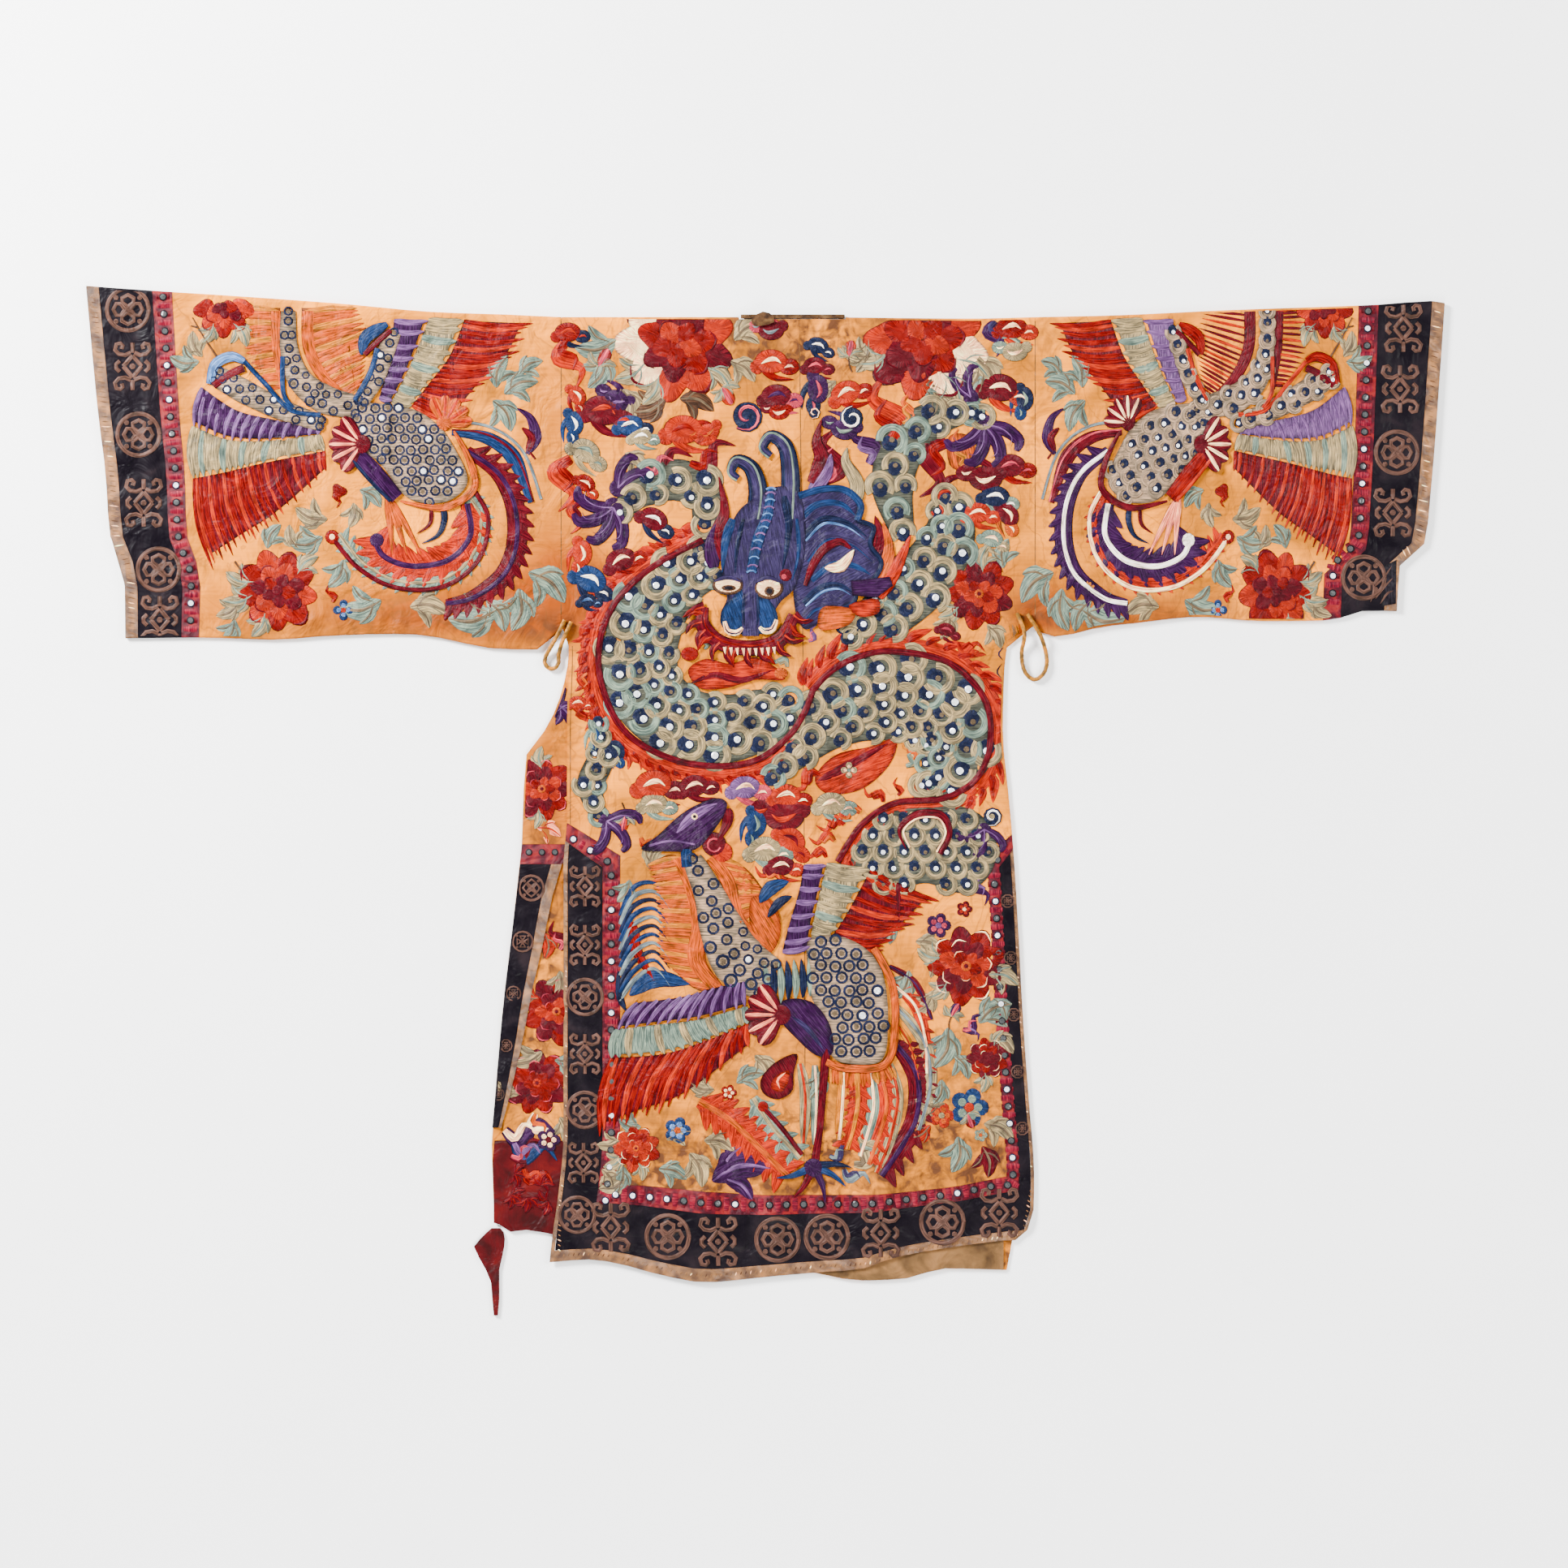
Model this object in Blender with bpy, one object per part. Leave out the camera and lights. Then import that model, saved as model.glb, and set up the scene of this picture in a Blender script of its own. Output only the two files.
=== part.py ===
"""Chinese dragon robe laid flat on a surface, front side up.

X runs to the viewer's right, Y towards the collar and Z up from the surface.
Sizes are in millimetres and become metres when a mesh or a curve is made.

The body is cut in two halves, each one length of cloth that is folded over the
shoulder, and the halves meet at the centre seam. The sleeves are flattened
tubes. Every piece is a wall of cloth, and neighbours stand a seam gap apart.
"""

import math

import bpy

MM = 0.001
WALL = 1.4              # every layer of cloth
SEAM_GAP = 0.3          # between two pieces that are sewn together
LAYER_GAP = 0.4         # between two layers that lie on each other
SEAM_INSET = 0.6 * SEAM_GAP

# Tops of the layers, counted up from the surface.
BACK_TOP = WALL
INNER_FRONT_TOP = BACK_TOP + LAYER_GAP + WALL
EXTENSION_TOP = INNER_FRONT_TOP + LAYER_GAP + WALL
LOW_FRONT_TOP = EXTENSION_TOP + 0.1
SIDE_SEAM_TOP = 2 * WALL + SEAM_GAP
SLEEVE_TOP = 5.2
RIGHT_BODY_TOP = 6.0
LEFT_BODY_TOP = 7.0

ARMPIT = 248             # y of the sleeves' lowest point at the body
LEFT_ARMHOLE = -287      # x of the sleeve seams
RIGHT_ARMHOLE = 378
SHOULDER = 680           # y of the shoulder fold at the neck
HEM_LEVEL = -640         # y at which column lines are spread along the front's hem
RIGHT_CORNER_LEVEL = -600
BACK_HEM_LEVEL = -620

# Widths over which the front is turned down at its edges.
HEM_TURN = 25
LEFT_EDGE_TURN = 30
SIDE_SEAM_TURN = 20
LOOSE_HEM_BELOW = 0      # y: the hem's turn is felt only below the waist
LOOSE_EDGE_BELOW = -110  # y: above it the left edge lies over the side extension

# Fold along the shoulders and the top of both sleeves.
TOP_EDGE = (  # x, y
    (-954, 724), (-858, 717), (-734, 709), (-597, 699), (-460, 687), (-346, 683),
    (-287, 680), (47, 680), (292, 678), (378, 680), (473, 682), (653, 690),
    (869, 698), (931, 703), (953, 700),
)
LEFT_SLEEVE_BOTTOM = (  # x, y
    (-897, 229), (-793, 230), (-688, 227), (-620, 232), (-528, 235), (-483, 234),
    (-437, 225), (-385, 215), (-332, 213), (-308, 214), (-287, 240),
)
RIGHT_SLEEVE_BOTTOM = (  # x, y
    (378, 240), (393, 231), (414, 232), (473, 245), (518, 250), (608, 259),
    (698, 253), (788, 254), (846, 268), (887, 267),
)
LEFT_CUFF_EDGE = (  # y, x
    (229, -899), (318, -900), (339, -908), (362, -918), (385, -922), (453, -926), (544, -937),
    (636, -946), (724, -954),
)
RIGHT_CUFF_EDGE = (  # y, x
    (267, 886), (336, 891), (362, 925), (385, 929), (430, 933), (499, 939), (613, 947), (700, 953),
)
FRONT_LEFT_EDGE = (  # y, x
    (-650, -304), (-605, -299), (-550, -291), (-470, -284), (-83, -284), (-30, -279), (100, -279),
    (215, -276), (248, -287), (690, -287),
)
FRONT_RIGHT_EDGE = (  # y, x
    (-640, 345), (-615, 351), (-598, 371), (-584, 376), (-527, 377), (-413, 369), (-299, 361),
    (-185, 355), (-71, 348), (9, 341), (100, 333), (200, 336), (222, 340), (248, 378), (690, 378),
)
CENTRE_SEAM = ((-660, 52), (-356, 55), (100, 53), (690, 47))  # y, x
FRONT_HEM = (  # x, y
    (-304, -647), (-248, -643), (-209, -648), (-161, -661), (-84, -675), (5, -667),
    (76, -661), (137, -657), (190, -641), (254, -629), (352, -616),
)
FIELD_BOTTOM = (  # x, y: where the embroidered ground ends above the hem border
    (-296, -537), (-209, -538), (-100, -546), (0, -552), (120, -552), (230, -544), (352, -522),
)
BACK_LEFT_EDGE = (  # y, x
    (-650, -380), (-573, -382), (-482, -385), (-413, -380), (-288, -369), (-162, -354),
    (-48, -342), (18, -340), (66, -336), (99, -311), (123, -298), (168, -283),
    (215, -276), (248, -287), (690, -287),
)
BACK_RIGHT_EDGE = (  # y, x
    (-670, 337), (-615, 345), (-580, 362), (-527, 372), (-413, 368), (-299, 361), (-185, 355),
    (-71, 348), (9, 341), (100, 333), (200, 336), (222, 340), (248, 378), (690, 378),
)
BACK_HEM = (  # x, y
    (-385, -588), (-290, -602), (-100, -640), (53, -659), (137, -673), (190, -671),
    (254, -656), (345, -658),
)

# The border round the front: distances in from the front's edge.
LEFT_BORDER = (0, 6, 30, 55, 80)          # piping, two strips of black satin, pink band
RIGHT_BORDER = (0, 5, 22, 38)             # the same, where the edge turns away
HEM_BORDER = (0, 0.15, 0.46, 0.76, 1.0)   # the same, as shares of the hem border's height
VENT_BLACK_TOP = -92
VENT_PINK_TOP = -76
LEFT_VENT_RISE = (37, 46)                 # black and pink tops rise towards the edge
RIGHT_VENT_RISE = (25, 30)

LEFT_FIELD_COLUMNS = 9
RIGHT_FIELD_COLUMNS = 9
LOWER_ROWS = 16
MIDDLE_ROWS = 10
UPPER_ROWS = 14
BACK_ROW_Y = (560, 430, 330, 248, 215, 190, 168, 145, 123, 99, 66, 18, -60, -180, -300, -400, -482)
FOLD_ANGLES = (45, 0, -45)                # points round a fold, in degrees

NECK = (-36, 112)                         # opening in the shoulder fold, x

# Soft folds in the upper layer: a ridge along a line from (x0, y0) to (x1, y1).
FOLDS = (  # x0, y0, x1, y1, half_width, height
    (-92, -430, -84, -690, 27, 8.0),
    (20, -480, 6, -680, 22, 4.5),
    (168, -430, 150, -670, 28, 7.0),
    (274, -470, 262, -640, 22, 4.5),
    (-196, -500, -208, -660, 20, 4.5),
    (-236, -180, -222, -420, 24, 3.0),
    (-60, -120, -96, -330, 34, 2.6),
    (120, -150, 150, -330, 36, 3.0),
    (236, -40, 262, -330, 26, 3.2),
    (-236, 130, -120, -40, 30, 3.4),
    (30, 120, 54, -80, 38, 2.4),
    (286, 190, 214, 20, 30, 3.2),
    (-60, 620, -226, 430, 32, 3.2),
    (160, 620, 330, 400, 34, 3.6),
    (-240, 330, -130, 250, 26, 3.0),
    (300, 300, 200, 230, 26, 3.0),
    (-10, 440, 96, 380, 34, 2.2),
    (-300, 290, -452, 352, 24, 5.5),
    (-350, 236, -500, 268, 17, 4.5),
    (-560, 258, -700, 250, 18, 4.0),
    (-390, 640, -470, 470, 30, 2.6),
    (-600, 420, -560, 300, 26, 3.0),
    (-700, 660, -742, 430, 34, 2.8),
    (-826, 600, -800, 320, 24, 2.6),
    (-918, 640, -898, 330, 20, 2.0),
    (400, 290, 540, 360, 24, 5.5),
    (430, 258, 600, 284, 17, 4.0),
    (660, 282, 800, 286, 18, 4.0),
    (450, 640, 520, 470, 30, 2.6),
    (640, 420, 610, 300, 26, 3.0),
    (700, 660, 742, 430, 34, 2.8),
    (832, 600, 820, 330, 24, 2.6),
    (906, 640, 896, 380, 20, 2.0),
)

COLOURS = {  # red, green, blue, roughness
    "ground_silk": (0.86, 0.43, 0.17, 0.55),
    "black_satin": (0.014, 0.010, 0.016, 0.45),
    "pink_band": (0.60, 0.07, 0.11, 0.55),
    "metal_piping": (0.52, 0.34, 0.20, 0.45),
    "red_silk": (0.42, 0.012, 0.014, 0.55),
    "tan_lining": (0.43, 0.26, 0.11, 0.80),
    "binding": (0.16, 0.075, 0.04, 0.80),
    "gold_cord": (0.56, 0.30, 0.05, 0.70),
}


def read(table, at):
    """Reads a table of two columns as a smooth curve without overshoot."""
    if at <= table[0][0]:
        return table[0][1]
    if at >= table[-1][0]:
        return table[-1][1]
    last = len(table) - 2
    k = next(n for n in range(last + 1) if at <= table[n + 1][0])

    def slope(n):
        return (table[n + 1][1] - table[n][1]) / (table[n + 1][0] - table[n][0])

    def tangent(n):
        if n == 0 or n == last + 1:
            return slope(min(n, last))
        before, after = slope(n - 1), slope(n)
        if before * after <= 0:
            return 0.0
        return 2 * before * after / (before + after)

    (x0, y0), (x1, y1) = table[k], table[k + 1]
    span = x1 - x0
    t = (at - x0) / span
    return (
        y0 * (1 + 2 * t) * (1 - t) ** 2 + y1 * t * t * (3 - 2 * t)
        + span * t * (1 - t) * ((1 - t) * tangent(k) - t * tangent(k + 1))
    )


def mix(a, b, share):
    return a + (b - a) * share


def smooth_step(low, high, at):
    t = min(max((at - low) / (high - low), 0.0), 1.0)
    return t * t * (3 - 2 * t)


def fold_height(x, y):
    """Height that the soft folds add at a place."""
    total = 0.0
    for x0, y0, x1, y1, half_width, height in FOLDS:
        dx, dy = x1 - x0, y1 - y0
        length = math.hypot(dx, dy)
        along = ((x - x0) * dx + (y - y0) * dy) / length
        aside = ((x - x0) * dy - (y - y0) * dx) / length
        beyond = max(-along, along - length, 0.0)
        taper = math.sin(math.pi * min(max(along / length, 0.12), 0.88))
        reach = (aside / half_width) ** 2 + (beyond / half_width) ** 2
        total += height * taper * math.exp(-reach)
    return total


def top_of_cloth(x, y):
    """Top of the upper layer before it is turned down at its edges."""
    body = mix(LEFT_BODY_TOP, RIGHT_BODY_TOP, smooth_step(-60, 90, x))
    away = max(LEFT_ARMHOLE - x, x - RIGHT_ARMHOLE)
    base = mix(body, SLEEVE_TOP, smooth_step(-40, 160, away))
    return base + fold_height(x, y)


def turned_down(top, low, distance, width):
    """Top of the cloth where an edge curves down to its low height."""
    share = min(max(distance / width, 0.0), 1.0)
    return low + (top - low) * math.sqrt(1 - (1 - share) ** 2)


def front_top(x, y):
    """Top of the body's front layer, turned down at its free edges and the side seam."""
    top = top_of_cloth(x, y)
    if y < LOOSE_HEM_BELOW:
        top = turned_down(top, LOW_FRONT_TOP, y - read(FRONT_HEM, x), HEM_TURN)
    if y < LOOSE_EDGE_BELOW:
        top = turned_down(top, LOW_FRONT_TOP, x - read(FRONT_LEFT_EDGE, y), LEFT_EDGE_TURN)
    if y < ARMPIT - WALL:
        top = turned_down(top, SIDE_SEAM_TOP, read(FRONT_RIGHT_EDGE, y) - x, SIDE_SEAM_TURN)
    return top


def fold_point(x, edge, side, radius, angle):
    """Outer and inner point on a half-round fold; side is 1 at a top edge, -1 at a bottom one."""
    turn = math.radians(angle)
    centre = edge - side * radius
    inner = radius - WALL
    return (
        (x, centre + side * radius * math.cos(turn), radius + radius * math.sin(turn)),
        (x, centre + side * inner * math.cos(turn), radius + inner * math.sin(turn)),
    )


def material(name):
    red, green, blue, roughness = COLOURS[name]
    made = bpy.data.materials.get(name) or bpy.data.materials.new(name)
    made.use_nodes = True
    shader = made.node_tree.nodes["Principled BSDF"]
    shader.inputs["Base Color"].default_value = (red, green, blue, 1)
    shader.inputs["Roughness"].default_value = roughness
    shader.inputs["Metallic"].default_value = 0.0
    made.diffuse_color = (red, green, blue, 1)
    return made


def add_mesh(name, points, faces, finish):
    mesh = bpy.data.meshes.new(name)
    mesh.from_pydata([tuple(c * MM for c in p) for p in points], [], faces)
    mesh.validate()
    mesh.shade_smooth()
    mesh.set_sharp_from_angle(angle=math.radians(50))
    mesh.materials.append(material(finish))
    made = bpy.data.objects.new(name, mesh)
    bpy.context.scene.collection.objects.link(made)
    return made


def inward(a, b, middle):
    """Unit direction square to the line a-b, towards the middle of its cell."""
    along = [q - p for p, q in zip(a, b)]
    reach = [m - p for p, m in zip(a, middle)]
    share = sum(u * v for u, v in zip(along, reach)) / sum(u * u for u in along)
    square = [r - share * u for r, u in zip(reach, along)]
    length = math.hypot(*square)
    return [c / length for c in square]


def add_wall(name, pairs, cells, finish):
    """Closed wall from grid cells; pairs gives the outer and inner point of each grid key.

    Its rim is drawn in by a seam's inset, so that it stands clear of its neighbours.
    """
    edges = {(cell[n], cell[(n + 1) % 4]): cell for cell in cells for n in range(4)}
    rim = [edge for edge in edges if (edge[1], edge[0]) not in edges]
    directions = {}
    for a, b in rim:
        for layer in (0, 1):
            corners = [pairs[key][layer] for key in edges[a, b]]
            middle = [sum(axis) / 4 for axis in zip(*corners)]
            direction = inward(pairs[a][layer], pairs[b][layer], middle)
            for key in (a, b):
                directions.setdefault((key, layer), []).append(direction)

    points, index = [], {}
    for key in dict.fromkeys(key for cell in cells for key in cell):
        for layer in (0, 1):
            point = pairs[key][layer]
            if (key, layer) in directions:
                first, last = directions[key, layer][0], directions[key, layer][-1]
                spread = 1 + max(sum(u * v for u, v in zip(first, last)), -0.6)
                point = [
                    p + SEAM_INSET * (u + v) / spread for p, u, v in zip(point, first, last)
                ]
            index[key, layer] = len(points)
            points.append(point)

    faces = []
    for a, b, c, d in cells:
        faces.append((index[a, 0], index[b, 0], index[c, 0]))
        faces.append((index[a, 0], index[c, 0], index[d, 0]))
        faces.append((index[a, 1], index[c, 1], index[b, 1]))
        faces.append((index[a, 1], index[d, 1], index[c, 1]))
    for a, b in rim:
        faces.append((index[b, 0], index[a, 0], index[a, 1]))
        faces.append((index[b, 0], index[a, 1], index[b, 1]))
    return add_mesh(name, points, faces, finish)


def flat_pair(x, y, top):
    """Outer and inner point of a layer whose outer side looks up."""
    return ((x, y, top), (x, y, top - WALL))


def body_columns(left, centre, right):
    """X of every column line between a left edge, the centre seam and a right edge."""
    inner_left = left + LEFT_BORDER[-1]
    inner_right = right - RIGHT_BORDER[-1]
    columns = [left + inset for inset in LEFT_BORDER]
    columns += [
        mix(inner_left, centre, n / LEFT_FIELD_COLUMNS) for n in range(1, LEFT_FIELD_COLUMNS + 1)
    ]
    columns += [
        mix(centre, inner_right, n / RIGHT_FIELD_COLUMNS)
        for n in range(1, RIGHT_FIELD_COLUMNS + 1)
    ]
    columns += [right - inset for inset in reversed(RIGHT_BORDER[:-1])]
    return columns


def vent_line(base, rises, insets, from_left, from_right):
    """Height of a border's top at the vents, which slants up to the garment's edge."""
    left_share = max(0.0, 1 - from_left / insets[0])
    right_share = max(0.0, 1 - from_right / insets[1])
    return base + rises[0] * left_share + rises[1] * right_share


def front_rows(x, from_left, from_right):
    """Y of every row line of the front at one column, from the hem to the shoulder."""
    hem, field = read(FRONT_HEM, x), read(FIELD_BOTTOM, x)
    black_top = vent_line(
        VENT_BLACK_TOP, (LEFT_VENT_RISE[0], RIGHT_VENT_RISE[0]),
        (LEFT_BORDER[3], RIGHT_BORDER[2]), from_left, from_right,
    )
    pink_top = vent_line(
        VENT_PINK_TOP, (LEFT_VENT_RISE[1], RIGHT_VENT_RISE[1]),
        (LEFT_BORDER[4], RIGHT_BORDER[3]), from_left, from_right,
    )
    shoulder = read(TOP_EDGE, x)
    shoulder -= top_of_cloth(x, shoulder) / 2
    rows = [mix(hem, field, share) for share in HEM_BORDER]
    rows += [mix(field, black_top, n / LOWER_ROWS) for n in range(1, LOWER_ROWS + 1)]
    rows += [mix(pink_top, ARMPIT, n / MIDDLE_ROWS) for n in range(MIDDLE_ROWS + 1)]
    rows += [mix(ARMPIT, shoulder, n / UPPER_ROWS) for n in range(1, UPPER_ROWS + 1)]
    return rows


def make_body():
    """Both halves of the body and the border on the front."""
    hem_columns = body_columns(
        read(FRONT_LEFT_EDGE, HEM_LEVEL), read(CENTRE_SEAM, HEM_LEVEL),
        read(FRONT_RIGHT_EDGE, RIGHT_CORNER_LEVEL),
    )
    top_columns = body_columns(LEFT_ARMHOLE, read(CENTRE_SEAM, SHOULDER), RIGHT_ARMHOLE)
    column_count = len(hem_columns)
    centre_column = len(LEFT_BORDER) - 1 + LEFT_FIELD_COLUMNS
    pairs = {}
    for i, hem_x in enumerate(hem_columns):
        rows = front_rows(hem_x, hem_x - hem_columns[0], hem_columns[-1] - hem_x)
        for j, y in enumerate(rows):
            columns = body_columns(
                read(FRONT_LEFT_EDGE, y), read(CENTRE_SEAM, y), read(FRONT_RIGHT_EDGE, y)
            )
            pairs[i, j] = flat_pair(columns[i], y, front_top(columns[i], y))
        shoulder_row = len(rows) - 1
        x = top_columns[i]
        edge = read(TOP_EDGE, x)
        radius = top_of_cloth(x, edge) / 2
        pairs[i, shoulder_row] = flat_pair(x, edge - radius, 2 * radius)
        for n, angle in enumerate(FOLD_ANGLES, 1):
            pairs[i, shoulder_row + n] = fold_point(x, edge, 1, radius, angle)
        back_row = shoulder_row + len(FOLD_ANGLES) + 1
        if i <= centre_column:
            share = (x - top_columns[0]) / (top_columns[centre_column] - top_columns[0])
        else:
            share = (x - top_columns[centre_column]) / (top_columns[-1] - top_columns[centre_column])

        def back_x(y):
            if i <= centre_column:
                return mix(read(BACK_LEFT_EDGE, y), read(CENTRE_SEAM, y), share)
            return mix(read(CENTRE_SEAM, y), read(BACK_RIGHT_EDGE, y), share)

        hem = read(BACK_HEM, back_x(BACK_HEM_LEVEL))
        for n, y in enumerate((edge - radius, *BACK_ROW_Y, hem)):
            pairs[i, back_row + n] = ((back_x(y), y, 0.0), (back_x(y), y, WALL))
    last_row = back_row + len(BACK_ROW_Y) + 1

    def piece_of(i, j):
        vent_row = len(HEM_BORDER) - 1 + LOWER_ROWS
        from_left, from_right = i, column_count - 2 - i
        if j > vent_row:
            if shoulder_row <= j < back_row:
                middle = (top_columns[i] + top_columns[i + 1]) / 2
                if NECK[0] < middle < NECK[1]:
                    return None
            return "body_left_half" if i < centre_column else "body_right_half"
        if j == vent_row and (from_left < 4 or from_right < 3):
            return "front_pink_band"
        if j < vent_row:
            if j == 0 or from_left == 0 or from_right == 0:
                return "front_piping"
            if j < 3 or from_left < 3 or from_right == 1:
                return "front_black_band"
            if j == 3 or from_left == 3 or from_right == 2:
                return "front_pink_band"
        return "body_left_half" if i < centre_column else "body_right_half"

    finishes = {
        "body_left_half": "ground_silk",
        "body_right_half": "ground_silk",
        "front_pink_band": "pink_band",
        "front_black_band": "black_satin",
        "front_piping": "metal_piping",
    }
    pieces = {name: [] for name in finishes}
    for i in range(column_count - 1):
        for j in range(last_row):
            name = piece_of(i, j)
            if name:
                pieces[name].append(((i, j), (i + 1, j), (i + 1, j + 1), (i, j + 1)))
    for name, cells in pieces.items():
        add_wall(name, pairs, cells, finishes[name])


CUFF_REACH = 940          # x near the cuffs' outer ends
SLEEVE_FIELD_RINGS = 15
SLEEVE_FRONT_ROWS = 14
SLEEVE_BACK_ROWS = 7
# Cuff border, in from the cuff's edge: piping, black satin (two strips), pink band.
CUFF_BORDER_TOP = (0, 18, 56, 93, 121)
CUFF_BORDER_BOTTOM = (0, 18, 49, 79, 104)


def make_sleeve(side, armhole, bottom_edge, cuff_edge):
    """One sleeve with its cuff border; side is -1 on the viewer's left and 1 on the right."""
    low, high = read(bottom_edge, side * CUFF_REACH), read(TOP_EDGE, side * CUFF_REACH)

    def line_x(ring, share):
        cuff = read(cuff_edge, mix(low, high, share))
        border = [mix(b, t, share) for b, t in zip(CUFF_BORDER_BOTTOM, CUFF_BORDER_TOP)]
        if ring <= SLEEVE_FIELD_RINGS:
            return mix(armhole, cuff - side * border[-1], ring / SLEEVE_FIELD_RINGS)
        return cuff - side * border[len(border) - 1 - (ring - SLEEVE_FIELD_RINGS)]

    rings = SLEEVE_FIELD_RINGS + len(CUFF_BORDER_TOP) - 1
    pairs = {}
    for ring in range(rings + 1):
        x_low, x_high = line_x(ring, 0.0), line_x(ring, 1.0)
        y_low, y_high = read(bottom_edge, x_low), read(TOP_EDGE, x_high)
        low_radius = top_of_cloth(x_low, y_low) / 2
        high_radius = top_of_cloth(x_high, y_high) / 2
        points = []
        for n in range(SLEEVE_FRONT_ROWS + 1):
            share = n / SLEEVE_FRONT_ROWS
            x, y = line_x(ring, share), mix(y_low + low_radius, y_high - high_radius, share)
            top = top_of_cloth(x, y)
            if n == 0:
                top = 2 * low_radius
            elif n == SLEEVE_FRONT_ROWS:
                top = 2 * high_radius
            points.append(flat_pair(x, y, top))
        for angle in FOLD_ANGLES:
            points.append(fold_point(x_high, y_high, 1, high_radius, angle))
        for n in range(SLEEVE_BACK_ROWS + 1):
            share = 1 - n / SLEEVE_BACK_ROWS
            x, y = line_x(ring, share), mix(y_low + low_radius, y_high - high_radius, share)
            points.append(((x, y, 0.0), (x, y, WALL)))
        for angle in reversed(FOLD_ANGLES):
            points.append(fold_point(x_low, y_low, -1, low_radius, angle))
        for n, pair in enumerate(points):
            pairs[ring, n] = pair
    around = len(points)

    word = "left" if side < 0 else "right"
    first = SLEEVE_FIELD_RINGS
    strips = (  # name, first_ring, last_ring, finish
        (f"{word}_sleeve", 0, first, "ground_silk"),
        (f"{word}_cuff_pink_band", first, first + 1, "pink_band"),
        (f"{word}_cuff_black_band", first + 1, first + 3, "black_satin"),
        (f"{word}_cuff_piping", first + 3, first + 4, "metal_piping"),
    )
    for name, start, end, finish in strips:
        cells = []
        for ring in range(start, end):
            for n in range(around):
                m = (n + 1) % around
                cell = ((ring, n), (ring + 1, n), (ring + 1, m), (ring, m))
                cells.append(cell if side > 0 else cell[::-1])
        add_wall(name, pairs, cells, finish)


INNER_FRONT_LEFT = (  # y, x
    (-606, -382), (-573, -382), (-482, -384), (-462, -369), (-413, -366), (-288, -355),
    (-162, -340), (-48, -328), (66, -320), (123, -280), (168, -266), (560, -266),
)
INNER_FRONT_BOTTOM = (  # x, y
    (-384, -591), (-369, -596), (-347, -610), (-338, -602), (-322, -600), (-296, -612), (40, -616),
)
INNER_FRONT_RIGHT = 40
INNER_FRONT_SHOULDER = 560
INNER_FRONT_COLUMNS = 12
INNER_FRONT_SPREAD = 1.6  # columns stand closer at the edge that shows
RED_HEM_TOP = -476
RED_HEM_ROWS = 4
INNER_FRONT_ROW_Y = (  # from the red hem's top upwards
    -462, -413, -350, -288, -225, -162, -105, -48, 18, 66, 95, 123, 168, 260, 360, 460,
)


def make_inner_front():
    """Under-flap on the wearer's right, which lies between the back and the front."""
    pairs = {}
    row_count = 0
    for i in range(INNER_FRONT_COLUMNS + 1):
        share = (i / INNER_FRONT_COLUMNS) ** INNER_FRONT_SPREAD
        bottom = read(INNER_FRONT_BOTTOM, mix(INNER_FRONT_LEFT[0][1], INNER_FRONT_RIGHT, share))
        rows = [mix(bottom, RED_HEM_TOP, n / RED_HEM_ROWS) for n in range(RED_HEM_ROWS + 1)]
        rows += list(INNER_FRONT_ROW_Y) + [INNER_FRONT_SHOULDER]
        row_count = len(rows)
        for j, y in enumerate(rows):
            x = mix(read(INNER_FRONT_LEFT, y), INNER_FRONT_RIGHT, share)
            pairs[i, j] = flat_pair(x, y, INNER_FRONT_TOP)
    strips = (  # name, first_row, last_row, finish
        ("inner_front_hem", 0, RED_HEM_ROWS, "red_silk"),
        ("inner_front", RED_HEM_ROWS, row_count - 1, "ground_silk"),
    )
    for name, start, end, finish in strips:
        cells = [
            ((i, j), (i + 1, j), (i + 1, j + 1), (i, j + 1))
            for i in range(INNER_FRONT_COLUMNS) for j in range(start, end)
        ]
        add_wall(name, pairs, cells, finish)


EXTENSION_FREE_EDGE = (  # y, x
    (-458, -371), (-428, -363), (-379, -351), (-330, -340), (-271, -329), (-206, -314),
    (-132, -299), (-88, -286), (-60, -262), (160, -262),
)
EXTENSION_FIELD_Y = (160, 146, 123, 99, 66, 18, -22, -60)
EXTENSION_BORDER_Y = (-88, -132, -170, -206, -240, -271, -300, -330, -355, -379, -404, -428, -458)
EXTENSION_TURN = 12       # width over which the fold at the outline comes down
EXTENSION_PIPING = 15
EXTENSION_COLUMNS = 5


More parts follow.
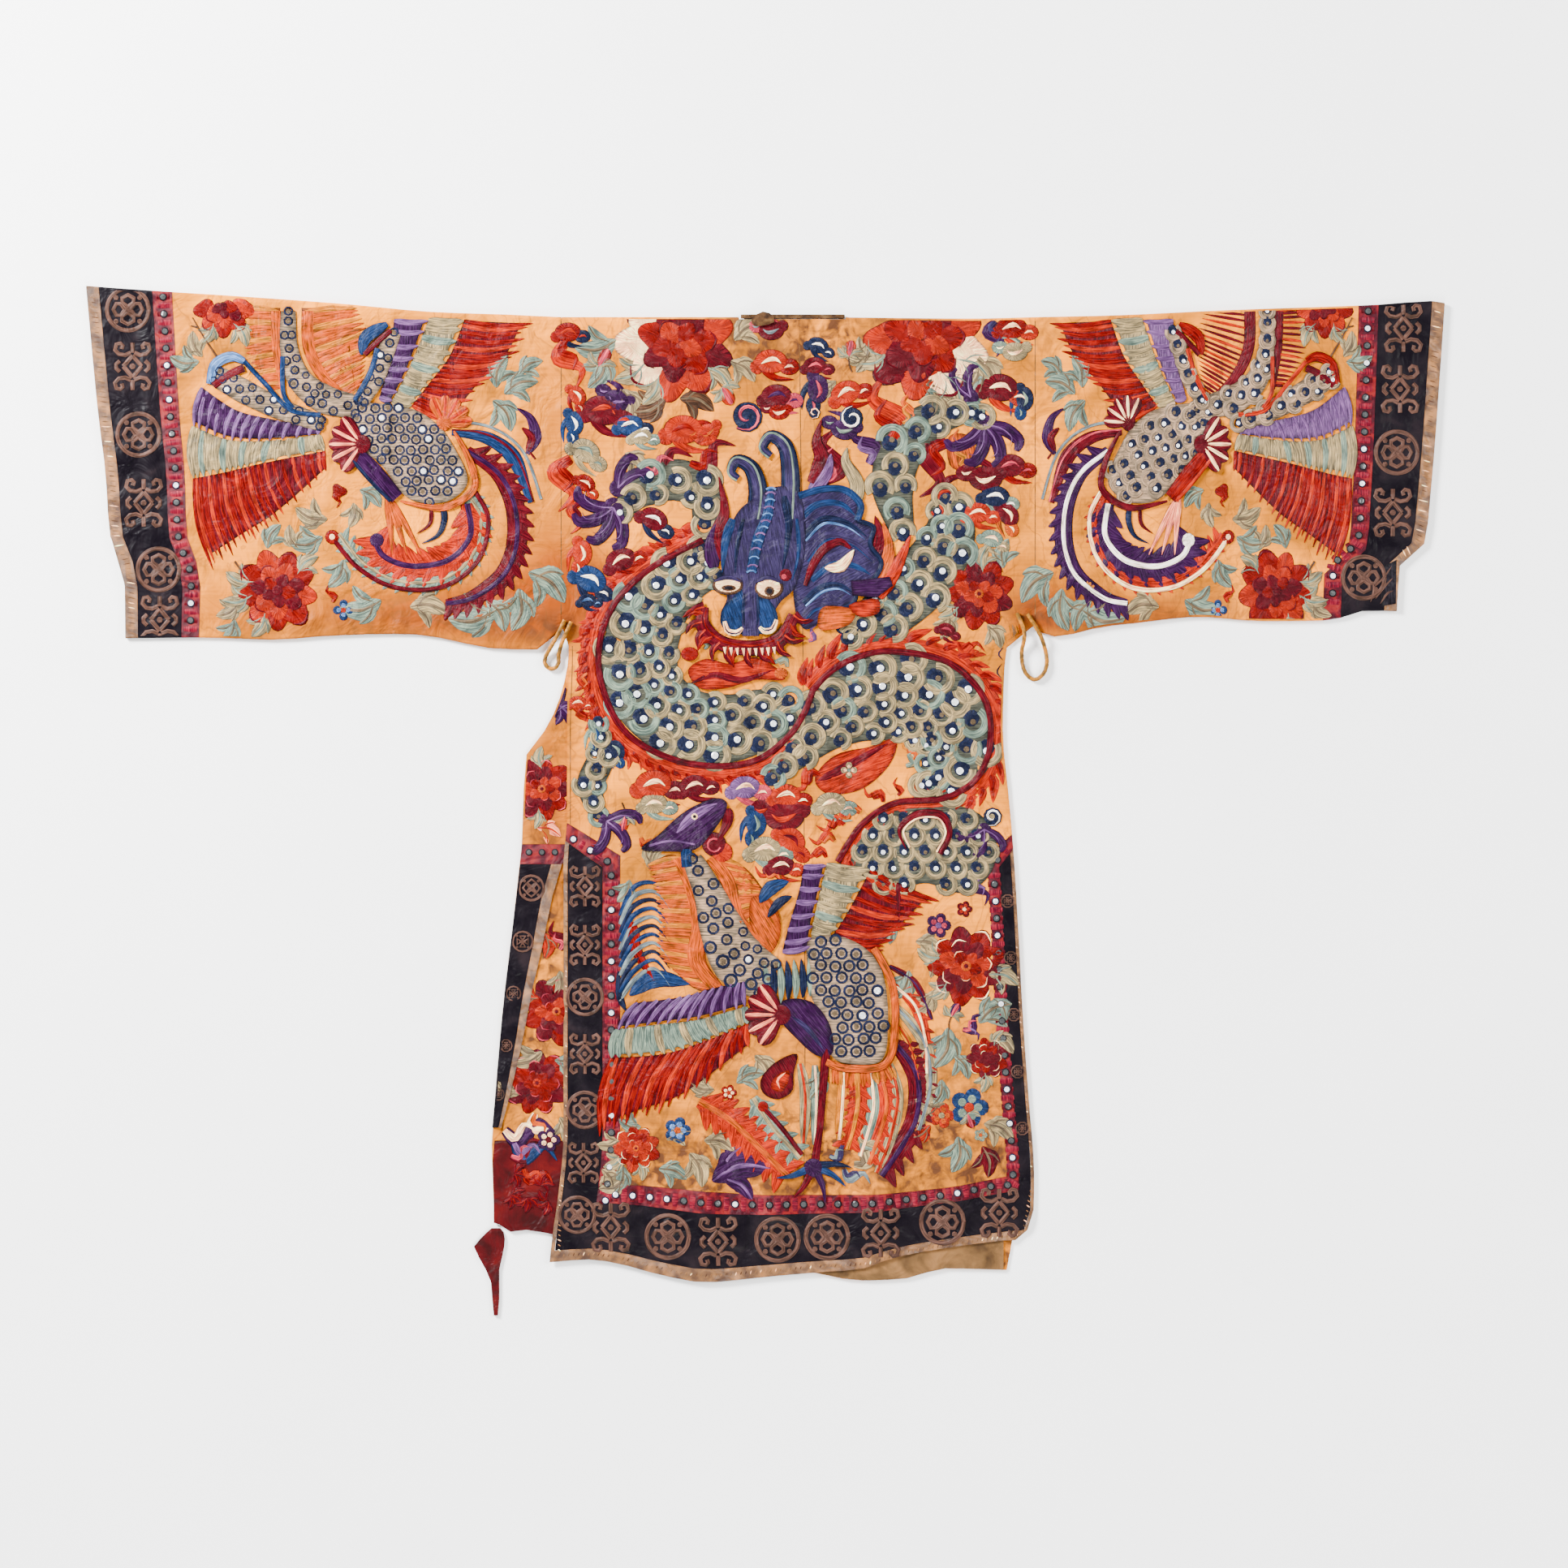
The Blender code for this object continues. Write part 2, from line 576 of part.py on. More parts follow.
def make_side_extension():
    """Edge of the back that is wrapped to the front at the open vent."""
    pairs = {}
    rows = EXTENSION_FIELD_Y + EXTENSION_BORDER_Y
    for j, y in enumerate(rows):
        left, free = read(BACK_LEFT_EDGE, y), read(EXTENSION_FREE_EDGE, y)
        width = free - left
        turn = left + min(EXTENSION_TURN, 0.5 * width)
        piping = free - min(EXTENSION_PIPING, 0.3 * width)
        columns = [left] + [mix(turn, piping, n / 3) for n in range(4)] + [free]
        for i, x in enumerate(columns):
            top = SIDE_SEAM_TOP if i == 0 else EXTENSION_TOP
            pairs[i, j] = flat_pair(x, y, top)
    pink_row = len(EXTENSION_FIELD_Y) - 1
    last_column = EXTENSION_COLUMNS - 1
    strips = (  # name, columns, rows, finish
        ("side_extension", range(EXTENSION_COLUMNS), range(pink_row), "ground_silk"),
        ("side_extension_pink_band", range(EXTENSION_COLUMNS), (pink_row,), "pink_band"),
        ("side_extension_black_band", range(last_column), range(pink_row + 1, len(rows) - 1),
         "black_satin"),
        ("side_extension_piping", (last_column,), range(pink_row + 1, len(rows) - 1),
         "metal_piping"),
    )
    for name, columns, span, finish in strips:
        cells = [
            ((i, j + 1), (i + 1, j + 1), (i + 1, j), (i, j)) for i in columns for j in span
        ]
        add_wall(name, pairs, cells, finish)


LINING_HEM = (62, 334)    # its ends, x
LINING_HEM_COLUMNS = 10
LINING_HEM_ROWS = 3
LINING_HEM_DEPTH = 70


def make_lining_hem():
    """Lining along the back's hem, seen below the front's hem on the viewer's right."""
    pairs = {}
    for i in range(LINING_HEM_COLUMNS + 1):
        x = mix(*LINING_HEM, i / LINING_HEM_COLUMNS)
        for j in range(LINING_HEM_ROWS + 1):
            y = read(BACK_HEM, x) + SEAM_GAP + LINING_HEM_DEPTH * j / LINING_HEM_ROWS
            pairs[i, j] = flat_pair(x, y, INNER_FRONT_TOP)
    cells = [
        ((i, j), (i + 1, j), (i + 1, j + 1), (i, j + 1))
        for i in range(LINING_HEM_COLUMNS) for j in range(LINING_HEM_ROWS)
    ]
    add_wall("lining_hem", pairs, cells, "tan_lining")


BINDING_WIDTH = 5.5
BINDING_GAP = 3.4         # between the two runs of the flattened neck ring
BINDING_REST = 0.4        # height of its lower run
BINDING_END_INSET = 4     # in from the ends of the neck opening
BINDING_END_STEPS = 4
BINDING_RUN_STEPS = 4


def make_neck_binding():
    """Flattened ring that binds the neck opening, standing a little above the shoulder."""
    radius = WALL + BINDING_GAP / 2
    centre_z = radius + BINDING_REST
    base = SHOULDER - RIGHT_BODY_TOP / 2 + 3 * SEAM_GAP
    left, right = NECK[0] + BINDING_END_INSET, NECK[1] - BINDING_END_INSET
    loops = []
    for reach in (radius, radius - WALL):
        loop = []
        for n in range(BINDING_END_STEPS + 1):
            turn = math.pi * (0.5 - n / BINDING_END_STEPS)
            loop.append((right + reach * math.cos(turn), centre_z + reach * math.sin(turn)))
        for n in range(1, BINDING_RUN_STEPS):
            loop.append((mix(right, left, n / BINDING_RUN_STEPS), centre_z - reach))
        for n in range(BINDING_END_STEPS + 1):
            turn = math.pi * (1.5 - n / BINDING_END_STEPS)
            loop.append((left + reach * math.cos(turn), centre_z + reach * math.sin(turn)))
        for n in range(1, BINDING_RUN_STEPS):
            loop.append((mix(left, right, n / BINDING_RUN_STEPS), centre_z + reach))
        loops.append(loop)
    pairs = {}
    around = len(loops[0])
    for n in range(around):
        for j, y in enumerate((base, base + BINDING_WIDTH)):
            pairs[n, j] = tuple((loop[n][0], y, loop[n][1]) for loop in loops)
    cells = [((n, 1), (n, 0), ((n + 1) % around, 0), ((n + 1) % around, 1)) for n in range(around)]
    add_wall("neck_binding", pairs, cells, "binding")


TORN_END = (  # x, y_low, y_high, rise: the loose end of the binding, lying on the front
    (-20, 670, 679, 0.0), (-13, 666, 683, 1.2), (-4, 667, 687, 2.2), (5, 669, 685, 1.6),
    (12, 672, 680, 0.4),
)


TORN_END_TOP = 11.0


def make_torn_end():
    pairs = {}
    for i, (x, y_low, y_high, rise) in enumerate(TORN_END):
        for j in range(4):
            y = mix(y_low, y_high, j / 3)
            bump = rise if j in (1, 2) else 0.0
            pairs[i, j] = flat_pair(x, y, TORN_END_TOP + bump)
    cells = [
        ((i, j), (i + 1, j), (i + 1, j + 1), (i, j + 1))
        for i in range(len(TORN_END) - 1) for j in range(3)
    ]
    add_wall("neck_binding_loose_end", pairs, cells, "binding")


TIE = (  # y, left, right: a folded triangle that runs out in a thin tail
    (-599, -385, -373), (-605, -392, -368), (-615, -402, -366), (-625, -410, -367),
    (-640, -403, -370), (-658, -393, -374), (-675, -386, -374), (-700, -384, -374),
    (-722, -382, -376),
)
TIE_THICKNESS = 2.4
TIE_MIDDLE_RISE = 1.2


def make_tie():
    pairs = {}
    for j, (y, left, right) in enumerate(TIE):
        for i in range(4):
            x = mix(left, right, i / 3)
            rise = TIE_MIDDLE_RISE if i in (1, 2) and 0 < j < 6 else 0.0
            pairs[i, j] = ((x, y, TIE_THICKNESS + rise), (x, y, 0.0))
    cells = [
        ((i, j + 1), (i + 1, j + 1), (i + 1, j), (i, j))
        for i in range(3) for j in range(len(TIE) - 1)
    ]
    add_wall("red_tie", pairs, cells, "red_silk")


CORD_RADIUS = 3.0
CORD_POINTS = 26
LEFT_LOOP = (  # x, y, z
    (-282, 254, 11.5), (-290, 237, 13.0), (-300, 219, 8.0), (-308.5, 204, 3.4), (-310, 194, 3.2),
    (-304, 187, 3.2), (-296, 187.5, 3.2), (-291, 195, 3.2), (-290.5, 206, 3.6), (-286, 222, 8.5),
    (-279, 238, 11.5), (-273, 252, 11.0),
)
RIGHT_LOOP = (  # x, y, z
    (352, 264, 10.0), (359, 249, 10.5), (363, 232, 10.0), (359.5, 212, 4.0), (360, 195, 3.2),
    (365, 180, 3.2), (377, 171, 3.2), (389.5, 179, 3.2), (394.5, 194, 3.2), (392.5, 212, 3.6),
    (386, 231, 9.5), (376, 249, 10.5), (367, 263, 10.0),
)


def smooth_route(route, count):
    """Evenly shared points on a smooth curve through a cord's route."""
    points = []
    for n in range(count):
        at = n / (count - 1) * (len(route) - 1)
        k = min(int(at), len(route) - 2)
        t = at - k
        p0, p1, p2, p3 = (route[min(max(k + m, 0), len(route) - 1)] for m in (-1, 0, 1, 2))
        points.append(tuple(
            0.5 * (2 * b + (c - a) * t + (2 * a - 5 * b + 4 * c - d) * t * t
                   + (3 * b - a - 3 * c + d) * t ** 3)
            for a, b, c, d in zip(p0, p1, p2, p3)
        ))
    return points


def add_cord(name, route):
    points = smooth_route(route, CORD_POINTS)
    curve = bpy.data.curves.new(name, "CURVE")
    curve.dimensions = "3D"
    curve.bevel_depth = CORD_RADIUS * MM
    curve.bevel_resolution = 2
    curve.use_fill_caps = True
    spline = curve.splines.new("POLY")
    spline.points.add(len(points) - 1)
    for knot, point in zip(spline.points, points):
        knot.co = (*(c * MM for c in point), 1)
    curve.materials.append(material("gold_cord"))
    made = bpy.data.objects.new(name, curve)
    bpy.context.scene.collection.objects.link(made)


def main():
    for old in list(bpy.data.objects):
        bpy.data.objects.remove(old)
    make_body()
    make_sleeve(-1, LEFT_ARMHOLE, LEFT_SLEEVE_BOTTOM, LEFT_CUFF_EDGE)
    make_sleeve(1, RIGHT_ARMHOLE, RIGHT_SLEEVE_BOTTOM, RIGHT_CUFF_EDGE)
    make_inner_front()
    make_side_extension()
    make_lining_hem()
    make_neck_binding()
    make_torn_end()
    make_tie()
    add_cord("left_loop", LEFT_LOOP)
    add_cord("right_loop", RIGHT_LOOP)


main()
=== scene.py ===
"""Looks of a Chinese dragon robe that lies flat, front side up.

Lengths are in millimetres, in the frame's axes, and become metres when a mesh is made.
Embroidery is placed in pixels of the photograph: its camera looks straight down, so a
pixel is PIXEL millimetres of cloth, and each stitch then lies on the cloth below it.
"""

import math
import random

import bpy
import numpy as np
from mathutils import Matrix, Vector, geometry


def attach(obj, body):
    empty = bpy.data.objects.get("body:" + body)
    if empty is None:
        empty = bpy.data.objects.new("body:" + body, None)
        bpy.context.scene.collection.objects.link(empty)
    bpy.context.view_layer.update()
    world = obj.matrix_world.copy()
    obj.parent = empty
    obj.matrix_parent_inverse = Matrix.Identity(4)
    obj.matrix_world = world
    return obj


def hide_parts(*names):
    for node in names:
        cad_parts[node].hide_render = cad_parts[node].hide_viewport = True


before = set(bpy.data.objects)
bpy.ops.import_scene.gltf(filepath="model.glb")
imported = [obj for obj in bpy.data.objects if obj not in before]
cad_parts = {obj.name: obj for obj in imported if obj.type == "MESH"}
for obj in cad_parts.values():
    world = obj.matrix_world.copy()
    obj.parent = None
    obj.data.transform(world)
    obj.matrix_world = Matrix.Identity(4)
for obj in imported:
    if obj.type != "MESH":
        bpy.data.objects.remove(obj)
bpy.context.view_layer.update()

MM = 0.001
PIXEL = 1.14                    # millimetres of cloth under one pixel of the photograph
ORIGIN_PX = (943.5, 987.5)      # pixel over the frame's origin
PHOTO_PX = 1932                 # its width and height
BODY = "root"


# ---------------------------------------------------------------- camera

CAMERA_HEIGHT = 5200
SENSOR = 36
CAMERA_REACH = 50        # metres


def add_camera():
    """Camera straight above the robe, as wide as the photograph."""
    made = bpy.data.cameras.new("camera")
    made.sensor_width = SENSOR
    made.lens = SENSOR * CAMERA_HEIGHT / (PHOTO_PX * PIXEL)
    made.clip_end = CAMERA_REACH
    camera = bpy.data.objects.new("camera", made)
    middle = PHOTO_PX / 2
    x, y = (middle - ORIGIN_PX[0]) * PIXEL, (ORIGIN_PX[1] - middle) * PIXEL
    camera.location = (x * MM, y * MM, CAMERA_HEIGHT * MM)
    bpy.context.scene.collection.objects.link(camera)
    bpy.context.scene.camera = camera


# ---------------------------------------------------------------- the cut, as in the part

WALL = 1.4              # every layer of cloth
SEAM_GAP = 0.3          # between two pieces that are sewn together
LAYER_GAP = 0.4         # between two layers that lie on each other
SEAM_INSET = 0.6 * SEAM_GAP

# Tops of the layers, counted up from the surface.
BACK_TOP = WALL
INNER_FRONT_TOP = BACK_TOP + LAYER_GAP + WALL
EXTENSION_TOP = INNER_FRONT_TOP + LAYER_GAP + WALL
LOW_FRONT_TOP = EXTENSION_TOP + 0.1
SIDE_SEAM_TOP = 2 * WALL + SEAM_GAP
SLEEVE_TOP = 5.2
RIGHT_BODY_TOP = 6.0
LEFT_BODY_TOP = 7.0

ARMPIT = 248             # y of the sleeves' lowest point at the body
LEFT_ARMHOLE = -287      # x of the sleeve seams
RIGHT_ARMHOLE = 378
SHOULDER = 680           # y of the shoulder fold at the neck
HEM_LEVEL = -640         # y at which column lines are spread along the front's hem
RIGHT_CORNER_LEVEL = -600
BACK_HEM_LEVEL = -620

# Widths over which the front is turned down at its edges.
HEM_TURN = 25
LEFT_EDGE_TURN = 30
SIDE_SEAM_TURN = 20
LOOSE_HEM_BELOW = 0      # y: the hem's turn is felt only below the waist
LOOSE_EDGE_BELOW = -110  # y: above it the left edge lies over the side extension

# Fold along the shoulders and the top of both sleeves.
TOP_EDGE = (  # x, y
    (-954, 724), (-858, 717), (-734, 709), (-597, 699), (-460, 687), (-346, 683),
    (-287, 680), (47, 680), (292, 678), (378, 680), (473, 682), (653, 690),
    (869, 698), (931, 703), (953, 700),
)
LEFT_SLEEVE_BOTTOM = (  # x, y
    (-897, 229), (-793, 230), (-688, 227), (-620, 232), (-528, 235), (-483, 234),
    (-437, 225), (-385, 215), (-332, 213), (-308, 214), (-287, 240),
)
RIGHT_SLEEVE_BOTTOM = (  # x, y
    (378, 240), (393, 231), (414, 232), (473, 245), (518, 250), (608, 259),
    (698, 253), (788, 254), (846, 268), (887, 267),
)
LEFT_CUFF_EDGE = (  # y, x
    (229, -899), (318, -900), (339, -908), (362, -918), (385, -922), (453, -926), (544, -937),
    (636, -946), (724, -954),
)
RIGHT_CUFF_EDGE = (  # y, x
    (267, 886), (336, 891), (362, 925), (385, 929), (430, 933), (499, 939), (613, 947), (700, 953),
)
FRONT_LEFT_EDGE = (  # y, x
    (-650, -304), (-605, -299), (-550, -291), (-470, -284), (-83, -284), (-30, -279), (100, -279),
    (215, -276), (248, -287), (690, -287),
)
FRONT_RIGHT_EDGE = (  # y, x
    (-640, 345), (-615, 351), (-598, 371), (-584, 376), (-527, 377), (-413, 369), (-299, 361),
    (-185, 355), (-71, 348), (9, 341), (100, 333), (200, 336), (222, 340), (248, 378), (690, 378),
)
CENTRE_SEAM = ((-660, 52), (-356, 55), (100, 53), (690, 47))  # y, x
FRONT_HEM = (  # x, y
    (-304, -647), (-248, -643), (-209, -648), (-161, -661), (-84, -675), (5, -667),
    (76, -661), (137, -657), (190, -641), (254, -629), (352, -616),
)
FIELD_BOTTOM = (  # x, y: where the embroidered ground ends above the hem border
    (-296, -537), (-209, -538), (-100, -546), (0, -552), (120, -552), (230, -544), (352, -522),
)
BACK_LEFT_EDGE = (  # y, x
    (-650, -380), (-573, -382), (-482, -385), (-413, -380), (-288, -369), (-162, -354),
    (-48, -342), (18, -340), (66, -336), (99, -311), (123, -298), (168, -283),
    (215, -276), (248, -287), (690, -287),
)
BACK_RIGHT_EDGE = (  # y, x
    (-670, 337), (-615, 345), (-580, 362), (-527, 372), (-413, 368), (-299, 361), (-185, 355),
    (-71, 348), (9, 341), (100, 333), (200, 336), (222, 340), (248, 378), (690, 378),
)
BACK_HEM = (  # x, y
    (-385, -588), (-290, -602), (-100, -640), (53, -659), (137, -673), (190, -671),
    (254, -656), (345, -658),
)

# The border round the front: distances in from the front's edge.
LEFT_BORDER = (0, 6, 30, 55, 80)          # piping, two strips of black satin, pink band
RIGHT_BORDER = (0, 5, 22, 38)             # the same, where the edge turns away
HEM_BORDER = (0, 0.15, 0.46, 0.76, 1.0)   # the same, as shares of the hem border's height
VENT_BLACK_TOP = -92
VENT_PINK_TOP = -76
LEFT_VENT_RISE = (37, 46)                 # black and pink tops rise towards the edge
RIGHT_VENT_RISE = (25, 30)

LEFT_FIELD_COLUMNS = 9
RIGHT_FIELD_COLUMNS = 9
LOWER_ROWS = 16
MIDDLE_ROWS = 10
UPPER_ROWS = 14
BACK_ROW_Y = (560, 430, 330, 248, 215, 190, 168, 145, 123, 99, 66, 18, -60, -180, -300, -400, -482)
FOLD_ANGLES = (68, 45, 22, 0, -22, -45, -68)  # points round a fold, in degrees

NECK = (-36, 112)                         # opening in the shoulder fold, x

# Soft folds in the upper layer: a ridge along a line from (x0, y0) to (x1, y1).
FOLDS = (  # x0, y0, x1, y1, half_width, height
    (-92, -430, -84, -690, 27, 8.0),
    (20, -480, 6, -680, 22, 4.5),
    (168, -430, 150, -670, 28, 7.0),
    (274, -470, 262, -640, 22, 4.5),
    (-196, -500, -208, -660, 20, 4.5),
    (-236, -180, -222, -420, 24, 3.0),
    (-60, -120, -96, -330, 34, 2.6),
    (120, -150, 150, -330, 36, 3.0),
    (236, -40, 262, -330, 26, 3.2),
    (-236, 130, -120, -40, 30, 3.4),
    (30, 120, 54, -80, 38, 2.4),
    (286, 190, 214, 20, 30, 3.2),
    (-60, 620, -226, 430, 32, 3.2),
    (160, 620, 330, 400, 34, 3.6),
    (-240, 330, -130, 250, 26, 3.0),
    (300, 300, 200, 230, 26, 3.0),
    (-10, 440, 96, 380, 34, 2.2),
    (-300, 290, -452, 352, 24, 5.5),
    (-350, 236, -500, 268, 17, 4.5),
    (-560, 258, -700, 250, 18, 4.0),
    (-390, 640, -470, 470, 30, 2.6),
    (-600, 420, -560, 300, 26, 3.0),
    (-700, 660, -742, 430, 34, 2.8),
    (-826, 600, -800, 320, 24, 2.6),
    (-918, 640, -898, 330, 20, 2.0),
    (400, 290, 540, 360, 24, 5.5),
    (430, 258, 600, 284, 17, 4.0),
    (660, 282, 800, 286, 18, 4.0),
    (450, 640, 520, 470, 30, 2.6),
    (640, 420, 610, 300, 26, 3.0),
    (700, 660, 742, 430, 34, 2.8),
    (832, 600, 820, 330, 24, 2.6),
    (906, 640, 896, 380, 20, 2.0),
)

# Small creases, one by one: a ridge or, below zero, a trough along a line.
CREASES = (  # x0, y0, x1, y1, half_width, height
    (-262, 250, -180, 214, 7, 1.4), (-256, 214, -150, 176, 9, -1.3), (-240, 176, -96, 92, 8, 1.5),
    (-266, 120, -210, 10, 6, 1.2), (-170, 210, -60, 150, 10, 1.0), (-250, -10, -234, -180, 7, 1.3),
    (-262, -230, -246, -420, 6, 1.4), (-150, -40, -170, -260, 9, -1.0), (-20, 30, -36, -210, 7, 1.0),
    (84, 60, 96, -160, 8, 1.1), (180, 20, 196, -250, 9, -1.2), (306, 120, 290, -60, 7, 1.4),
    (324, -90, 312, -330, 6, 1.5), (300, -350, 316, -520, 6, 1.5), (360, 244, 280, 200, 7, 1.5),
    (352, 212, 240, 160, 9, -1.3), (330, 170, 236, 60, 8, 1.3), (-50, -360, -60, -560, 8, -1.6),
    (60, -330, 64, -520, 7, 1.5), (118, -400, 112, -600, 8, -1.7), (216, -380, 210, -580, 7, 1.6),
    (-130, -420, -134, -600, 7, 1.7), (-170, -470, -172, -620, 6, -1.4), (-262, -450, -270, -600, 6, 1.3),
    (-220, 660, -190, 470, 8, 1.2), (-150, 650, -90, 560, 7, 1.1), (240, 660, 220, 500, 8, 1.2),
    (320, 650, 300, 480, 7, -1.1), (-286, 560, -268, 400, 6, 1.3), (372, 560, 350, 380, 6, 1.3),
    (-330, 640, -360, 470, 8, 1.3), (-430, 660, -480, 420, 10, -1.1), (-520, 600, -540, 380, 8, 1.2),
    (-660, 640, -690, 360, 9, 1.2), (-320, 300, -420, 250, 7, 1.8), (-300, 330, -400, 370, 8, -1.3),
    (-420, 300, -560, 300, 8, 1.4), (-560, 640, -640, 560, 8, 1.0), (-780, 660, -770, 420, 8, 1.1),
    (-870, 660, -860, 340, 7, 1.2), (420, 640, 450, 470, 8, 1.3), (520, 660, 570, 420, 10, -1.1),
    (610, 600, 640, 380, 8, 1.2), (740, 640, 790, 380, 9, 1.2), (410, 320, 520, 280, 7, 1.8),
    (400, 350, 490, 392, 8, -1.3), (520, 322, 640, 318, 8, 1.4), (650, 650, 720, 580, 8, 1.0),
    (870, 650, 866, 400, 7, 1.1), (-214, -250, -206, -330, 7, 1.3), (20, 250, 60, 170, 8, 0.9),
    (150, 300, 120, 210, 9, -0.9), (-120, 400, -60, 320, 8, 0.9), (-84, -430, -80, -580, 5, 1.8),
)
CREASE_RISE = 2.3        # all creases are this much higher than in the table
EDGE_CALM = 26           # creases fade out over this width at the edges of the cloth

FOLD_CALM = 4            # and this far from the top edge they are gone
RIDGE_ENDS = (0.12, 0.88)   # part of a half wave that a ridge's height follows from end to end
BODY_SLOPE = (-60, 90)   # x between which the front's height changes from left to right
SLEEVE_SLOPE = (-40, 160)   # distances from an armhole between which the sleeves' height is reached
BELOW_SLEEVES = ARMPIT - 40   # y


def read(table, at):
    """Reads a table of two columns as a smooth curve without overshoot, at many places."""
    places, values = np.array(table, float).T
    slopes = np.diff(values) / np.diff(places)
    product = slopes[:-1] * slopes[1:]
    total = np.where(product > 0, slopes[:-1] + slopes[1:], 1.0)
    inner = np.where(product > 0, 2 * product / total, 0.0)
    tangents = np.concatenate(([slopes[0]], inner, [slopes[-1]]))
    at = np.clip(at, places[0], places[-1])
    k = np.clip(np.searchsorted(places, at, "right") - 1, 0, len(places) - 2)
    span = places[k + 1] - places[k]
    t = (at - places[k]) / span
    return (
        values[k] * (1 + 2 * t) * (1 - t) ** 2 + values[k + 1] * t * t * (3 - 2 * t)
        + span * t * (1 - t) * ((1 - t) * tangents[k] - t * tangents[k + 1])
    )


def mix(a, b, share):
    """Value at a share of the way from a to b."""
    return a + (b - a) * share


def smooth_step(low, high, at):
    """0 below low, 1 above high and a smooth rise between them."""
    t = np.clip((at - low) / (high - low), 0.0, 1.0)
    return t * t * (3 - 2 * t)


def ridge_height(x, y, ridges):
    """Height that a table of soft ridges adds at a place."""
    total = np.zeros(np.broadcast(x, y).shape)
    for x0, y0, x1, y1, half_width, height in ridges:
        dx, dy = x1 - x0, y1 - y0
        length = math.hypot(dx, dy)
        along = ((x - x0) * dx + (y - y0) * dy) / length
        aside = ((x - x0) * dy - (y - y0) * dx) / length
        beyond = np.maximum(np.maximum(-along, along - length), 0.0)
        taper = np.sin(np.pi * np.clip(along / length, *RIDGE_ENDS))
        reach = (aside / half_width) ** 2 + (beyond / half_width) ** 2
        total += height * taper * np.exp(-reach)
    return total


def top_of_cloth(x, y):
    """Top of the upper layer before it is turned down at its edges."""
    body = mix(LEFT_BODY_TOP, RIGHT_BODY_TOP, smooth_step(*BODY_SLOPE, x))
    away = np.maximum(LEFT_ARMHOLE - x, x - RIGHT_ARMHOLE)
    base = mix(body, SLEEVE_TOP, smooth_step(*SLEEVE_SLOPE, away))
    return base + ridge_height(x, y, FOLDS)


def turned_down(top, low, distance, width):
    """Top of the cloth where an edge curves down to its low height."""
    share = np.clip(distance / width, 0.0, 1.0)
    return low + (top - low) * np.sqrt(1 - (1 - share) ** 2)


def front_top(x, y):
    """Top of the body's front layer, turned down at its free edges and the side seam."""
    top = top_of_cloth(x, y)
    hem = turned_down(top, LOW_FRONT_TOP, y - read(FRONT_HEM, x), HEM_TURN)
    top = np.where(y < LOOSE_HEM_BELOW, hem, top)
    edge = turned_down(top, LOW_FRONT_TOP, x - read(FRONT_LEFT_EDGE, y), LEFT_EDGE_TURN)
    top = np.where(y < LOOSE_EDGE_BELOW, edge, top)
    seam = turned_down(top, SIDE_SEAM_TOP, read(FRONT_RIGHT_EDGE, y) - x, SIDE_SEAM_TURN)
    return np.where(y < ARMPIT - WALL, seam, top)


def crease_height(x, y):
    """Small creases, which leave the edges of the garment as they are."""
    bottom = np.where(
        x < LEFT_ARMHOLE, read(LEFT_SLEEVE_BOTTOM, x),
        np.where(x > RIGHT_ARMHOLE, read(RIGHT_SLEEVE_BOTTOM, x), read(FRONT_HEM, x)),
    )
    calm = smooth_step(0, EDGE_CALM, read(TOP_EDGE, x) - FOLD_CALM - y)
    calm = calm * smooth_step(0, EDGE_CALM, y - bottom)
    for inset in (x - read(FRONT_LEFT_EDGE, y), read(FRONT_RIGHT_EDGE, y) - x):
        calm = np.where(y < ARMPIT, calm * smooth_step(0, EDGE_CALM, inset), calm)
    return CREASE_RISE * calm * ridge_height(x, y, CREASES)


def front_surface(x, y):
    """Top of the upper layer anywhere on the body or the sleeves."""
    on_body = (x > LEFT_ARMHOLE) & (x < RIGHT_ARMHOLE)
    top = np.where(on_body | (y < BELOW_SLEEVES), front_top(x, y), top_of_cloth(x, y))
    return top + crease_height(x, y)


def inner_surface(x, y):
    """Top of the under-flap."""
    return np.full(np.broadcast(x, y).shape, INNER_FRONT_TOP)


def extension_surface(x, y):
    """Top of the side extension."""
    return np.full(np.broadcast(x, y).shape, EXTENSION_TOP)


# ---------------------------------------------------------------- shells of cloth

LAYERS = 2               # outer and inner side of a wall
LEAST_PULL = 0.8         # keeps a corner's inset short where its two edges nearly oppose
SHARP_ANGLE = 50         # degrees from which an edge is drawn sharp


def refined(grid, column_steps, row_steps):
    """A grid of points with every gap between its lines split into even steps."""
    for axis, steps in ((0, column_steps), (1, row_steps)):
        lines = np.arange(grid.shape[axis], dtype=float)
        places = [lines[:1]] + [n + np.arange(1, s + 1) / s for n, s in enumerate(steps)]
        places = np.concatenate(places)
        low = np.minimum(places.astype(int), len(lines) - 2)
        share = (places - low).reshape([-1 if n == axis else 1 for n in range(grid.ndim)])
        grid = np.take(grid, low, axis) * (1 - share) + np.take(grid, low + 1, axis) * share
    return grid


def spread(mask, column_steps, row_steps):
    """A mask of coarse cells, spread over the fine cells that they become."""
    return np.repeat(np.repeat(mask, column_steps, 0), row_steps, 1)


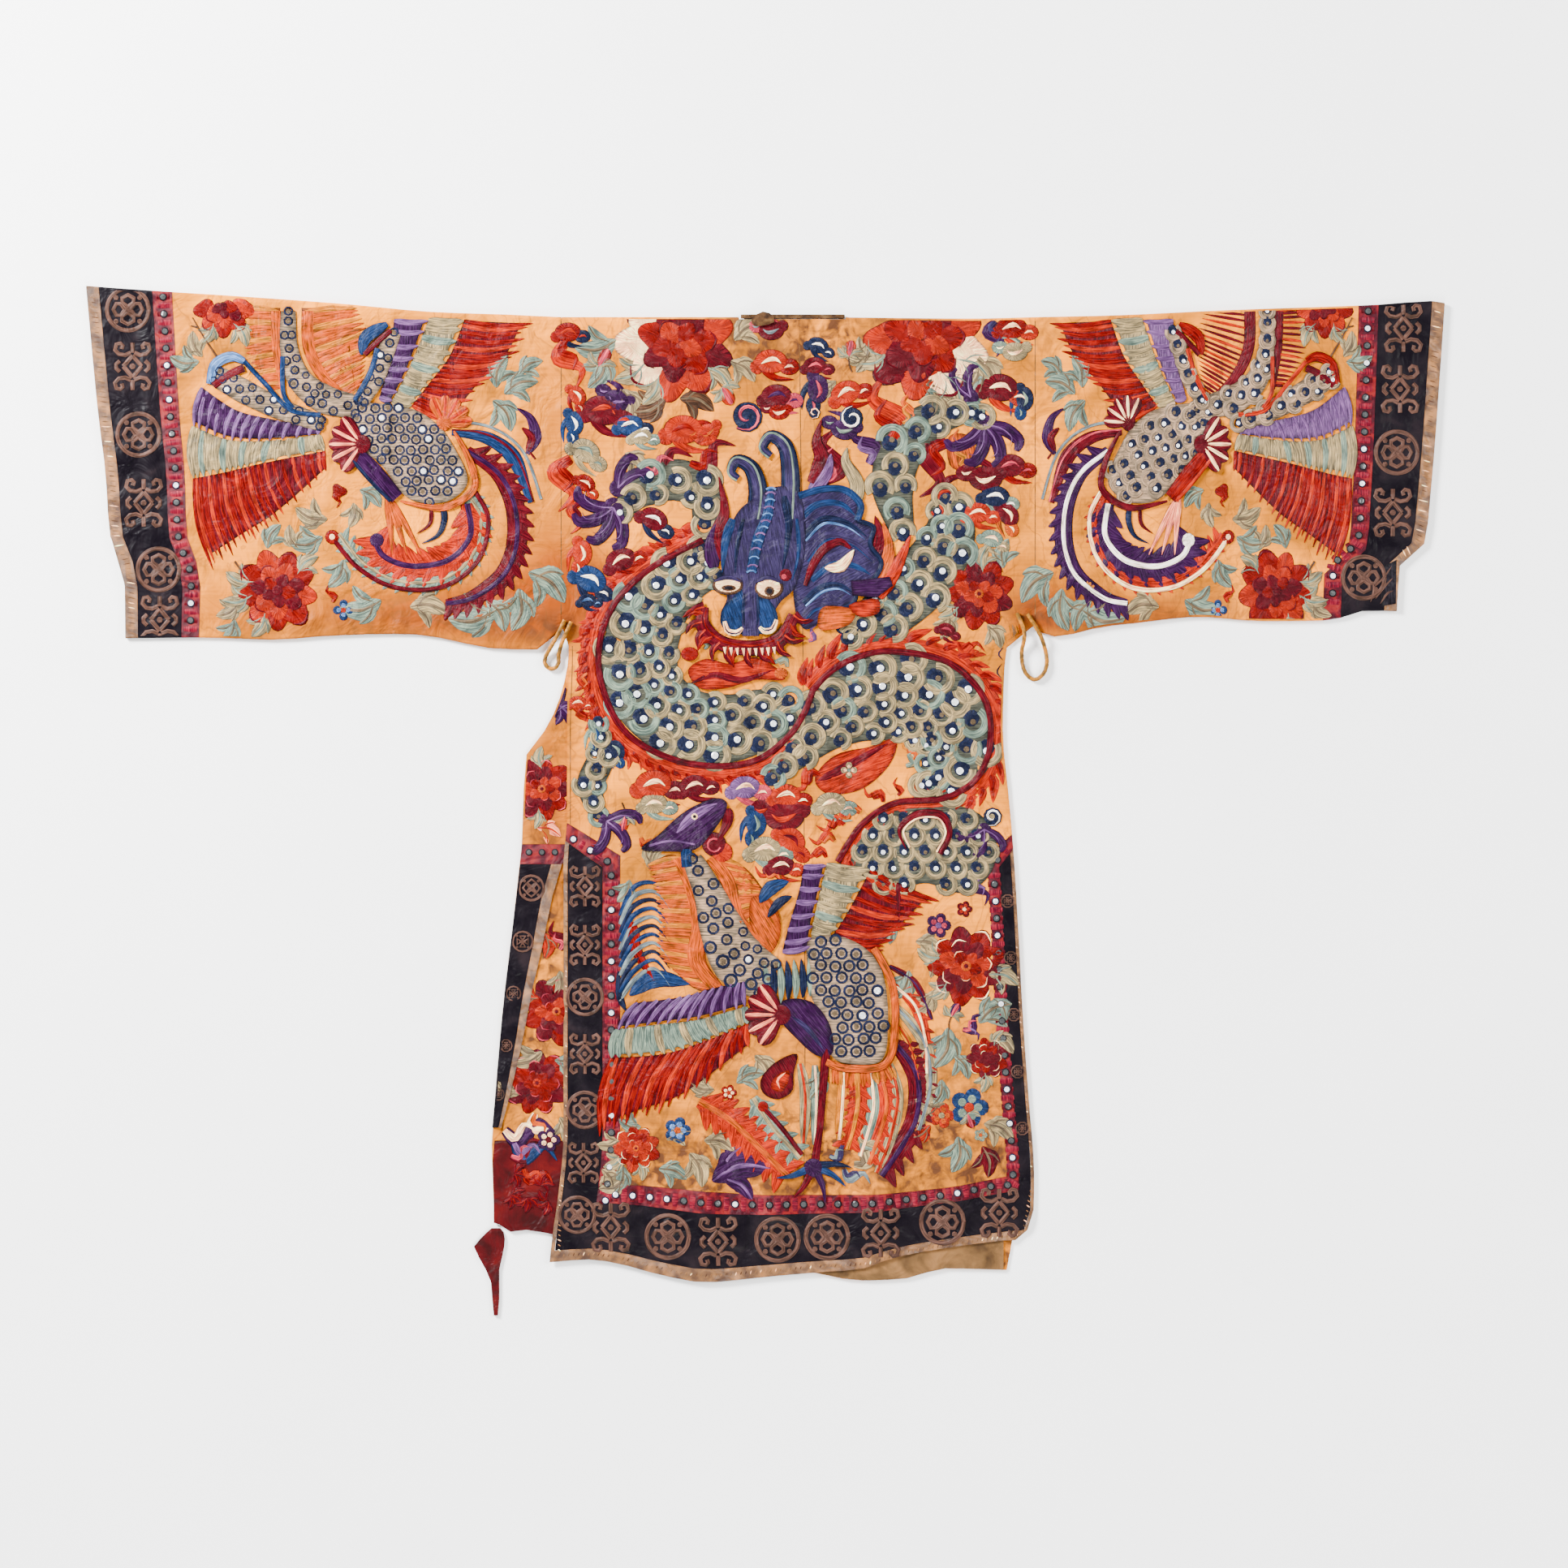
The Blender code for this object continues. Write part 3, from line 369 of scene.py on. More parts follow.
def drawn_in(points, cells, rim):
    """Rim points moved in by a seam's inset, so that a piece stands clear of its neighbours."""
    pull = np.zeros_like(points)
    a, b = rim[:, 0], rim[:, 1]
    along = points[b] - points[a]
    reach = points[cells].mean(1) - points[a]
    share = (along * reach).sum(1) / (along * along).sum(1)
    square = reach - share[:, None] * along
    square /= np.linalg.norm(square, axis=1)[:, None]
    np.add.at(pull, a, square)
    np.add.at(pull, b, square)
    size = np.maximum((pull * pull).sum(1), LEAST_PULL)[:, None]
    return points + SEAM_INSET * 2 * pull / size


def add_shell(name, grid, mask, finish, ids=None):
    """Closed wall of cloth over the cells of a mask; it stands for the node of that name."""
    columns, rows = grid.shape[:2]
    if ids is None:
        ids = np.arange(columns * rows).reshape(columns, rows)
    i, j = np.nonzero(mask)
    quads = np.stack([ids[i, j], ids[i + 1, j], ids[i + 1, j + 1], ids[i, j + 1]], 1)
    count = columns * rows
    edges = np.concatenate([np.stack([quads[:, n], quads[:, (n + 1) % 4]], 1) for n in range(4)])
    owners = np.tile(quads, (4, 1))
    alone = ~np.isin(edges[:, 1] * count + edges[:, 0], edges[:, 0] * count + edges[:, 1])
    rim, owners = edges[alone], owners[alone]
    flat = grid.reshape(-1, LAYERS, 3)
    outer = drawn_in(flat[:, 0].copy(), owners, rim)
    inner = drawn_in(flat[:, 1].copy(), owners, rim)
    used = np.unique(quads)
    fresh = np.full(count, -1)
    fresh[used] = np.arange(len(used))
    quads, rim = fresh[quads], fresh[rim]
    size = len(used)
    walls = np.stack([rim[:, 1], rim[:, 0], rim[:, 0] + size, rim[:, 1] + size], 1)
    faces = np.concatenate([quads, quads[:, ::-1] + size, walls])
    points = np.concatenate([outer[used], inner[used]])
    made = add_mesh(f"{name}_cloth", points, faces.tolist(), [finish])
    stain_and_shade(made.data, points)
    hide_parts(name)
    return made


def add_mesh(name, points, faces, finishes):
    """Mesh object from points in millimetres, which rides on the robe's one body."""
    mesh = bpy.data.meshes.new(name)
    mesh.from_pydata((np.asarray(points) * MM).tolist(), [], faces)
    mesh.shade_smooth()
    mesh.set_sharp_from_angle(angle=math.radians(SHARP_ANGLE))
    for finish in finishes:
        mesh.materials.append(finish)
    made = bpy.data.objects.new(name, mesh)
    bpy.context.scene.collection.objects.link(made)
    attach(made, BODY)
    return made


STAINS_AND_SHADOWS = (  # x, y, reach_x, reach_y, strength: soil on the silk, and painted shadow on the under-flap
    (40, 655, 130, 62, 1.0), (-60, 640, 120, 40, 0.5), (150, 640, 110, 46, 0.6),
    (-140, -520, 180, 50, 0.95), (130, -500, 210, 66, 0.95), (300, -470, 80, 120, 0.7),
    (20, -380, 330, 190, 0.42),
    (-230, -420, 60, 160, 0.4), (-300, 240, 60, 26, 0.7), (390, 260, 60, 26, 0.7),
    (-500, 250, 200, 26, 0.5), (600, 268, 200, 26, 0.5), (-60, -300, 40, 200, 0.25),
    (-330, -240, 40, 200, 0.5), (30, 100, 26, 300, 0.22), (-860, 600, 60, 120, 0.3),
    (880, 600, 60, 120, 0.3), (335, -640, 30, 70, 1.0),
    # painted shadow on the under-flap, where it runs in under the side extension
    (-312, -140, 30, 130, 1.0), (-345, -330, 40, 120, 0.6),
)
TINTS = (  # the same, where the silk is a stronger orange
    (-290, 300, 80, 90, 1.0), (388, 268, 46, 44, 0.9), (-200, 300, 60, 50, 0.5),
    (300, 300, 60, 50, 0.4), (-440, 262, 150, 50, 1.0), (520, 262, 140, 34, 0.8),
    (-300, -10, 40, 120, 0.8), (-288, 540, 40, 120, 0.35), (-700, 262, 160, 40, 0.5),
)


def stain_and_shade(mesh, points):
    """Writes how soiled and how orange the silk is at each point; the first mask also holds painted shadow
    on the under-flap.
    """
    x, y = points[:, 0], points[:, 1]
    for name, spots in (("soil_and_shadow", STAINS_AND_SHADOWS), ("tint", TINTS)):
        total = np.zeros(len(points))
        for px, py, reach_x, reach_y, strength in spots:
            total += strength * np.exp(-(((x - px) / reach_x) ** 2 + ((y - py) / reach_y) ** 2))
        attribute = mesh.attributes.new(name, "FLOAT", "POINT")
        attribute.data.foreach_set("value", np.clip(total, 0.0, 1.0).astype(np.float32))


def flat_pair(x, y, top):
    """Outer and inner point of a layer whose outer side looks up."""
    return ((x, y, top), (x, y, top - WALL))


def fold_point(x, edge, side, radius, angle):
    """Outer and inner point on a half-round fold; side is 1 at a top edge, -1 at a bottom one."""
    turn = math.radians(angle)
    centre = edge - side * radius
    inner = radius - WALL
    return (
        (x, centre + side * radius * math.cos(turn), radius + radius * math.sin(turn)),
        (x, centre + side * inner * math.cos(turn), radius + inner * math.sin(turn)),
    )


def body_columns(left, centre, right):
    """X of every column line between a left edge, the centre seam and a right edge."""
    inner_left = left + LEFT_BORDER[-1]
    inner_right = right - RIGHT_BORDER[-1]
    columns = [left + inset for inset in LEFT_BORDER]
    for start, end, count in (
        (inner_left, centre, LEFT_FIELD_COLUMNS), (centre, inner_right, RIGHT_FIELD_COLUMNS),
    ):
        columns += [mix(start, end, n / count) for n in range(1, count + 1)]
    columns += [right - inset for inset in reversed(RIGHT_BORDER[:-1])]
    return columns


def vent_line(base, rises, insets, from_left, from_right):
    """Height of a border's top at the vents, which slants up to the garment's edge."""
    left_share = max(0.0, 1 - from_left / insets[0])
    right_share = max(0.0, 1 - from_right / insets[1])
    return base + rises[0] * left_share + rises[1] * right_share


def front_rows(x, from_left, from_right):
    """Y of every row line of the front at one column, from the hem to the shoulder."""
    hem, field = read(FRONT_HEM, x), read(FIELD_BOTTOM, x)
    black_top = vent_line(
        VENT_BLACK_TOP, (LEFT_VENT_RISE[0], RIGHT_VENT_RISE[0]),
        (LEFT_BORDER[3], RIGHT_BORDER[2]), from_left, from_right,
    )
    pink_top = vent_line(
        VENT_PINK_TOP, (LEFT_VENT_RISE[1], RIGHT_VENT_RISE[1]),
        (LEFT_BORDER[4], RIGHT_BORDER[3]), from_left, from_right,
    )
    shoulder = read(TOP_EDGE, x)
    shoulder -= top_of_cloth(x, shoulder) / 2
    rows = [mix(hem, field, share) for share in HEM_BORDER]
    rows += [mix(field, black_top, n / LOWER_ROWS) for n in range(1, LOWER_ROWS + 1)]
    rows += [mix(pink_top, ARMPIT, n / MIDDLE_ROWS) for n in range(MIDDLE_ROWS + 1)]
    rows += [mix(ARMPIT, shoulder, n / UPPER_ROWS) for n in range(1, UPPER_ROWS + 1)]
    return rows


def body_grid():
    """Points of both halves of the body, one column line after another, front to back."""
    hem_columns = body_columns(
        read(FRONT_LEFT_EDGE, HEM_LEVEL), read(CENTRE_SEAM, HEM_LEVEL),
        read(FRONT_RIGHT_EDGE, RIGHT_CORNER_LEVEL),
    )
    top_columns = body_columns(LEFT_ARMHOLE, read(CENTRE_SEAM, SHOULDER), RIGHT_ARMHOLE)
    centre_column = len(LEFT_BORDER) - 1 + LEFT_FIELD_COLUMNS
    grid = []
    for i, hem_x in enumerate(hem_columns):
        rows = front_rows(hem_x, hem_x - hem_columns[0], hem_columns[-1] - hem_x)
        line = []
        for y in rows[:-1]:
            x = body_columns(
                read(FRONT_LEFT_EDGE, y), read(CENTRE_SEAM, y), read(FRONT_RIGHT_EDGE, y)
            )[i]
            line.append(flat_pair(x, y, front_top(x, y)))
        x = top_columns[i]
        edge = read(TOP_EDGE, x)
        radius = top_of_cloth(x, edge) / 2
        line.append(flat_pair(x, edge - radius, 2 * radius))
        line += [fold_point(x, edge, 1, radius, angle) for angle in FOLD_ANGLES]
        half = top_columns[:centre_column + 1]
        edges = (BACK_LEFT_EDGE, CENTRE_SEAM)
        if i > centre_column:
            half = top_columns[centre_column:]
            edges = (CENTRE_SEAM, BACK_RIGHT_EDGE)
        share = (x - half[0]) / (half[-1] - half[0])
        hem_place = mix(read(edges[0], BACK_HEM_LEVEL), read(edges[1], BACK_HEM_LEVEL), share)
        for y in (edge - radius, *BACK_ROW_Y, read(BACK_HEM, hem_place)):
            back_x = mix(read(edges[0], y), read(edges[1], y), share)
            line.append(((back_x, y, 0.0), (back_x, y, WALL)))
        grid.append(line)
    return np.array(grid, float), centre_column


# Border strips from the edge inwards, and steps across them.
STRIPS = ("front_piping", "front_black_band", "front_black_band", "front_pink_band")
LEFT_BORDER_STEPS = (2, 5, 5, 5)
RIGHT_BORDER_STEPS = (4, 4, 2)
HEM_ROW_STEPS = (3, 6, 6, 5)
FIELD_STEPS = 5
BACK_STEPS = 3


def raise_front(grid, last_row, surface):
    """Lets the front rows of a grid follow the cloth's own height, creases and all."""
    front = grid[:, :last_row]
    top = surface(front[:, :, 0, 0], front[:, :, 0, 1])
    front[:, :, 0, 2] = top
    front[:, :, 1, 2] = top - WALL


def make_body(silk, black, pink, piping):
    """Both halves of the body, folded over the shoulder, and the border on the front."""
    grid, centre_column = body_grid()
    column_count = len(grid)
    vent_row = len(HEM_BORDER) - 1 + LOWER_ROWS
    shoulder_row = vent_row + 1 + MIDDLE_ROWS + UPPER_ROWS
    back_row = shoulder_row + len(FOLD_ANGLES) + 1
    cell_rows = grid.shape[1] - 1
    top_x = grid[:, shoulder_row, 0, 0]
    middle = (top_x[:-1] + top_x[1:]) / 2
    neck = (NECK[0] < middle) & (middle < NECK[1])

    def piece_of(i, j):
        """Node that a cell of the grid belongs to, or None where the body is open."""
        from_left, from_right = i, column_count - 2 - i
        half = "body_left_half" if i < centre_column else "body_right_half"
        if j > vent_row:
            return None if shoulder_row <= j < back_row and neck[i] else half
        if j == vent_row:
            return STRIPS[-1] if min(from_left, from_right + 1) < len(STRIPS) else half
        strip = min(j, from_left, from_right + (from_right > 0))
        return STRIPS[strip] if strip < len(STRIPS) else half

    column_steps = [
        *LEFT_BORDER_STEPS, *[FIELD_STEPS] * (LEFT_FIELD_COLUMNS + RIGHT_FIELD_COLUMNS),
        *RIGHT_BORDER_STEPS,
    ]
    row_steps = [
        *HEM_ROW_STEPS, *[FIELD_STEPS] * (LOWER_ROWS + 1), *[FIELD_STEPS + 1] * MIDDLE_ROWS,
        *[FIELD_STEPS] * UPPER_ROWS, *[1] * (len(FOLD_ANGLES) + 1),
    ]
    row_steps += [BACK_STEPS] * (cell_rows - len(row_steps))
    fine = refined(grid, column_steps, row_steps)
    raise_front(fine, sum(row_steps[:shoulder_row]), front_surface)
    finishes = {
        "body_left_half": silk, "body_right_half": silk, "front_pink_band": pink,
        "front_black_band": black, "front_piping": piping,
    }
    names = [[piece_of(i, j) for j in range(cell_rows)] for i in range(column_count - 1)]
    made = {}
    for name, finish in finishes.items():
        mask = np.array([[cell == name for cell in line] for line in names])
        made[name] = add_shell(name, fine, spread(mask, column_steps, row_steps), finish)
    return made


CUFF_REACH = 940          # x near the cuffs' outer ends
SLEEVE_FIELD_RINGS = 15
SLEEVE_FRONT_ROWS = 14
SLEEVE_BACK_ROWS = 7
# Cuff border, in from the cuff's edge: piping, black satin (two strips), pink band.
CUFF_BORDER_TOP = (0, 18, 56, 93, 121)
CUFF_BORDER_BOTTOM = (0, 18, 49, 79, 104)
SLEEVE_RING_STEPS = 6
CUFF_RING_STEPS = (5, 6, 6, 4)


def sleeve_surface(x, y):
    """Top of a sleeve's front."""
    return top_of_cloth(x, y) + crease_height(x, y)


def sleeve_line(side, armhole, bottom_edge, cuff_edge):
    """Function for the x of a sleeve's rings at a share of the way from its bottom to its top."""
    low, high = read(bottom_edge, side * CUFF_REACH), read(TOP_EDGE, side * CUFF_REACH)

    def line_x(ring, share):
        """Rings run evenly over the field, then one by one over the cuff's border."""
        cuff = read(cuff_edge, mix(low, high, share))
        border = [mix(b, t, share) for b, t in zip(CUFF_BORDER_BOTTOM, CUFF_BORDER_TOP)]
        if ring <= SLEEVE_FIELD_RINGS:
            return mix(armhole, cuff - side * border[-1], ring / SLEEVE_FIELD_RINGS)
        return cuff - side * border[len(border) - 1 - (ring - SLEEVE_FIELD_RINGS)]

    return line_x


def sleeve_grid(side, armhole, bottom_edge, cuff_edge):
    """Points of a sleeve, ring by ring from the body to the cuff, each from its bottom round."""
    line_x = sleeve_line(side, armhole, bottom_edge, cuff_edge)
    grid = []
    for ring in range(SLEEVE_FIELD_RINGS + len(CUFF_BORDER_TOP)):
        x_low, x_high = line_x(ring, 0.0), line_x(ring, 1.0)
        y_low, y_high = read(bottom_edge, x_low), read(TOP_EDGE, x_high)
        low_radius = top_of_cloth(x_low, y_low) / 2
        high_radius = top_of_cloth(x_high, y_high) / 2
        low, high = y_low + low_radius, y_high - high_radius
        line = []
        for n in range(SLEEVE_FRONT_ROWS + 1):
            share = n / SLEEVE_FRONT_ROWS
            x, y = line_x(ring, share), mix(low, high, share)
            top = {0: 2 * low_radius, SLEEVE_FRONT_ROWS: 2 * high_radius}.get(n, top_of_cloth(x, y))
            line.append(flat_pair(x, y, top))
        line += [fold_point(x_high, y_high, 1, high_radius, angle) for angle in FOLD_ANGLES]
        for n in range(SLEEVE_BACK_ROWS + 1):
            share = 1 - n / SLEEVE_BACK_ROWS
            x, y = line_x(ring, share), mix(low, high, share)
            line.append(((x, y, 0.0), (x, y, WALL)))
        line += [fold_point(x_low, y_low, -1, low_radius, angle) for angle in reversed(FOLD_ANGLES)]
        grid.append(line + line[:1])
    return np.array(grid, float)


def make_sleeve(side, armhole, bottom_edge, cuff_edge, silk, black, pink, piping):
    """One sleeve with its cuff border; side is -1 on the viewer's left and 1 on the right."""
    grid = sleeve_grid(side, armhole, bottom_edge, cuff_edge)
    ring_steps = [SLEEVE_RING_STEPS] * SLEEVE_FIELD_RINGS + list(CUFF_RING_STEPS)
    fold_steps = [1] * (len(FOLD_ANGLES) + 1)
    row_steps = [SLEEVE_RING_STEPS] * SLEEVE_FRONT_ROWS + fold_steps
    row_steps += [BACK_STEPS] * SLEEVE_BACK_ROWS + fold_steps
    fine = refined(grid, ring_steps, row_steps)
    raise_front(fine[:, 1:], SLEEVE_RING_STEPS * SLEEVE_FRONT_ROWS - 1, sleeve_surface)
    fine = fine[::side]
    ids = np.arange(fine.shape[0] * fine.shape[1]).reshape(fine.shape[:2])
    ids[:, -1] = ids[:, 0]
    word = "left" if side < 0 else "right"
    first = SLEEVE_FIELD_RINGS
    strips = (  # name, first_ring, last_ring, finish
        (f"{word}_sleeve", 0, first, silk),
        (f"{word}_cuff_pink_band", first, first + 1, pink),
        (f"{word}_cuff_black_band", first + 1, first + 3, black),
        (f"{word}_cuff_piping", first + 3, first + 4, piping),
    )
    made = {}
    for name, start, end, finish in strips:
        mask = np.zeros((grid.shape[0] - 1, grid.shape[1] - 1), bool)
        mask[start:end] = True
        mask = spread(mask, ring_steps, row_steps)[::side]
        made[name] = add_shell(name, fine, mask, finish, ids)
    return made


INNER_FRONT_LEFT = (  # y, x
    (-606, -382), (-573, -382), (-482, -384), (-462, -369), (-413, -366), (-288, -355),
    (-162, -340), (-48, -328), (66, -320), (123, -280), (168, -266), (560, -266),
)
INNER_FRONT_BOTTOM = (  # x, y
    (-384, -591), (-369, -596), (-347, -610), (-338, -602), (-322, -600), (-296, -612), (40, -616),
)
INNER_FRONT_RIGHT = 40
INNER_FRONT_SHOULDER = 560
INNER_FRONT_COLUMNS = 12
INNER_FRONT_SPREAD = 1.6  # columns stand closer at the edge that shows
RED_HEM_TOP = -476
RED_HEM_ROWS = 4
INNER_FRONT_ROW_Y = (  # from the red hem's top upwards
    -462, -413, -350, -288, -225, -162, -105, -48, 18, 66, 95, 123, 168, 260, 360, 460,
)
THIN_STEPS = 4


def make_inner_front(silk, red):
    """Under-flap on the wearer's right, which lies between the back and the front."""
    lines = []
    for i in range(INNER_FRONT_COLUMNS + 1):
        share = (i / INNER_FRONT_COLUMNS) ** INNER_FRONT_SPREAD
        bottom = read(INNER_FRONT_BOTTOM, mix(INNER_FRONT_LEFT[0][1], INNER_FRONT_RIGHT, share))
        rows = [mix(bottom, RED_HEM_TOP, n / RED_HEM_ROWS) for n in range(RED_HEM_ROWS + 1)]
        rows += [*INNER_FRONT_ROW_Y, INNER_FRONT_SHOULDER]
        places = [mix(read(INNER_FRONT_LEFT, y), INNER_FRONT_RIGHT, share) for y in rows]
        lines.append([flat_pair(x, y, INNER_FRONT_TOP) for x, y in zip(places, rows)])
    strips = (("inner_front_hem", 0, RED_HEM_ROWS, red), ("inner_front", RED_HEM_ROWS, None, silk))
    return thin_shells(np.array(lines, float), strips)


def thin_shells(grid, strips, surface=None):
    """Shells of one thin layer; every strip takes its rows from first to last."""
    column_steps = [THIN_STEPS] * (grid.shape[0] - 1)
    row_steps = [THIN_STEPS] * (grid.shape[1] - 1)
    fine = refined(grid, column_steps, row_steps)
    if surface:
        rise = surface(fine[:, :, 0, 0], fine[:, :, 0, 1])[..., None]
        fine[..., 2] += rise - fine[:, :, :1, 2]
    made = {}
    for name, start, end, finish in strips:
        mask = np.zeros((grid.shape[0] - 1, grid.shape[1] - 1), bool)
        mask[:, start:end] = True
        made[name] = add_shell(name, fine, spread(mask, column_steps, row_steps), finish)
    return made


EXTENSION_FREE_EDGE = (  # y, x
    (-458, -371), (-428, -363), (-379, -351), (-330, -340), (-271, -329), (-206, -314),
    (-132, -299), (-88, -286), (-60, -262), (160, -262),
)
EXTENSION_FIELD_Y = (160, 146, 123, 99, 66, 18, -22, -60)
EXTENSION_BORDER_Y = (-88, -132, -170, -206, -240, -271, -300, -330, -355, -379, -404, -428, -458)
EXTENSION_TURN = 12       # width over which the fold at the outline comes down
EXTENSION_PIPING = 15
EXTENSION_COLUMNS = 5
EXTENSION_CREASES = (
    (-330, 60, -296, 20, 8, 1.3), (-320, -20, -300, -56, 7, 1.2), (-332, -150, -316, -200, 8, 1.2),
    (-356, -260, -340, -330, 8, 1.3), (-368, -370, -358, -430, 7, 1.1),
)


def make_side_extension(silk, black, pink, piping):
    """Edge of the back that is wrapped to the front at the open vent."""
    heights = EXTENSION_FIELD_Y + EXTENSION_BORDER_Y
    rows = []
    for y in reversed(heights):
        left, free = read(BACK_LEFT_EDGE, y), read(EXTENSION_FREE_EDGE, y)
        width = free - left
        turn = left + min(EXTENSION_TURN, 0.5 * width)
        edge = free - min(EXTENSION_PIPING, 0.3 * width)
        columns = [left] + [mix(turn, edge, n / 3) for n in range(4)] + [free]
        tops = [SIDE_SEAM_TOP] + [EXTENSION_TOP] * EXTENSION_COLUMNS
        rows.append([flat_pair(x, y, top) for x, top in zip(columns, tops)])
    grid = np.array(rows, float).swapaxes(0, 1)
    steps = [THIN_STEPS] * EXTENSION_COLUMNS, [THIN_STEPS] * (len(heights) - 1)
    fine = refined(grid, *steps)
    fine[..., 2] += ridge_height(fine[..., 0], fine[..., 1], EXTENSION_CREASES)
    border_rows = len(EXTENSION_BORDER_Y) - 1
    strips = (  # name, columns, rows, finish
        ("side_extension", slice(None), slice(border_rows + 1, None), silk),
        ("side_extension_pink_band", slice(None), slice(border_rows, border_rows + 1), pink),
        ("side_extension_black_band", slice(0, -1), slice(0, border_rows), black),
        ("side_extension_piping", slice(-1, None), slice(0, border_rows), piping),
    )
    made = {}
    for name, columns, span, finish in strips:
        mask = np.zeros((EXTENSION_COLUMNS, len(heights) - 1), bool)
        mask[columns, span] = True
        made[name] = add_shell(name, fine, spread(mask, *steps), finish)
    return made


LINING_HEM = (62, 334)    # its ends, x
LINING_HEM_COLUMNS = 10
LINING_HEM_ROWS = 3
LINING_HEM_DEPTH = 70
LINING_CREASES = (
    (90, -660, 96, -610, 7, 1.1), (150, -668, 140, -620, 9, 1.2), (214, -660, 220, -600, 8, 1.2),
    (280, -650, 270, -600, 8, 1.0),
)


def lining_surface(x, y):
    """Top of the lining at the hem, with its creases."""
    return INNER_FRONT_TOP + ridge_height(x, y, LINING_CREASES)


def make_lining_hem(lining):
    """Lining along the back's hem, seen below the front's hem on the viewer's right."""
    lines = []
    for i in range(LINING_HEM_COLUMNS + 1):
        x = mix(*LINING_HEM, i / LINING_HEM_COLUMNS)
        low = read(BACK_HEM, x) + SEAM_GAP
        rows = [low + LINING_HEM_DEPTH * j / LINING_HEM_ROWS for j in range(LINING_HEM_ROWS + 1)]
        lines.append([flat_pair(x, y, INNER_FRONT_TOP) for y in rows])
    return thin_shells(np.array(lines, float), (("lining_hem", 0, None, lining),), lining_surface)


BINDING_WIDTH = 5.5
BINDING_GAP = 3.4         # between the two runs of the flattened neck ring
BINDING_REST = 0.4        # height of its lower run
BINDING_END_INSET = 4     # in from the ends of the neck opening
BINDING_END_STEPS = 4
BINDING_RUN_STEPS = 4


def make_neck_binding(binding):
    """Flattened ring that binds the neck opening, standing a little above the shoulder."""
    radius = WALL + BINDING_GAP / 2
    centre_z = radius + BINDING_REST
    base = SHOULDER - RIGHT_BODY_TOP / 2 + 3 * SEAM_GAP
    left, right = NECK[0] + BINDING_END_INSET, NECK[1] - BINDING_END_INSET
    loops = []
    for reach in (radius, radius - WALL):
        loop = []
        for near, far, quarter, side in ((right, left, 0.5, -1), (left, right, 1.5, 1)):
            for n in range(BINDING_END_STEPS + 1):
                turn = math.pi * (quarter - n / BINDING_END_STEPS)
                loop.append((near + reach * math.cos(turn), centre_z + reach * math.sin(turn)))
            for n in range(1, BINDING_RUN_STEPS):
                loop.append((mix(near, far, n / BINDING_RUN_STEPS), centre_z + side * reach))
        loops.append(loop + loop[:1])
    lines = [
        [((x, y, z), (inner_x, y, inner_z)) for y in (base, base + BINDING_WIDTH)]
        for (x, z), (inner_x, inner_z) in zip(*loops)
    ]
    steps = [THIN_STEPS] * (len(lines) - 1), [THIN_STEPS]
    fine = refined(np.array(lines, float), *steps)
    ids = np.arange(fine.shape[0] * fine.shape[1]).reshape(fine.shape[:2])
    ids[-1] = ids[0]
    mask = np.ones((len(lines) - 1, 1), bool)
    return {"neck_binding": add_shell("neck_binding", fine, spread(mask, *steps), binding, ids)}


TORN_END = (  # x, y_low, y_high, rise: the loose end of the binding, lying on the front
    (-20, 670, 679, 0.0), (-13, 666, 683, 1.2), (-4, 667, 687, 2.2), (5, 669, 685, 1.6),
    (12, 672, 680, 0.4),
)
TORN_END_TOP = 11.0


def make_torn_end(binding):
    """Loose end of the binding, rumpled along its middle."""
    lines = []
    for x, y_low, y_high, rise in TORN_END:
        bumps = (0.0, rise, rise, 0.0)
        lines.append([
            flat_pair(x, mix(y_low, y_high, j / 3), TORN_END_TOP + bump) for j, bump in enumerate(bumps)
        ])
    return thin_shells(np.array(lines, float), (("neck_binding_loose_end", 0, None, binding),))


TIE = (  # y, left, right: a folded triangle that runs out in a thin tail
    (-599, -385, -373), (-605, -392, -368), (-615, -402, -366), (-625, -410, -367),
    (-640, -403, -370), (-658, -393, -374), (-675, -386, -374), (-700, -384, -374),
    (-722, -382, -376),
)
TIE_THICKNESS = 2.4
TIE_MIDDLE_RISE = 1.2
TIE_TAIL_ROW = 6          # its thin tail starts here


def make_tie(red):
    """Red tie, thicker along the middle of its broad end."""
    rows = []
    for j, (y, left, right) in reversed(list(enumerate(TIE))):
        rise = TIE_MIDDLE_RISE if 0 < j < TIE_TAIL_ROW else 0.0
        row = []
        for i, bump in enumerate((0.0, rise, rise, 0.0)):
            x = mix(left, right, i / 3)
            row.append(((x, y, TIE_THICKNESS + bump), (x, y, 0.0)))
        rows.append(row)
    return thin_shells(np.array(rows, float).swapaxes(0, 1), (("red_tie", 0, None, red),))


CORD_RADIUS = 3.0
CORD_POINTS = 26
CORD_SECTIONS = 5        # of the mesh from one of its points to the next
LEFT_LOOP = (  # x, y, z
    (-282, 254, 11.5), (-290, 237, 13.0), (-300, 219, 8.0), (-308.5, 204, 3.4), (-310, 194, 3.2),
    (-304, 187, 3.2), (-296, 187.5, 3.2), (-291, 195, 3.2), (-290.5, 206, 3.6), (-286, 222, 8.5),
    (-279, 238, 11.5), (-273, 252, 11.0),
)
RIGHT_LOOP = (  # x, y, z
    (352, 264, 10.0), (359, 249, 10.5), (363, 232, 10.0), (359.5, 212, 4.0), (360, 195, 3.2),
    (365, 180, 3.2), (377, 171, 3.2), (389.5, 179, 3.2), (394.5, 194, 3.2), (392.5, 212, 3.6),
    (386, 231, 9.5), (376, 249, 10.5), (367, 263, 10.0),
)
CORD_SIDES = 24
CORD_STRANDS = 3
STRAND_DEPTH = 0.14      # share of the radius
TWIST_PITCH = 22         # length in which a strand goes once round


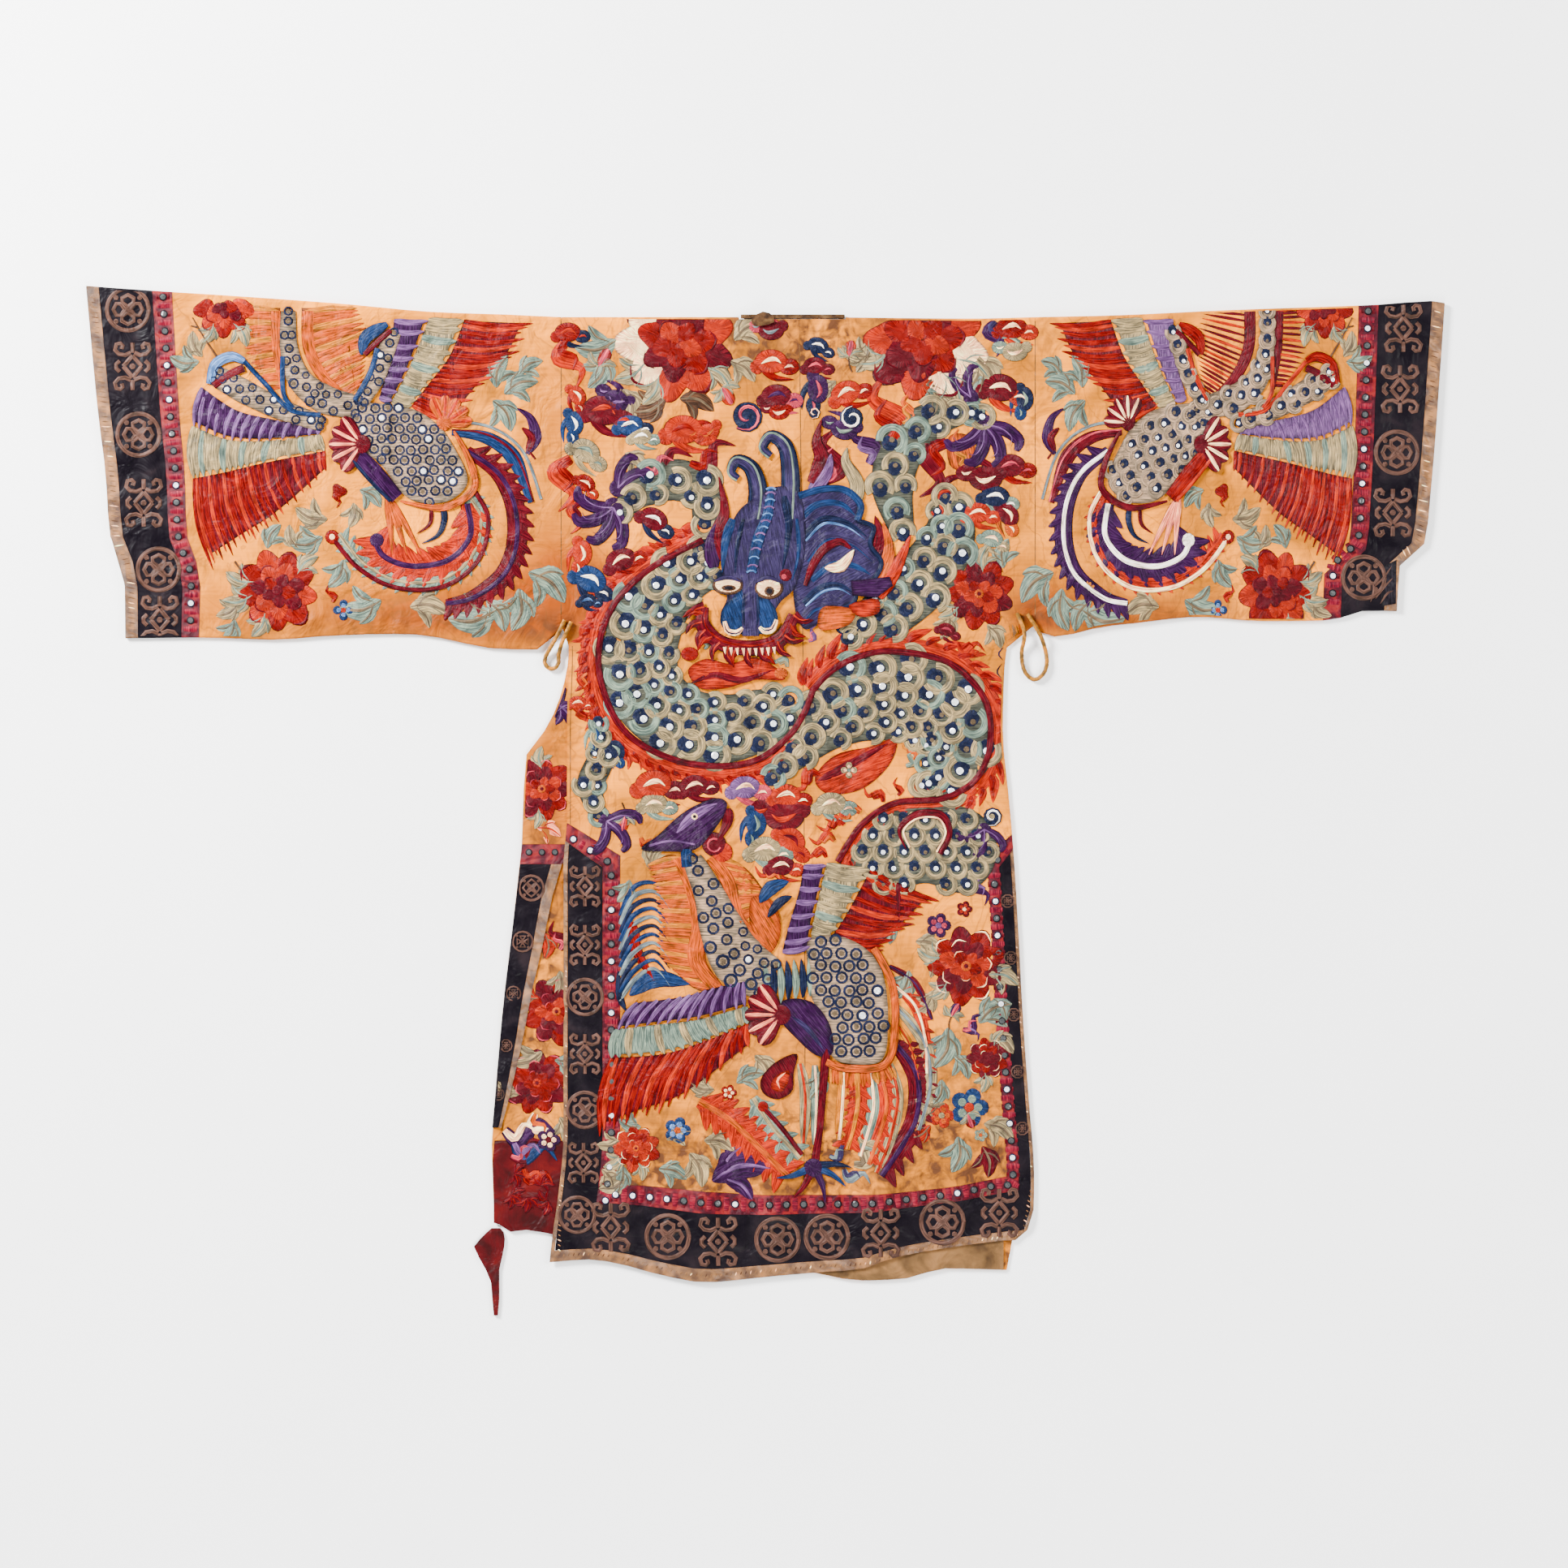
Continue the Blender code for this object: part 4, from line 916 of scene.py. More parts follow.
def smooth_curve(points, count, closed=False):
    """Even steps along a smooth curve through points of any dimension."""
    points = np.asarray(points, float)
    knots = len(points) if closed else len(points) - 1
    at = np.arange(count) / (count if closed else count - 1) * knots
    k = np.minimum(at.astype(int), knots - 1)
    t = (at - k)[:, None]
    a, b, c, d = (
        points[(k + m) % len(points) if closed else np.clip(k + m, 0, len(points) - 1)]
        for m in (-1, 0, 1, 2)
    )
    return 0.5 * (
        2 * b + (c - a) * t + (2 * a - 5 * b + 4 * c - d) * t * t
        + (3 * b - a - 3 * c + d) * t ** 3
    )


def length_of(line):
    """Length of a line through points."""
    return np.linalg.norm(np.diff(line, axis=0), axis=1).sum()


def run_along(line):
    """Distance along a line at each of its points."""
    return np.concatenate(([0.0], np.cumsum(np.linalg.norm(np.diff(line, axis=0), axis=1))))


def add_cord(name, route, finish):
    """A button loop of twisted cord, from the body and back into it."""
    path = smooth_curve(route, CORD_POINTS)
    count = CORD_SECTIONS * CORD_POINTS
    line = smooth_curve(path, count)
    ahead = np.gradient(line, axis=0)
    ahead /= np.linalg.norm(ahead, axis=1)[:, None]
    side = np.cross(ahead, (0, 0, 1.0))
    side /= np.linalg.norm(side, axis=1)[:, None]
    up = np.cross(side, ahead)
    turn = np.arange(CORD_SIDES) / CORD_SIDES * math.tau
    phase = CORD_STRANDS * (turn[None] + run_along(line)[:, None] / TWIST_PITCH * math.tau)
    radius = CORD_RADIUS * (1 - STRAND_DEPTH + STRAND_DEPTH * np.abs(np.cos(phase / 2)))
    rings = line[:, None] + radius[..., None] * (
        np.cos(turn)[None, :, None] * side[:, None] + np.sin(turn)[None, :, None] * up[:, None]
    )
    faces = []
    for n in range(count - 1):
        for m in range(CORD_SIDES):
            after = (m + 1) % CORD_SIDES
            low, high = n * CORD_SIDES, (n + 1) * CORD_SIDES
            faces.append((low + m, low + after, high + after, high + m))
    faces.append(tuple(reversed(range(CORD_SIDES))))
    faces.append(tuple(range((count - 1) * CORD_SIDES, count * CORD_SIDES)))
    made = add_mesh(f"{name}_cord", rings.reshape(-1, 3), faces, [finish])
    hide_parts(name)
    length_of(path) * MM
    return made


# ---------------------------------------------------------------- finishes

STITCH_MAP = "stitch"    # UV map of the embroidery: along and across the stitches, in millimetres
HALF_TONE = 0.045        # albedo that shows half as bright as white, under these lights
TONE_POWER = 1.136       # steepness of its curve
TONE_LEAK = (0.07, 0.05)   # share of each channel that it mixes into the others, after and before
DARKEST, PALEST = 0.0004, 0.85
SHOWN_RANGE = (0.004, 0.97)   # colours are kept within this before that


def linear(code):
    """Albedo that looks like a hexadecimal colour in the render: the view transform undone."""
    shown = np.array([int(code[n:n + 2], 16) / 255 for n in (0, 2, 4)])
    after, before = TONE_LEAK
    shown = np.clip(shown + after * (shown.sum() - 3 * shown), *SHOWN_RANGE)
    dye = HALF_TONE * (shown / (1 - shown)) ** TONE_POWER
    dye = (dye - before * dye.sum()) / (1 - 3 * before)
    return (*(float(part) for part in np.clip(dye, DARKEST, PALEST)), 1.0)


PUCKERS_PER_METRE = 24.0
PUCKER_DEPTH = 9.0       # millimetres


class Finish:
    """A procedural material that is put together node by node."""

    def __init__(self, name, **sockets):
        self.material = bpy.data.materials.new(name)
        self.material.use_nodes = True
        self.tree = self.material.node_tree
        self.shader = self.tree.nodes["Principled BSDF"]
        for socket, value in sockets.items():
            self.shader.inputs[socket.replace("_", " ")].default_value = value

    def feed(self, node, socket, value):
        """Gives a socket another node's output, a value, or a colour by its code."""
        if isinstance(value, bpy.types.NodeSocket):
            self.tree.links.new(value, node.inputs[socket])
        else:
            node.inputs[socket].default_value = linear(value) if isinstance(value, str) else value

    def add(self, kind, inputs=(), **settings):
        """New node of a kind, with its settings and what goes into its sockets."""
        node = self.tree.nodes.new(f"ShaderNode{kind}")
        for name, value in settings.items():
            setattr(node, name, value)
        for socket, value in dict(inputs).items():
            self.feed(node, socket, value)
        return node

    def place(self, scale=(1, 1, 1), turn=0.0, stitches=False):
        """Coordinates on the cloth, or along the stitches."""
        if stitches:
            source = self.add("UVMap", uv_map=STITCH_MAP).outputs["UV"]
        else:
            source = self.add("TexCoord").outputs["Object"]
        inputs = {"Vector": source, "Scale": scale, "Rotation": (0, 0, math.radians(turn))}
        return self.add("Mapping", inputs).outputs["Vector"]

    def noise(self, vector, scale=1.0, detail=2.0, distortion=0.0):
        """Noise at a place that is already worked out."""
        inputs = {"Vector": vector, "Scale": scale, "Detail": detail, "Distortion": distortion}
        return self.add("TexNoise", inputs).outputs["Fac"]

    def mottle(self, scale, detail=2.0, distortion=0.0):
        """Noise over the cloth that runs in no direction."""
        return self.noise(self.place(), scale, detail, distortion)

    def wave(self, vector, scale, distortion=0.0, direction="X"):
        """Even bands across one direction, as threads or ribs lie."""
        inputs = {"Vector": vector, "Scale": scale, "Distortion": distortion, "Detail": 1.0}
        return self.add("TexWave", inputs, bands_direction=direction).outputs["Fac"]

    def spot(self, name):
        """Value that is stored at the mesh's points."""
        return self.add("Attribute", attribute_name=name).outputs["Fac"]

    def maths(self, operation, a, b):
        """Result of one operation on two values, each a number or a node's output."""
        return self.add("Math", {0: a, 1: b}, operation=operation).outputs["Value"]

    def ramp(self, value, *stops):
        """Colour along a value; a stop is a position and a colour's code or a grey."""
        node = self.add("ValToRGB", {"Fac": value})
        elements = node.color_ramp.elements
        while len(elements) < len(stops):
            elements.new(0.5)
        for element, (position, colour) in zip(elements, stops):
            element.position = position
            element.color = linear(colour) if isinstance(colour, str) else (colour,) * 3 + (1,)
        return node.outputs["Color"]

    def blend(self, share, a, b, kind="MIX"):
        """Mix of two colours; sockets 0, 6 and 7 are the share and the colours."""
        inputs = {0: share, 6: a, 7: b}
        settings = {"data_type": "RGBA", "blend_type": kind, "clamp_factor": True}
        return self.add("Mix", inputs, **settings).outputs[2]

    def coat(self, colour, roughness=None, height=None, depth=0.5, strength=0.6, puckers=1.0):
        """Joins colour, roughness and a relief of some depth in millimetres to the shader.

        Under the fine relief lie the soft puckers that needlework draws up in thin cloth.
        """
        self.feed(self.shader, "Base Color", colour)
        if roughness is not None:
            self.feed(self.shader, "Roughness", roughness)
        if height is not None:
            soft = self.mottle(PUCKERS_PER_METRE, 3.0, 0.8)
            inputs = {"Height": soft, "Strength": puckers, "Distance": PUCKER_DEPTH * MM}
            under = self.add("Bump", inputs).outputs["Normal"]
            inputs = {"Height": height, "Normal": under, "Strength": strength, "Distance": depth * MM}
            self.feed(self.shader, "Normal", self.add("Bump", inputs).outputs["Normal"])
        return self.material


SILK = "F4CA36"
SILK_PALE = "F8D652"
SILK_DEEP = "E8B222"
SILK_ORANGE = "DC7C00"
# colour of the soil mask, which also paints the shadow on the under-flap
SOIL_AND_SHADOW_COLOUR = "9A5C34"
CREASE_SHADE_AND_STAIN = "B87830"      # painted shade in thin crease lines, partly the silk's discolouring there


def ground_silk():
    """Peach satin: long floats across the cloth, uneven dye, soiling and worn streaks, with painted shade
    in thin crease lines and painted shadow on the under-flap.
    """
    made = Finish("peach_silk", Roughness=0.46, Specular_IOR_Level=0.05)
    floats = made.noise(made.place((60, 1500, 1)), detail=1.0)
    slubs = made.noise(made.place((14, 260, 1)), detail=3.0)
    dye = made.ramp(made.mottle(9.0, 4.0, 0.4), (0.36, SILK_DEEP), (0.5, SILK), (0.64, SILK_PALE))
    grain = made.ramp(slubs, (0.35, 0.86), (0.5, 0.97), (0.68, 1.04))
    colour = made.blend(1.0, dye, grain, "MULTIPLY")
    colour = made.blend(made.spot("tint"), colour, SILK_ORANGE)
    # painted shade: thin crossing lines are darkened as creases, partly the silk's discolouring in them
    crease_shade_noise = made.noise(made.place((1, 0.6, 1)), 13.0, 3.0, 1.4)
    lines = made.ramp(crease_shade_noise, (0.475, 0.0), (0.498, 0.42), (0.502, 0.42), (0.525, 0.0))
    colour = made.blend(lines, colour, CREASE_SHADE_AND_STAIN)
    # soiling, and painted shadow on the under-flap, laid on in one colour
    patches = made.ramp(made.mottle(60.0, 4.0, 0.6), (0.36, 0.2), (0.62, 1.0))
    soil_and_shadow_share = made.maths("MULTIPLY", made.spot("soil_and_shadow"), patches)
    colour = made.blend(soil_and_shadow_share, colour, SOIL_AND_SHADOW_COLOUR)
    weave = made.maths("ADD", floats, made.maths("MULTIPLY", slubs, 0.8))
    rough = made.ramp(slubs, (0.3, 0.42), (0.7, 0.6))
    return made.coat(colour, rough, weave, 0.25, 0.5)


def black_satin():
    """Black satin of the borders, browned where it is rubbed."""
    made = Finish("black_satin", Specular_IOR_Level=0.05)
    floats = made.noise(made.place((1500, 70, 1)), detail=1.0)
    rub = made.mottle(26.0, 4.0, 0.5)
    colour = made.ramp(rub, (0.36, "120C16"), (0.55, "1E1620"), (0.76, "3A2830"))
    specks = made.ramp(made.mottle(420.0), (0.7, 0.0), (0.8, 0.35))
    colour = made.blend(specks, colour, "6A5560")
    return made.coat(colour, made.ramp(rub, (0.3, 0.36), (0.7, 0.58)), floats, 0.2, 0.5)


def pink_band():
    """Woven ribbon in coral and crimson blocks under the mirrors."""
    made = Finish("pink_band", Roughness=0.5, Specular_IOR_Level=0.1)
    blocks = made.mottle(75.0, 1.0, 0.2)
    ribs = made.wave(made.place(turn=45.0), 190.0, 1.5)
    colour = made.ramp(blocks, (0.38, "740820"), (0.5, "A81830"), (0.62, "D0383C"))
    colour = made.blend(0.8, colour, made.ramp(ribs, (0.2, 0.72), (0.7, 1.05)), "MULTIPLY")
    return made.coat(colour, None, ribs, 0.4, 0.6)


def metal_piping():
    """Couched gold thread, laid side by side and gone brown."""
    made = Finish("metal_piping", Roughness=0.42, Specular_IOR_Level=0.2)
    twist = made.wave(made.place(turn=35.0), 230.0, 1.2)
    wear = made.mottle(60.0, 4.0, 0.4)
    colour = made.ramp(wear, (0.34, "8C5838"), (0.5, "BE8E58"), (0.68, "DCB47C"))
    colour = made.blend(0.85, colour, made.ramp(twist, (0.15, 0.62), (0.6, 1.06)), "MULTIPLY")
    return made.coat(colour, None, twist, 0.5, 0.8)


def red_silk():
    """Deep red silk of the under-flap's hem and of the tie."""
    made = Finish("red_silk", Roughness=0.45, Specular_IOR_Level=0.12)
    floats = made.noise(made.place((70, 1200, 1)), detail=2.0)
    cloud = made.mottle(30.0, 4.0, 0.5)
    colour = made.ramp(cloud, (0.35, "580408"), (0.5, "860810"), (0.7, "A81818"))
    return made.coat(colour, None, floats, 0.25, 0.6)


def tan_lining():
    """Plain-woven cotton lining, brown with age along the hem."""
    made = Finish("tan_lining", Roughness=0.85, Specular_IOR_Level=0.1)
    warp, weft = (made.wave(made.place(), 330.0, 1.5, direction) for direction in "XY")
    age = made.mottle(28.0, 5.0, 0.6)
    colour = made.ramp(age, (0.34, "805830"), (0.5, "AC824C"), (0.68, "C8A068"))
    return made.coat(colour, None, made.maths("ADD", warp, weft), 0.3, 0.5)


def neck_tape():
    """Brown ribbed tape of the neck's binding."""
    made = Finish("neck_tape", Roughness=0.85, Specular_IOR_Level=0.1)
    ribs = made.wave(made.place(), 300.0, 2.0)
    wear = made.mottle(90.0, 4.0, 0.4)
    colour = made.ramp(wear, (0.34, "4A2818"), (0.5, "84542C"), (0.7, "B08650"))
    return made.coat(colour, None, ribs, 0.4, 0.6)


def gold_cord():
    """Yellow silk cord of the button loops."""
    made = Finish("gold_cord", Roughness=0.55, Specular_IOR_Level=0.2)
    fibres, wear = made.mottle(900.0), made.mottle(120.0, 3.0)
    colour = made.ramp(wear, (0.34, "A06C14"), (0.5, "D4A028"), (0.68, "ECC050"))
    return made.coat(colour, None, fibres, 0.3, 0.6)


THREADS = {  # name: dark, middle and light shade of the floss
    "coral": ("A82414", "DC4028", "F06844"),
    "red": ("780608", "BC140E", "DC3420"),
    "crimson": ("50060E", "8E0C1C", "B02030"),
    "rose": ("B03050", "DC5A74", "F0909C"),
    "blush": ("D88C78", "F0BCA4", "F8DCC8"),
    "purple": ("260834", "460C54", "6A3078"),
    "violet": ("2C2250", "40306C", "625090"),
    "lilac": ("6E4080", "9668A4", "BC90C4"),
    "sage": ("8C7E60", "BEAE88", "DCCEAA"),
    "mint": ("6C8478", "9CAEA0", "C0CABA"),
    "grey": ("707E86", "98A4A8", "BCC6C6"),
    "navy": ("0A1030", "182250", "303E78"),
    "blue": ("102860", "1C4288", "3C68AE"),
    "sky": ("4A78B0", "7EA6D0", "B4CCE4"),
    "orange": ("A45000", "E67C00", "F89E00"),
    "yellow": ("B88000", "E8A808", "F4C430"),
    "amber": ("8C4400", "C26A00", "E48A00"),
    "stone": ("94846C", "C0AC92", "DCCAB4"),
    "seam": ("8A5A28", "B07A40", "C89458"),
    "pink": ("84102C", "B81C3C", "D84860"),
    "cream": ("D8B898", "F0DDC8", "FAF0E2"),
    "white": ("C8C2BC", "ECE8E2", "FAF8F4"),
    "gold": ("8A6038", "B88A58", "D8B080"),
    "ornament": ("64402F", "8A5C4C", "A87A68"),
    "black": ("0E0A12", "1D1622", "3A3040"),
    "tan": ("705C46", "9A8262", "B8A07C"),
    "brown": ("4A2A1A", "7A4A30", "A06C48"),
    "moss": ("4A4C40", "70725F", "908F7A"),
}
RIM_PAINTED_SHADE = 0.26         # how dark the rim of a stitched shape is painted: its dark outline and painted shade at its raised edge
FLOSS = {}               # thread materials made so far


def floss(name):
    """Untwisted silk in satin stitch: streaks and a relief along the stitches, and painted shade at the rim
    of each shape.
    """
    if name not in FLOSS:
        dark, middle, light = THREADS[name]
        made = Finish(f"floss_{name}", Roughness=0.38, Specular_IOR_Level=0.06)
        stitches = made.noise(made.place((0.05, 0.55, 1), stitches=True))
        strands = made.noise(made.place((0.08, 1.6, 1), stitches=True), detail=1.0)
        fading = made.maths("MULTIPLY", made.mottle(42.0), 0.25)
        mixed = made.maths("ADD", made.maths("MULTIPLY", stitches, 0.75), fading)
        colour = made.ramp(mixed, (0.38, dark), (0.49, middle), (0.62, light))
        # painted shade: each shape's rim is darkened, partly as its dark outline and partly as the shade at
        # its raised edge
        outline = made.ramp(made.spot("rim"), (0.2, 1.0), (0.85, RIM_PAINTED_SHADE))
        colour = made.blend(1.0, colour, outline, "MULTIPLY")
        relief = made.maths("ADD", strands, stitches)
        FLOSS[name] = made.coat(colour, None, relief, 0.7, 0.9)
    return FLOSS[name]


def mirror(name, face, rim):
    """Little mirror disc: bright face, with tarnish spots."""
    made = Finish(name, Metallic=0.35, Roughness=0.25)
    tarnish = made.mottle(500.0, 3.0)
    colour = made.ramp(tarnish, (0.36, rim), (0.5, face))
    rough = made.ramp(tarnish, (0.4, 0.4), (0.6, 0.16))
    return made.coat(colour, rough, tarnish, 0.1, 0.3)


# ---------------------------------------------------------------- embroidery kit

LIFT = 0.32              # height of one layer of embroidery over the one below, in mm
CROWN = 0.5              # how far satin stitches swell, in mm
EDGE_CROWN = 0.62 * CROWN   # and near their ends
SINK = 0.5               # how far a shape's rim reaches down into the cloth, in mm
ACROSS = (-1.0, -0.78, 0.0, 0.78, 1.0)
ACROSS_LIFT = (-SINK, EDGE_CROWN, CROWN, EDGE_CROWN, -SINK)
ACROSS_RIM = (1, 0, 0, 0, 1)
STRAND_STEP = 5.0        # pixels between sections of a strand
PATCH_STEP = 6.0         # pixels between points on a patch's outline
PATCH_GRID = 9.0         # and inside it
PATCH_CLEARANCE = 0.45 * PATCH_GRID   # of the inner points from the outline
PATCH_RIM = 0.8          # how far the painted outline shade reaches a patch's own edge
DISC_RINGS = (0.55, 0.88, 1.0)   # shares of a disc's radius
DISC_CROWN = (CROWN, 0.7 * CROWN, -SINK)   # height of each ring
DISC_SIDES = 1.1         # sides per pixel of radius
RING_STEP = 24           # degrees between sections of a ring
EDGE_MARGIN = 3.0        # motifs stay this far inside the edges of their cloth, in mm
FOLD_MARGIN = 3.5        # motifs are cut this far short of the shoulder fold, in mm
LEAST_MOVE = 0.01        # a point moved further than this lay beyond its cloth, in mm
SLEEVE_REACH = 180       # y above which a place beyond the armhole belongs to a sleeve
MAP_SPREAD = 900         # shapes lie this far apart in the stitch map

FEATHER = (0.5, 0.95, 1.0, 0.95, 0.7, 0.12)
LEAF = (0.1, 0.75, 1.0, 0.7, 0.05)
SLIT = (0.1, 0.7, 1.0, 0.5, 0.05)
FLAME = (0.6, 1.0, 0.85, 0.5, 0.06)
RIBBON = (1.0, 1.0)
TALON = (1.0, 0.75, 0.45, 0.08)
TOE = (0.75, 1.0, 0.85, 0.35)
DROP = (0.2, 0.7, 1.0, 0.9, 0.35)


def turned(points, angle):
    """Points turned clockwise by an angle in degrees, as seen in the photograph."""
    turn = math.radians(angle)
    x, y = np.asarray(points, float).T
    turned_x = x * math.cos(turn) - y * math.sin(turn)
    return np.stack([turned_x, x * math.sin(turn) + y * math.cos(turn)], 1)


def inside(points, outline):
    """Which points lie inside a closed outline."""
    x, y = points[:, :1], points[:, 1:]
    ax, ay = outline.T
    bx, by = np.roll(outline, -1, 0).T
    crosses = (ay > y) != (by > y)
    rise = np.where(by == ay, 1e-9, by - ay)
    return (crosses & (x < (bx - ax) * (y - ay) / rise + ax)).sum(1) % 2 == 1


def held_in(surface, x, y):
    """Places drawn in to the outline of the cloth that a motif is sewn to."""
    y = np.minimum(y, read(TOP_EDGE, x) - FOLD_MARGIN)
    if surface is not front_surface:
        return np.maximum(x, read(BACK_LEFT_EDGE, y) + EDGE_MARGIN), y
    on_left = (x < LEFT_ARMHOLE) & (y > SLEEVE_REACH)
    on_right = (x > RIGHT_ARMHOLE) & (y > SLEEVE_REACH)
    y = np.where(on_left, np.maximum(y, read(LEFT_SLEEVE_BOTTOM, x) + EDGE_MARGIN), y)
    y = np.where(on_right, np.maximum(y, read(RIGHT_SLEEVE_BOTTOM, x) + EDGE_MARGIN), y)
    on_body = ~(on_left | on_right) & (y < ARMPIT)
    left, right = read(FRONT_LEFT_EDGE, y) + EDGE_MARGIN, read(FRONT_RIGHT_EDGE, y) - EDGE_MARGIN
    return np.where(on_body, np.clip(x, left, right), x), y


def distance_to(points, line):
    """Distance from each point to the nearest of a line's points."""
    return np.sqrt(((points[:, None] - line[None]) ** 2).sum(2)).min(1)


def directions(line):
    """Unit vectors ahead and to the side at each point of a line."""
    ahead = np.gradient(line, axis=0)
    ahead /= np.maximum(np.linalg.norm(ahead, axis=1), 1e-6)[:, None]
    return ahead, np.stack([-ahead[:, 1], ahead[:, 0]], 1)


class Motif:
    """One embroidered motif: gathers stitched shapes in pixels, then lays them on the cloth.

    mirror turns it over from left to right; dress says which colours stand for others.
    """

    def __init__(self, name, surface=front_surface, mirror=None, dress=None):
        self.name, self.surface, self.mirror, self.dress = name, surface, mirror, dress or {}
        self.points, self.lifts, self.maps, self.rims = [], [], [], []
        self.faces, self.slots, self.colours = [], [], []
        self.count = 0
        self.chance = random.Random(name)

    def put(self, points, lifts, stitches, faces, colour, rims):
        """Adds a shape of one colour; rims says where its outline is, which the floss darkens with painted
        shade.
        """
        colour = self.dress.get(colour, colour)
        if colour not in self.colours:
            self.colours.append(colour)
        drift = (self.chance.uniform(0, MAP_SPREAD), self.chance.uniform(0, MAP_SPREAD))
        self.points.append(np.asarray(points, float))
        self.lifts.append(np.asarray(lifts, float))
        self.maps.append(np.asarray(stitches, float) + drift)
        self.rims.append(np.asarray(rims, float))
        step = -1 if self.mirror else 1
        self.faces += [tuple(self.count + n for n in face[::step]) for face in faces]
        self.slots += [self.colours.index(colour)] * len(faces)
        self.count += len(points)

    def strand(self, route, width, colour, level=0, shape=RIBBON, across=False, step=STRAND_STEP):
        """Satin-stitched band along a smooth line; shape gives its width along it."""
        length = length_of(route)
        count = max(4, int(length / step) + 2)
        line = smooth_curve(route, count)
        side = directions(line)[1]
        along = np.linspace(0, 1, count)
        half = np.interp(along, np.linspace(0, 1, len(shape)), shape) * width / 2
        reach = half[:, None] * np.array(ACROSS)[None]
        points = line[:, None] + side[:, None] * reach[..., None]
        lifts = np.tile(np.array(ACROSS_LIFT) + level * LIFT, (count, 1))
        run = np.tile((along * length)[:, None], (1, len(ACROSS)))
        stitches = np.stack([reach, run] if across else [run, reach], 2) * PIXEL
        columns = len(ACROSS)
        faces = [
            (n * columns + m, n * columns + m + 1, (n + 1) * columns + m + 1, (n + 1) * columns + m)
            for n in range(count - 1) for m in range(columns - 1)
        ]
        rims = np.tile(ACROSS_RIM, count)
        self.put(points.reshape(-1, 2), lifts.ravel(), stitches.reshape(-1, 2), faces, colour, rims)

    def patch(self, outline, colour, level=0, grain=0.0, smooth=True):
        """Filled shape inside an outline; grain is the angle of its stitches."""
        outline = np.asarray(outline, float)
        length = np.linalg.norm(np.diff(outline, axis=0, append=outline[:1]), axis=1).sum()
        count = max(len(outline) * (2 if smooth else 1), int(length / PATCH_STEP))
        rim = smooth_curve(outline, count, closed=True) if smooth else outline
        area = (rim[:, 0] * np.roll(rim[:, 1], -1) - rim[:, 1] * np.roll(rim[:, 0], -1)).sum()
        if area < 0:
            rim = rim[::-1]
        low, high = rim.min(0), rim.max(0)
        xs = np.arange(low[0], high[0], PATCH_GRID)
        ys = np.arange(low[1], high[1], PATCH_GRID)
        grid = np.stack(np.meshgrid(xs, ys), 2).reshape(-1, 2)
        if len(grid):
            grid = grid[inside(grid, rim) & (distance_to(grid, rim) > PATCH_CLEARANCE)]
        seeds = [tuple(p) for p in rim] + [tuple(p) for p in grid]
        edges = [(n, (n + 1) % len(rim)) for n in range(len(rim))]
        found = geometry.delaunay_2d_cdt(
            [Vector(p) for p in seeds], edges, [list(range(len(rim)))], 1, 1e-4
        )
        points = np.array([tuple(p) for p in found[0]])
        lifts = np.full(len(points), CROWN)
        lifts[:len(rim)] = EDGE_CROWN
        faces = [tuple(reversed(face)) for face in found[2]]
        rims = (np.arange(len(points)) < len(rim)) * PATCH_RIM
        self.put(points, lifts + level * LIFT, turned(points, -grain) * PIXEL, faces, colour, rims)
        skirt = np.concatenate([rim, rim])
        size = len(rim)
        lifts = np.repeat([EDGE_CROWN, -SINK], size) + level * LIFT
        faces = [(n, (n + 1) % size, (n + 1) % size + size, n + size) for n in range(size)]
        self.put(skirt, lifts, turned(skirt, -grain) * PIXEL, faces, colour, np.ones(len(skirt)))

    def disc(self, x, y, radius, colour, level=0, squash=1.0, sides=None, lobes=0, depth=0.2,
             turn=0.0):
        """Round shape, lobed like a flower where it has lobes."""
        sides = sides or max(10, 6 * lobes, int(radius * DISC_SIDES))
        angle = np.arange(sides) / sides * math.tau
        edge = radius * (1 + depth * np.cos(lobes * angle) * (lobes > 0))
        rim = np.stack([edge * np.cos(angle), squash * edge * np.sin(angle)], 1)
        rings = [turned(rim * share, turn) + (x, y) for share in DISC_RINGS]
        points = np.concatenate([[(x, y)], *rings])
        lifts = np.concatenate([[CROWN], *(np.full(sides, height) for height in DISC_CROWN)])
        radial = np.concatenate([[0.0], *(np.full(sides, radius * share) for share in DISC_RINGS)])
        around = np.concatenate([[0.0], *(angle * radius for _ in range(3))])
        faces = [(0, 1 + (n + 1) % sides, 1 + n) for n in range(sides)]
        for ring in range(2):
            low, high = 1 + ring * sides, 1 + (ring + 1) * sides
            for n in range(sides):
                m = (n + 1) % sides
                faces.append((low + n, low + m, high + m, high + n))
        stitches = np.stack([radial, around], 1) * PIXEL
        rims = np.arange(len(points)) > 2 * sides
        self.put(points, lifts + level * LIFT, stitches, faces, colour, rims)

    def ring(self, x, y, radius, width, colour, level=0, start=0, end=360, turn=0.0):
        """Couched line round a centre, from one angle to another."""
        count = max(5, int(abs(end - start) / RING_STEP) + 2)
        angle = np.radians(np.linspace(start, end, count))
        line = np.stack([radius * np.cos(angle), radius * np.sin(angle)], 1)
        self.strand(turned(line, turn) + (x, y), width, colour, level)

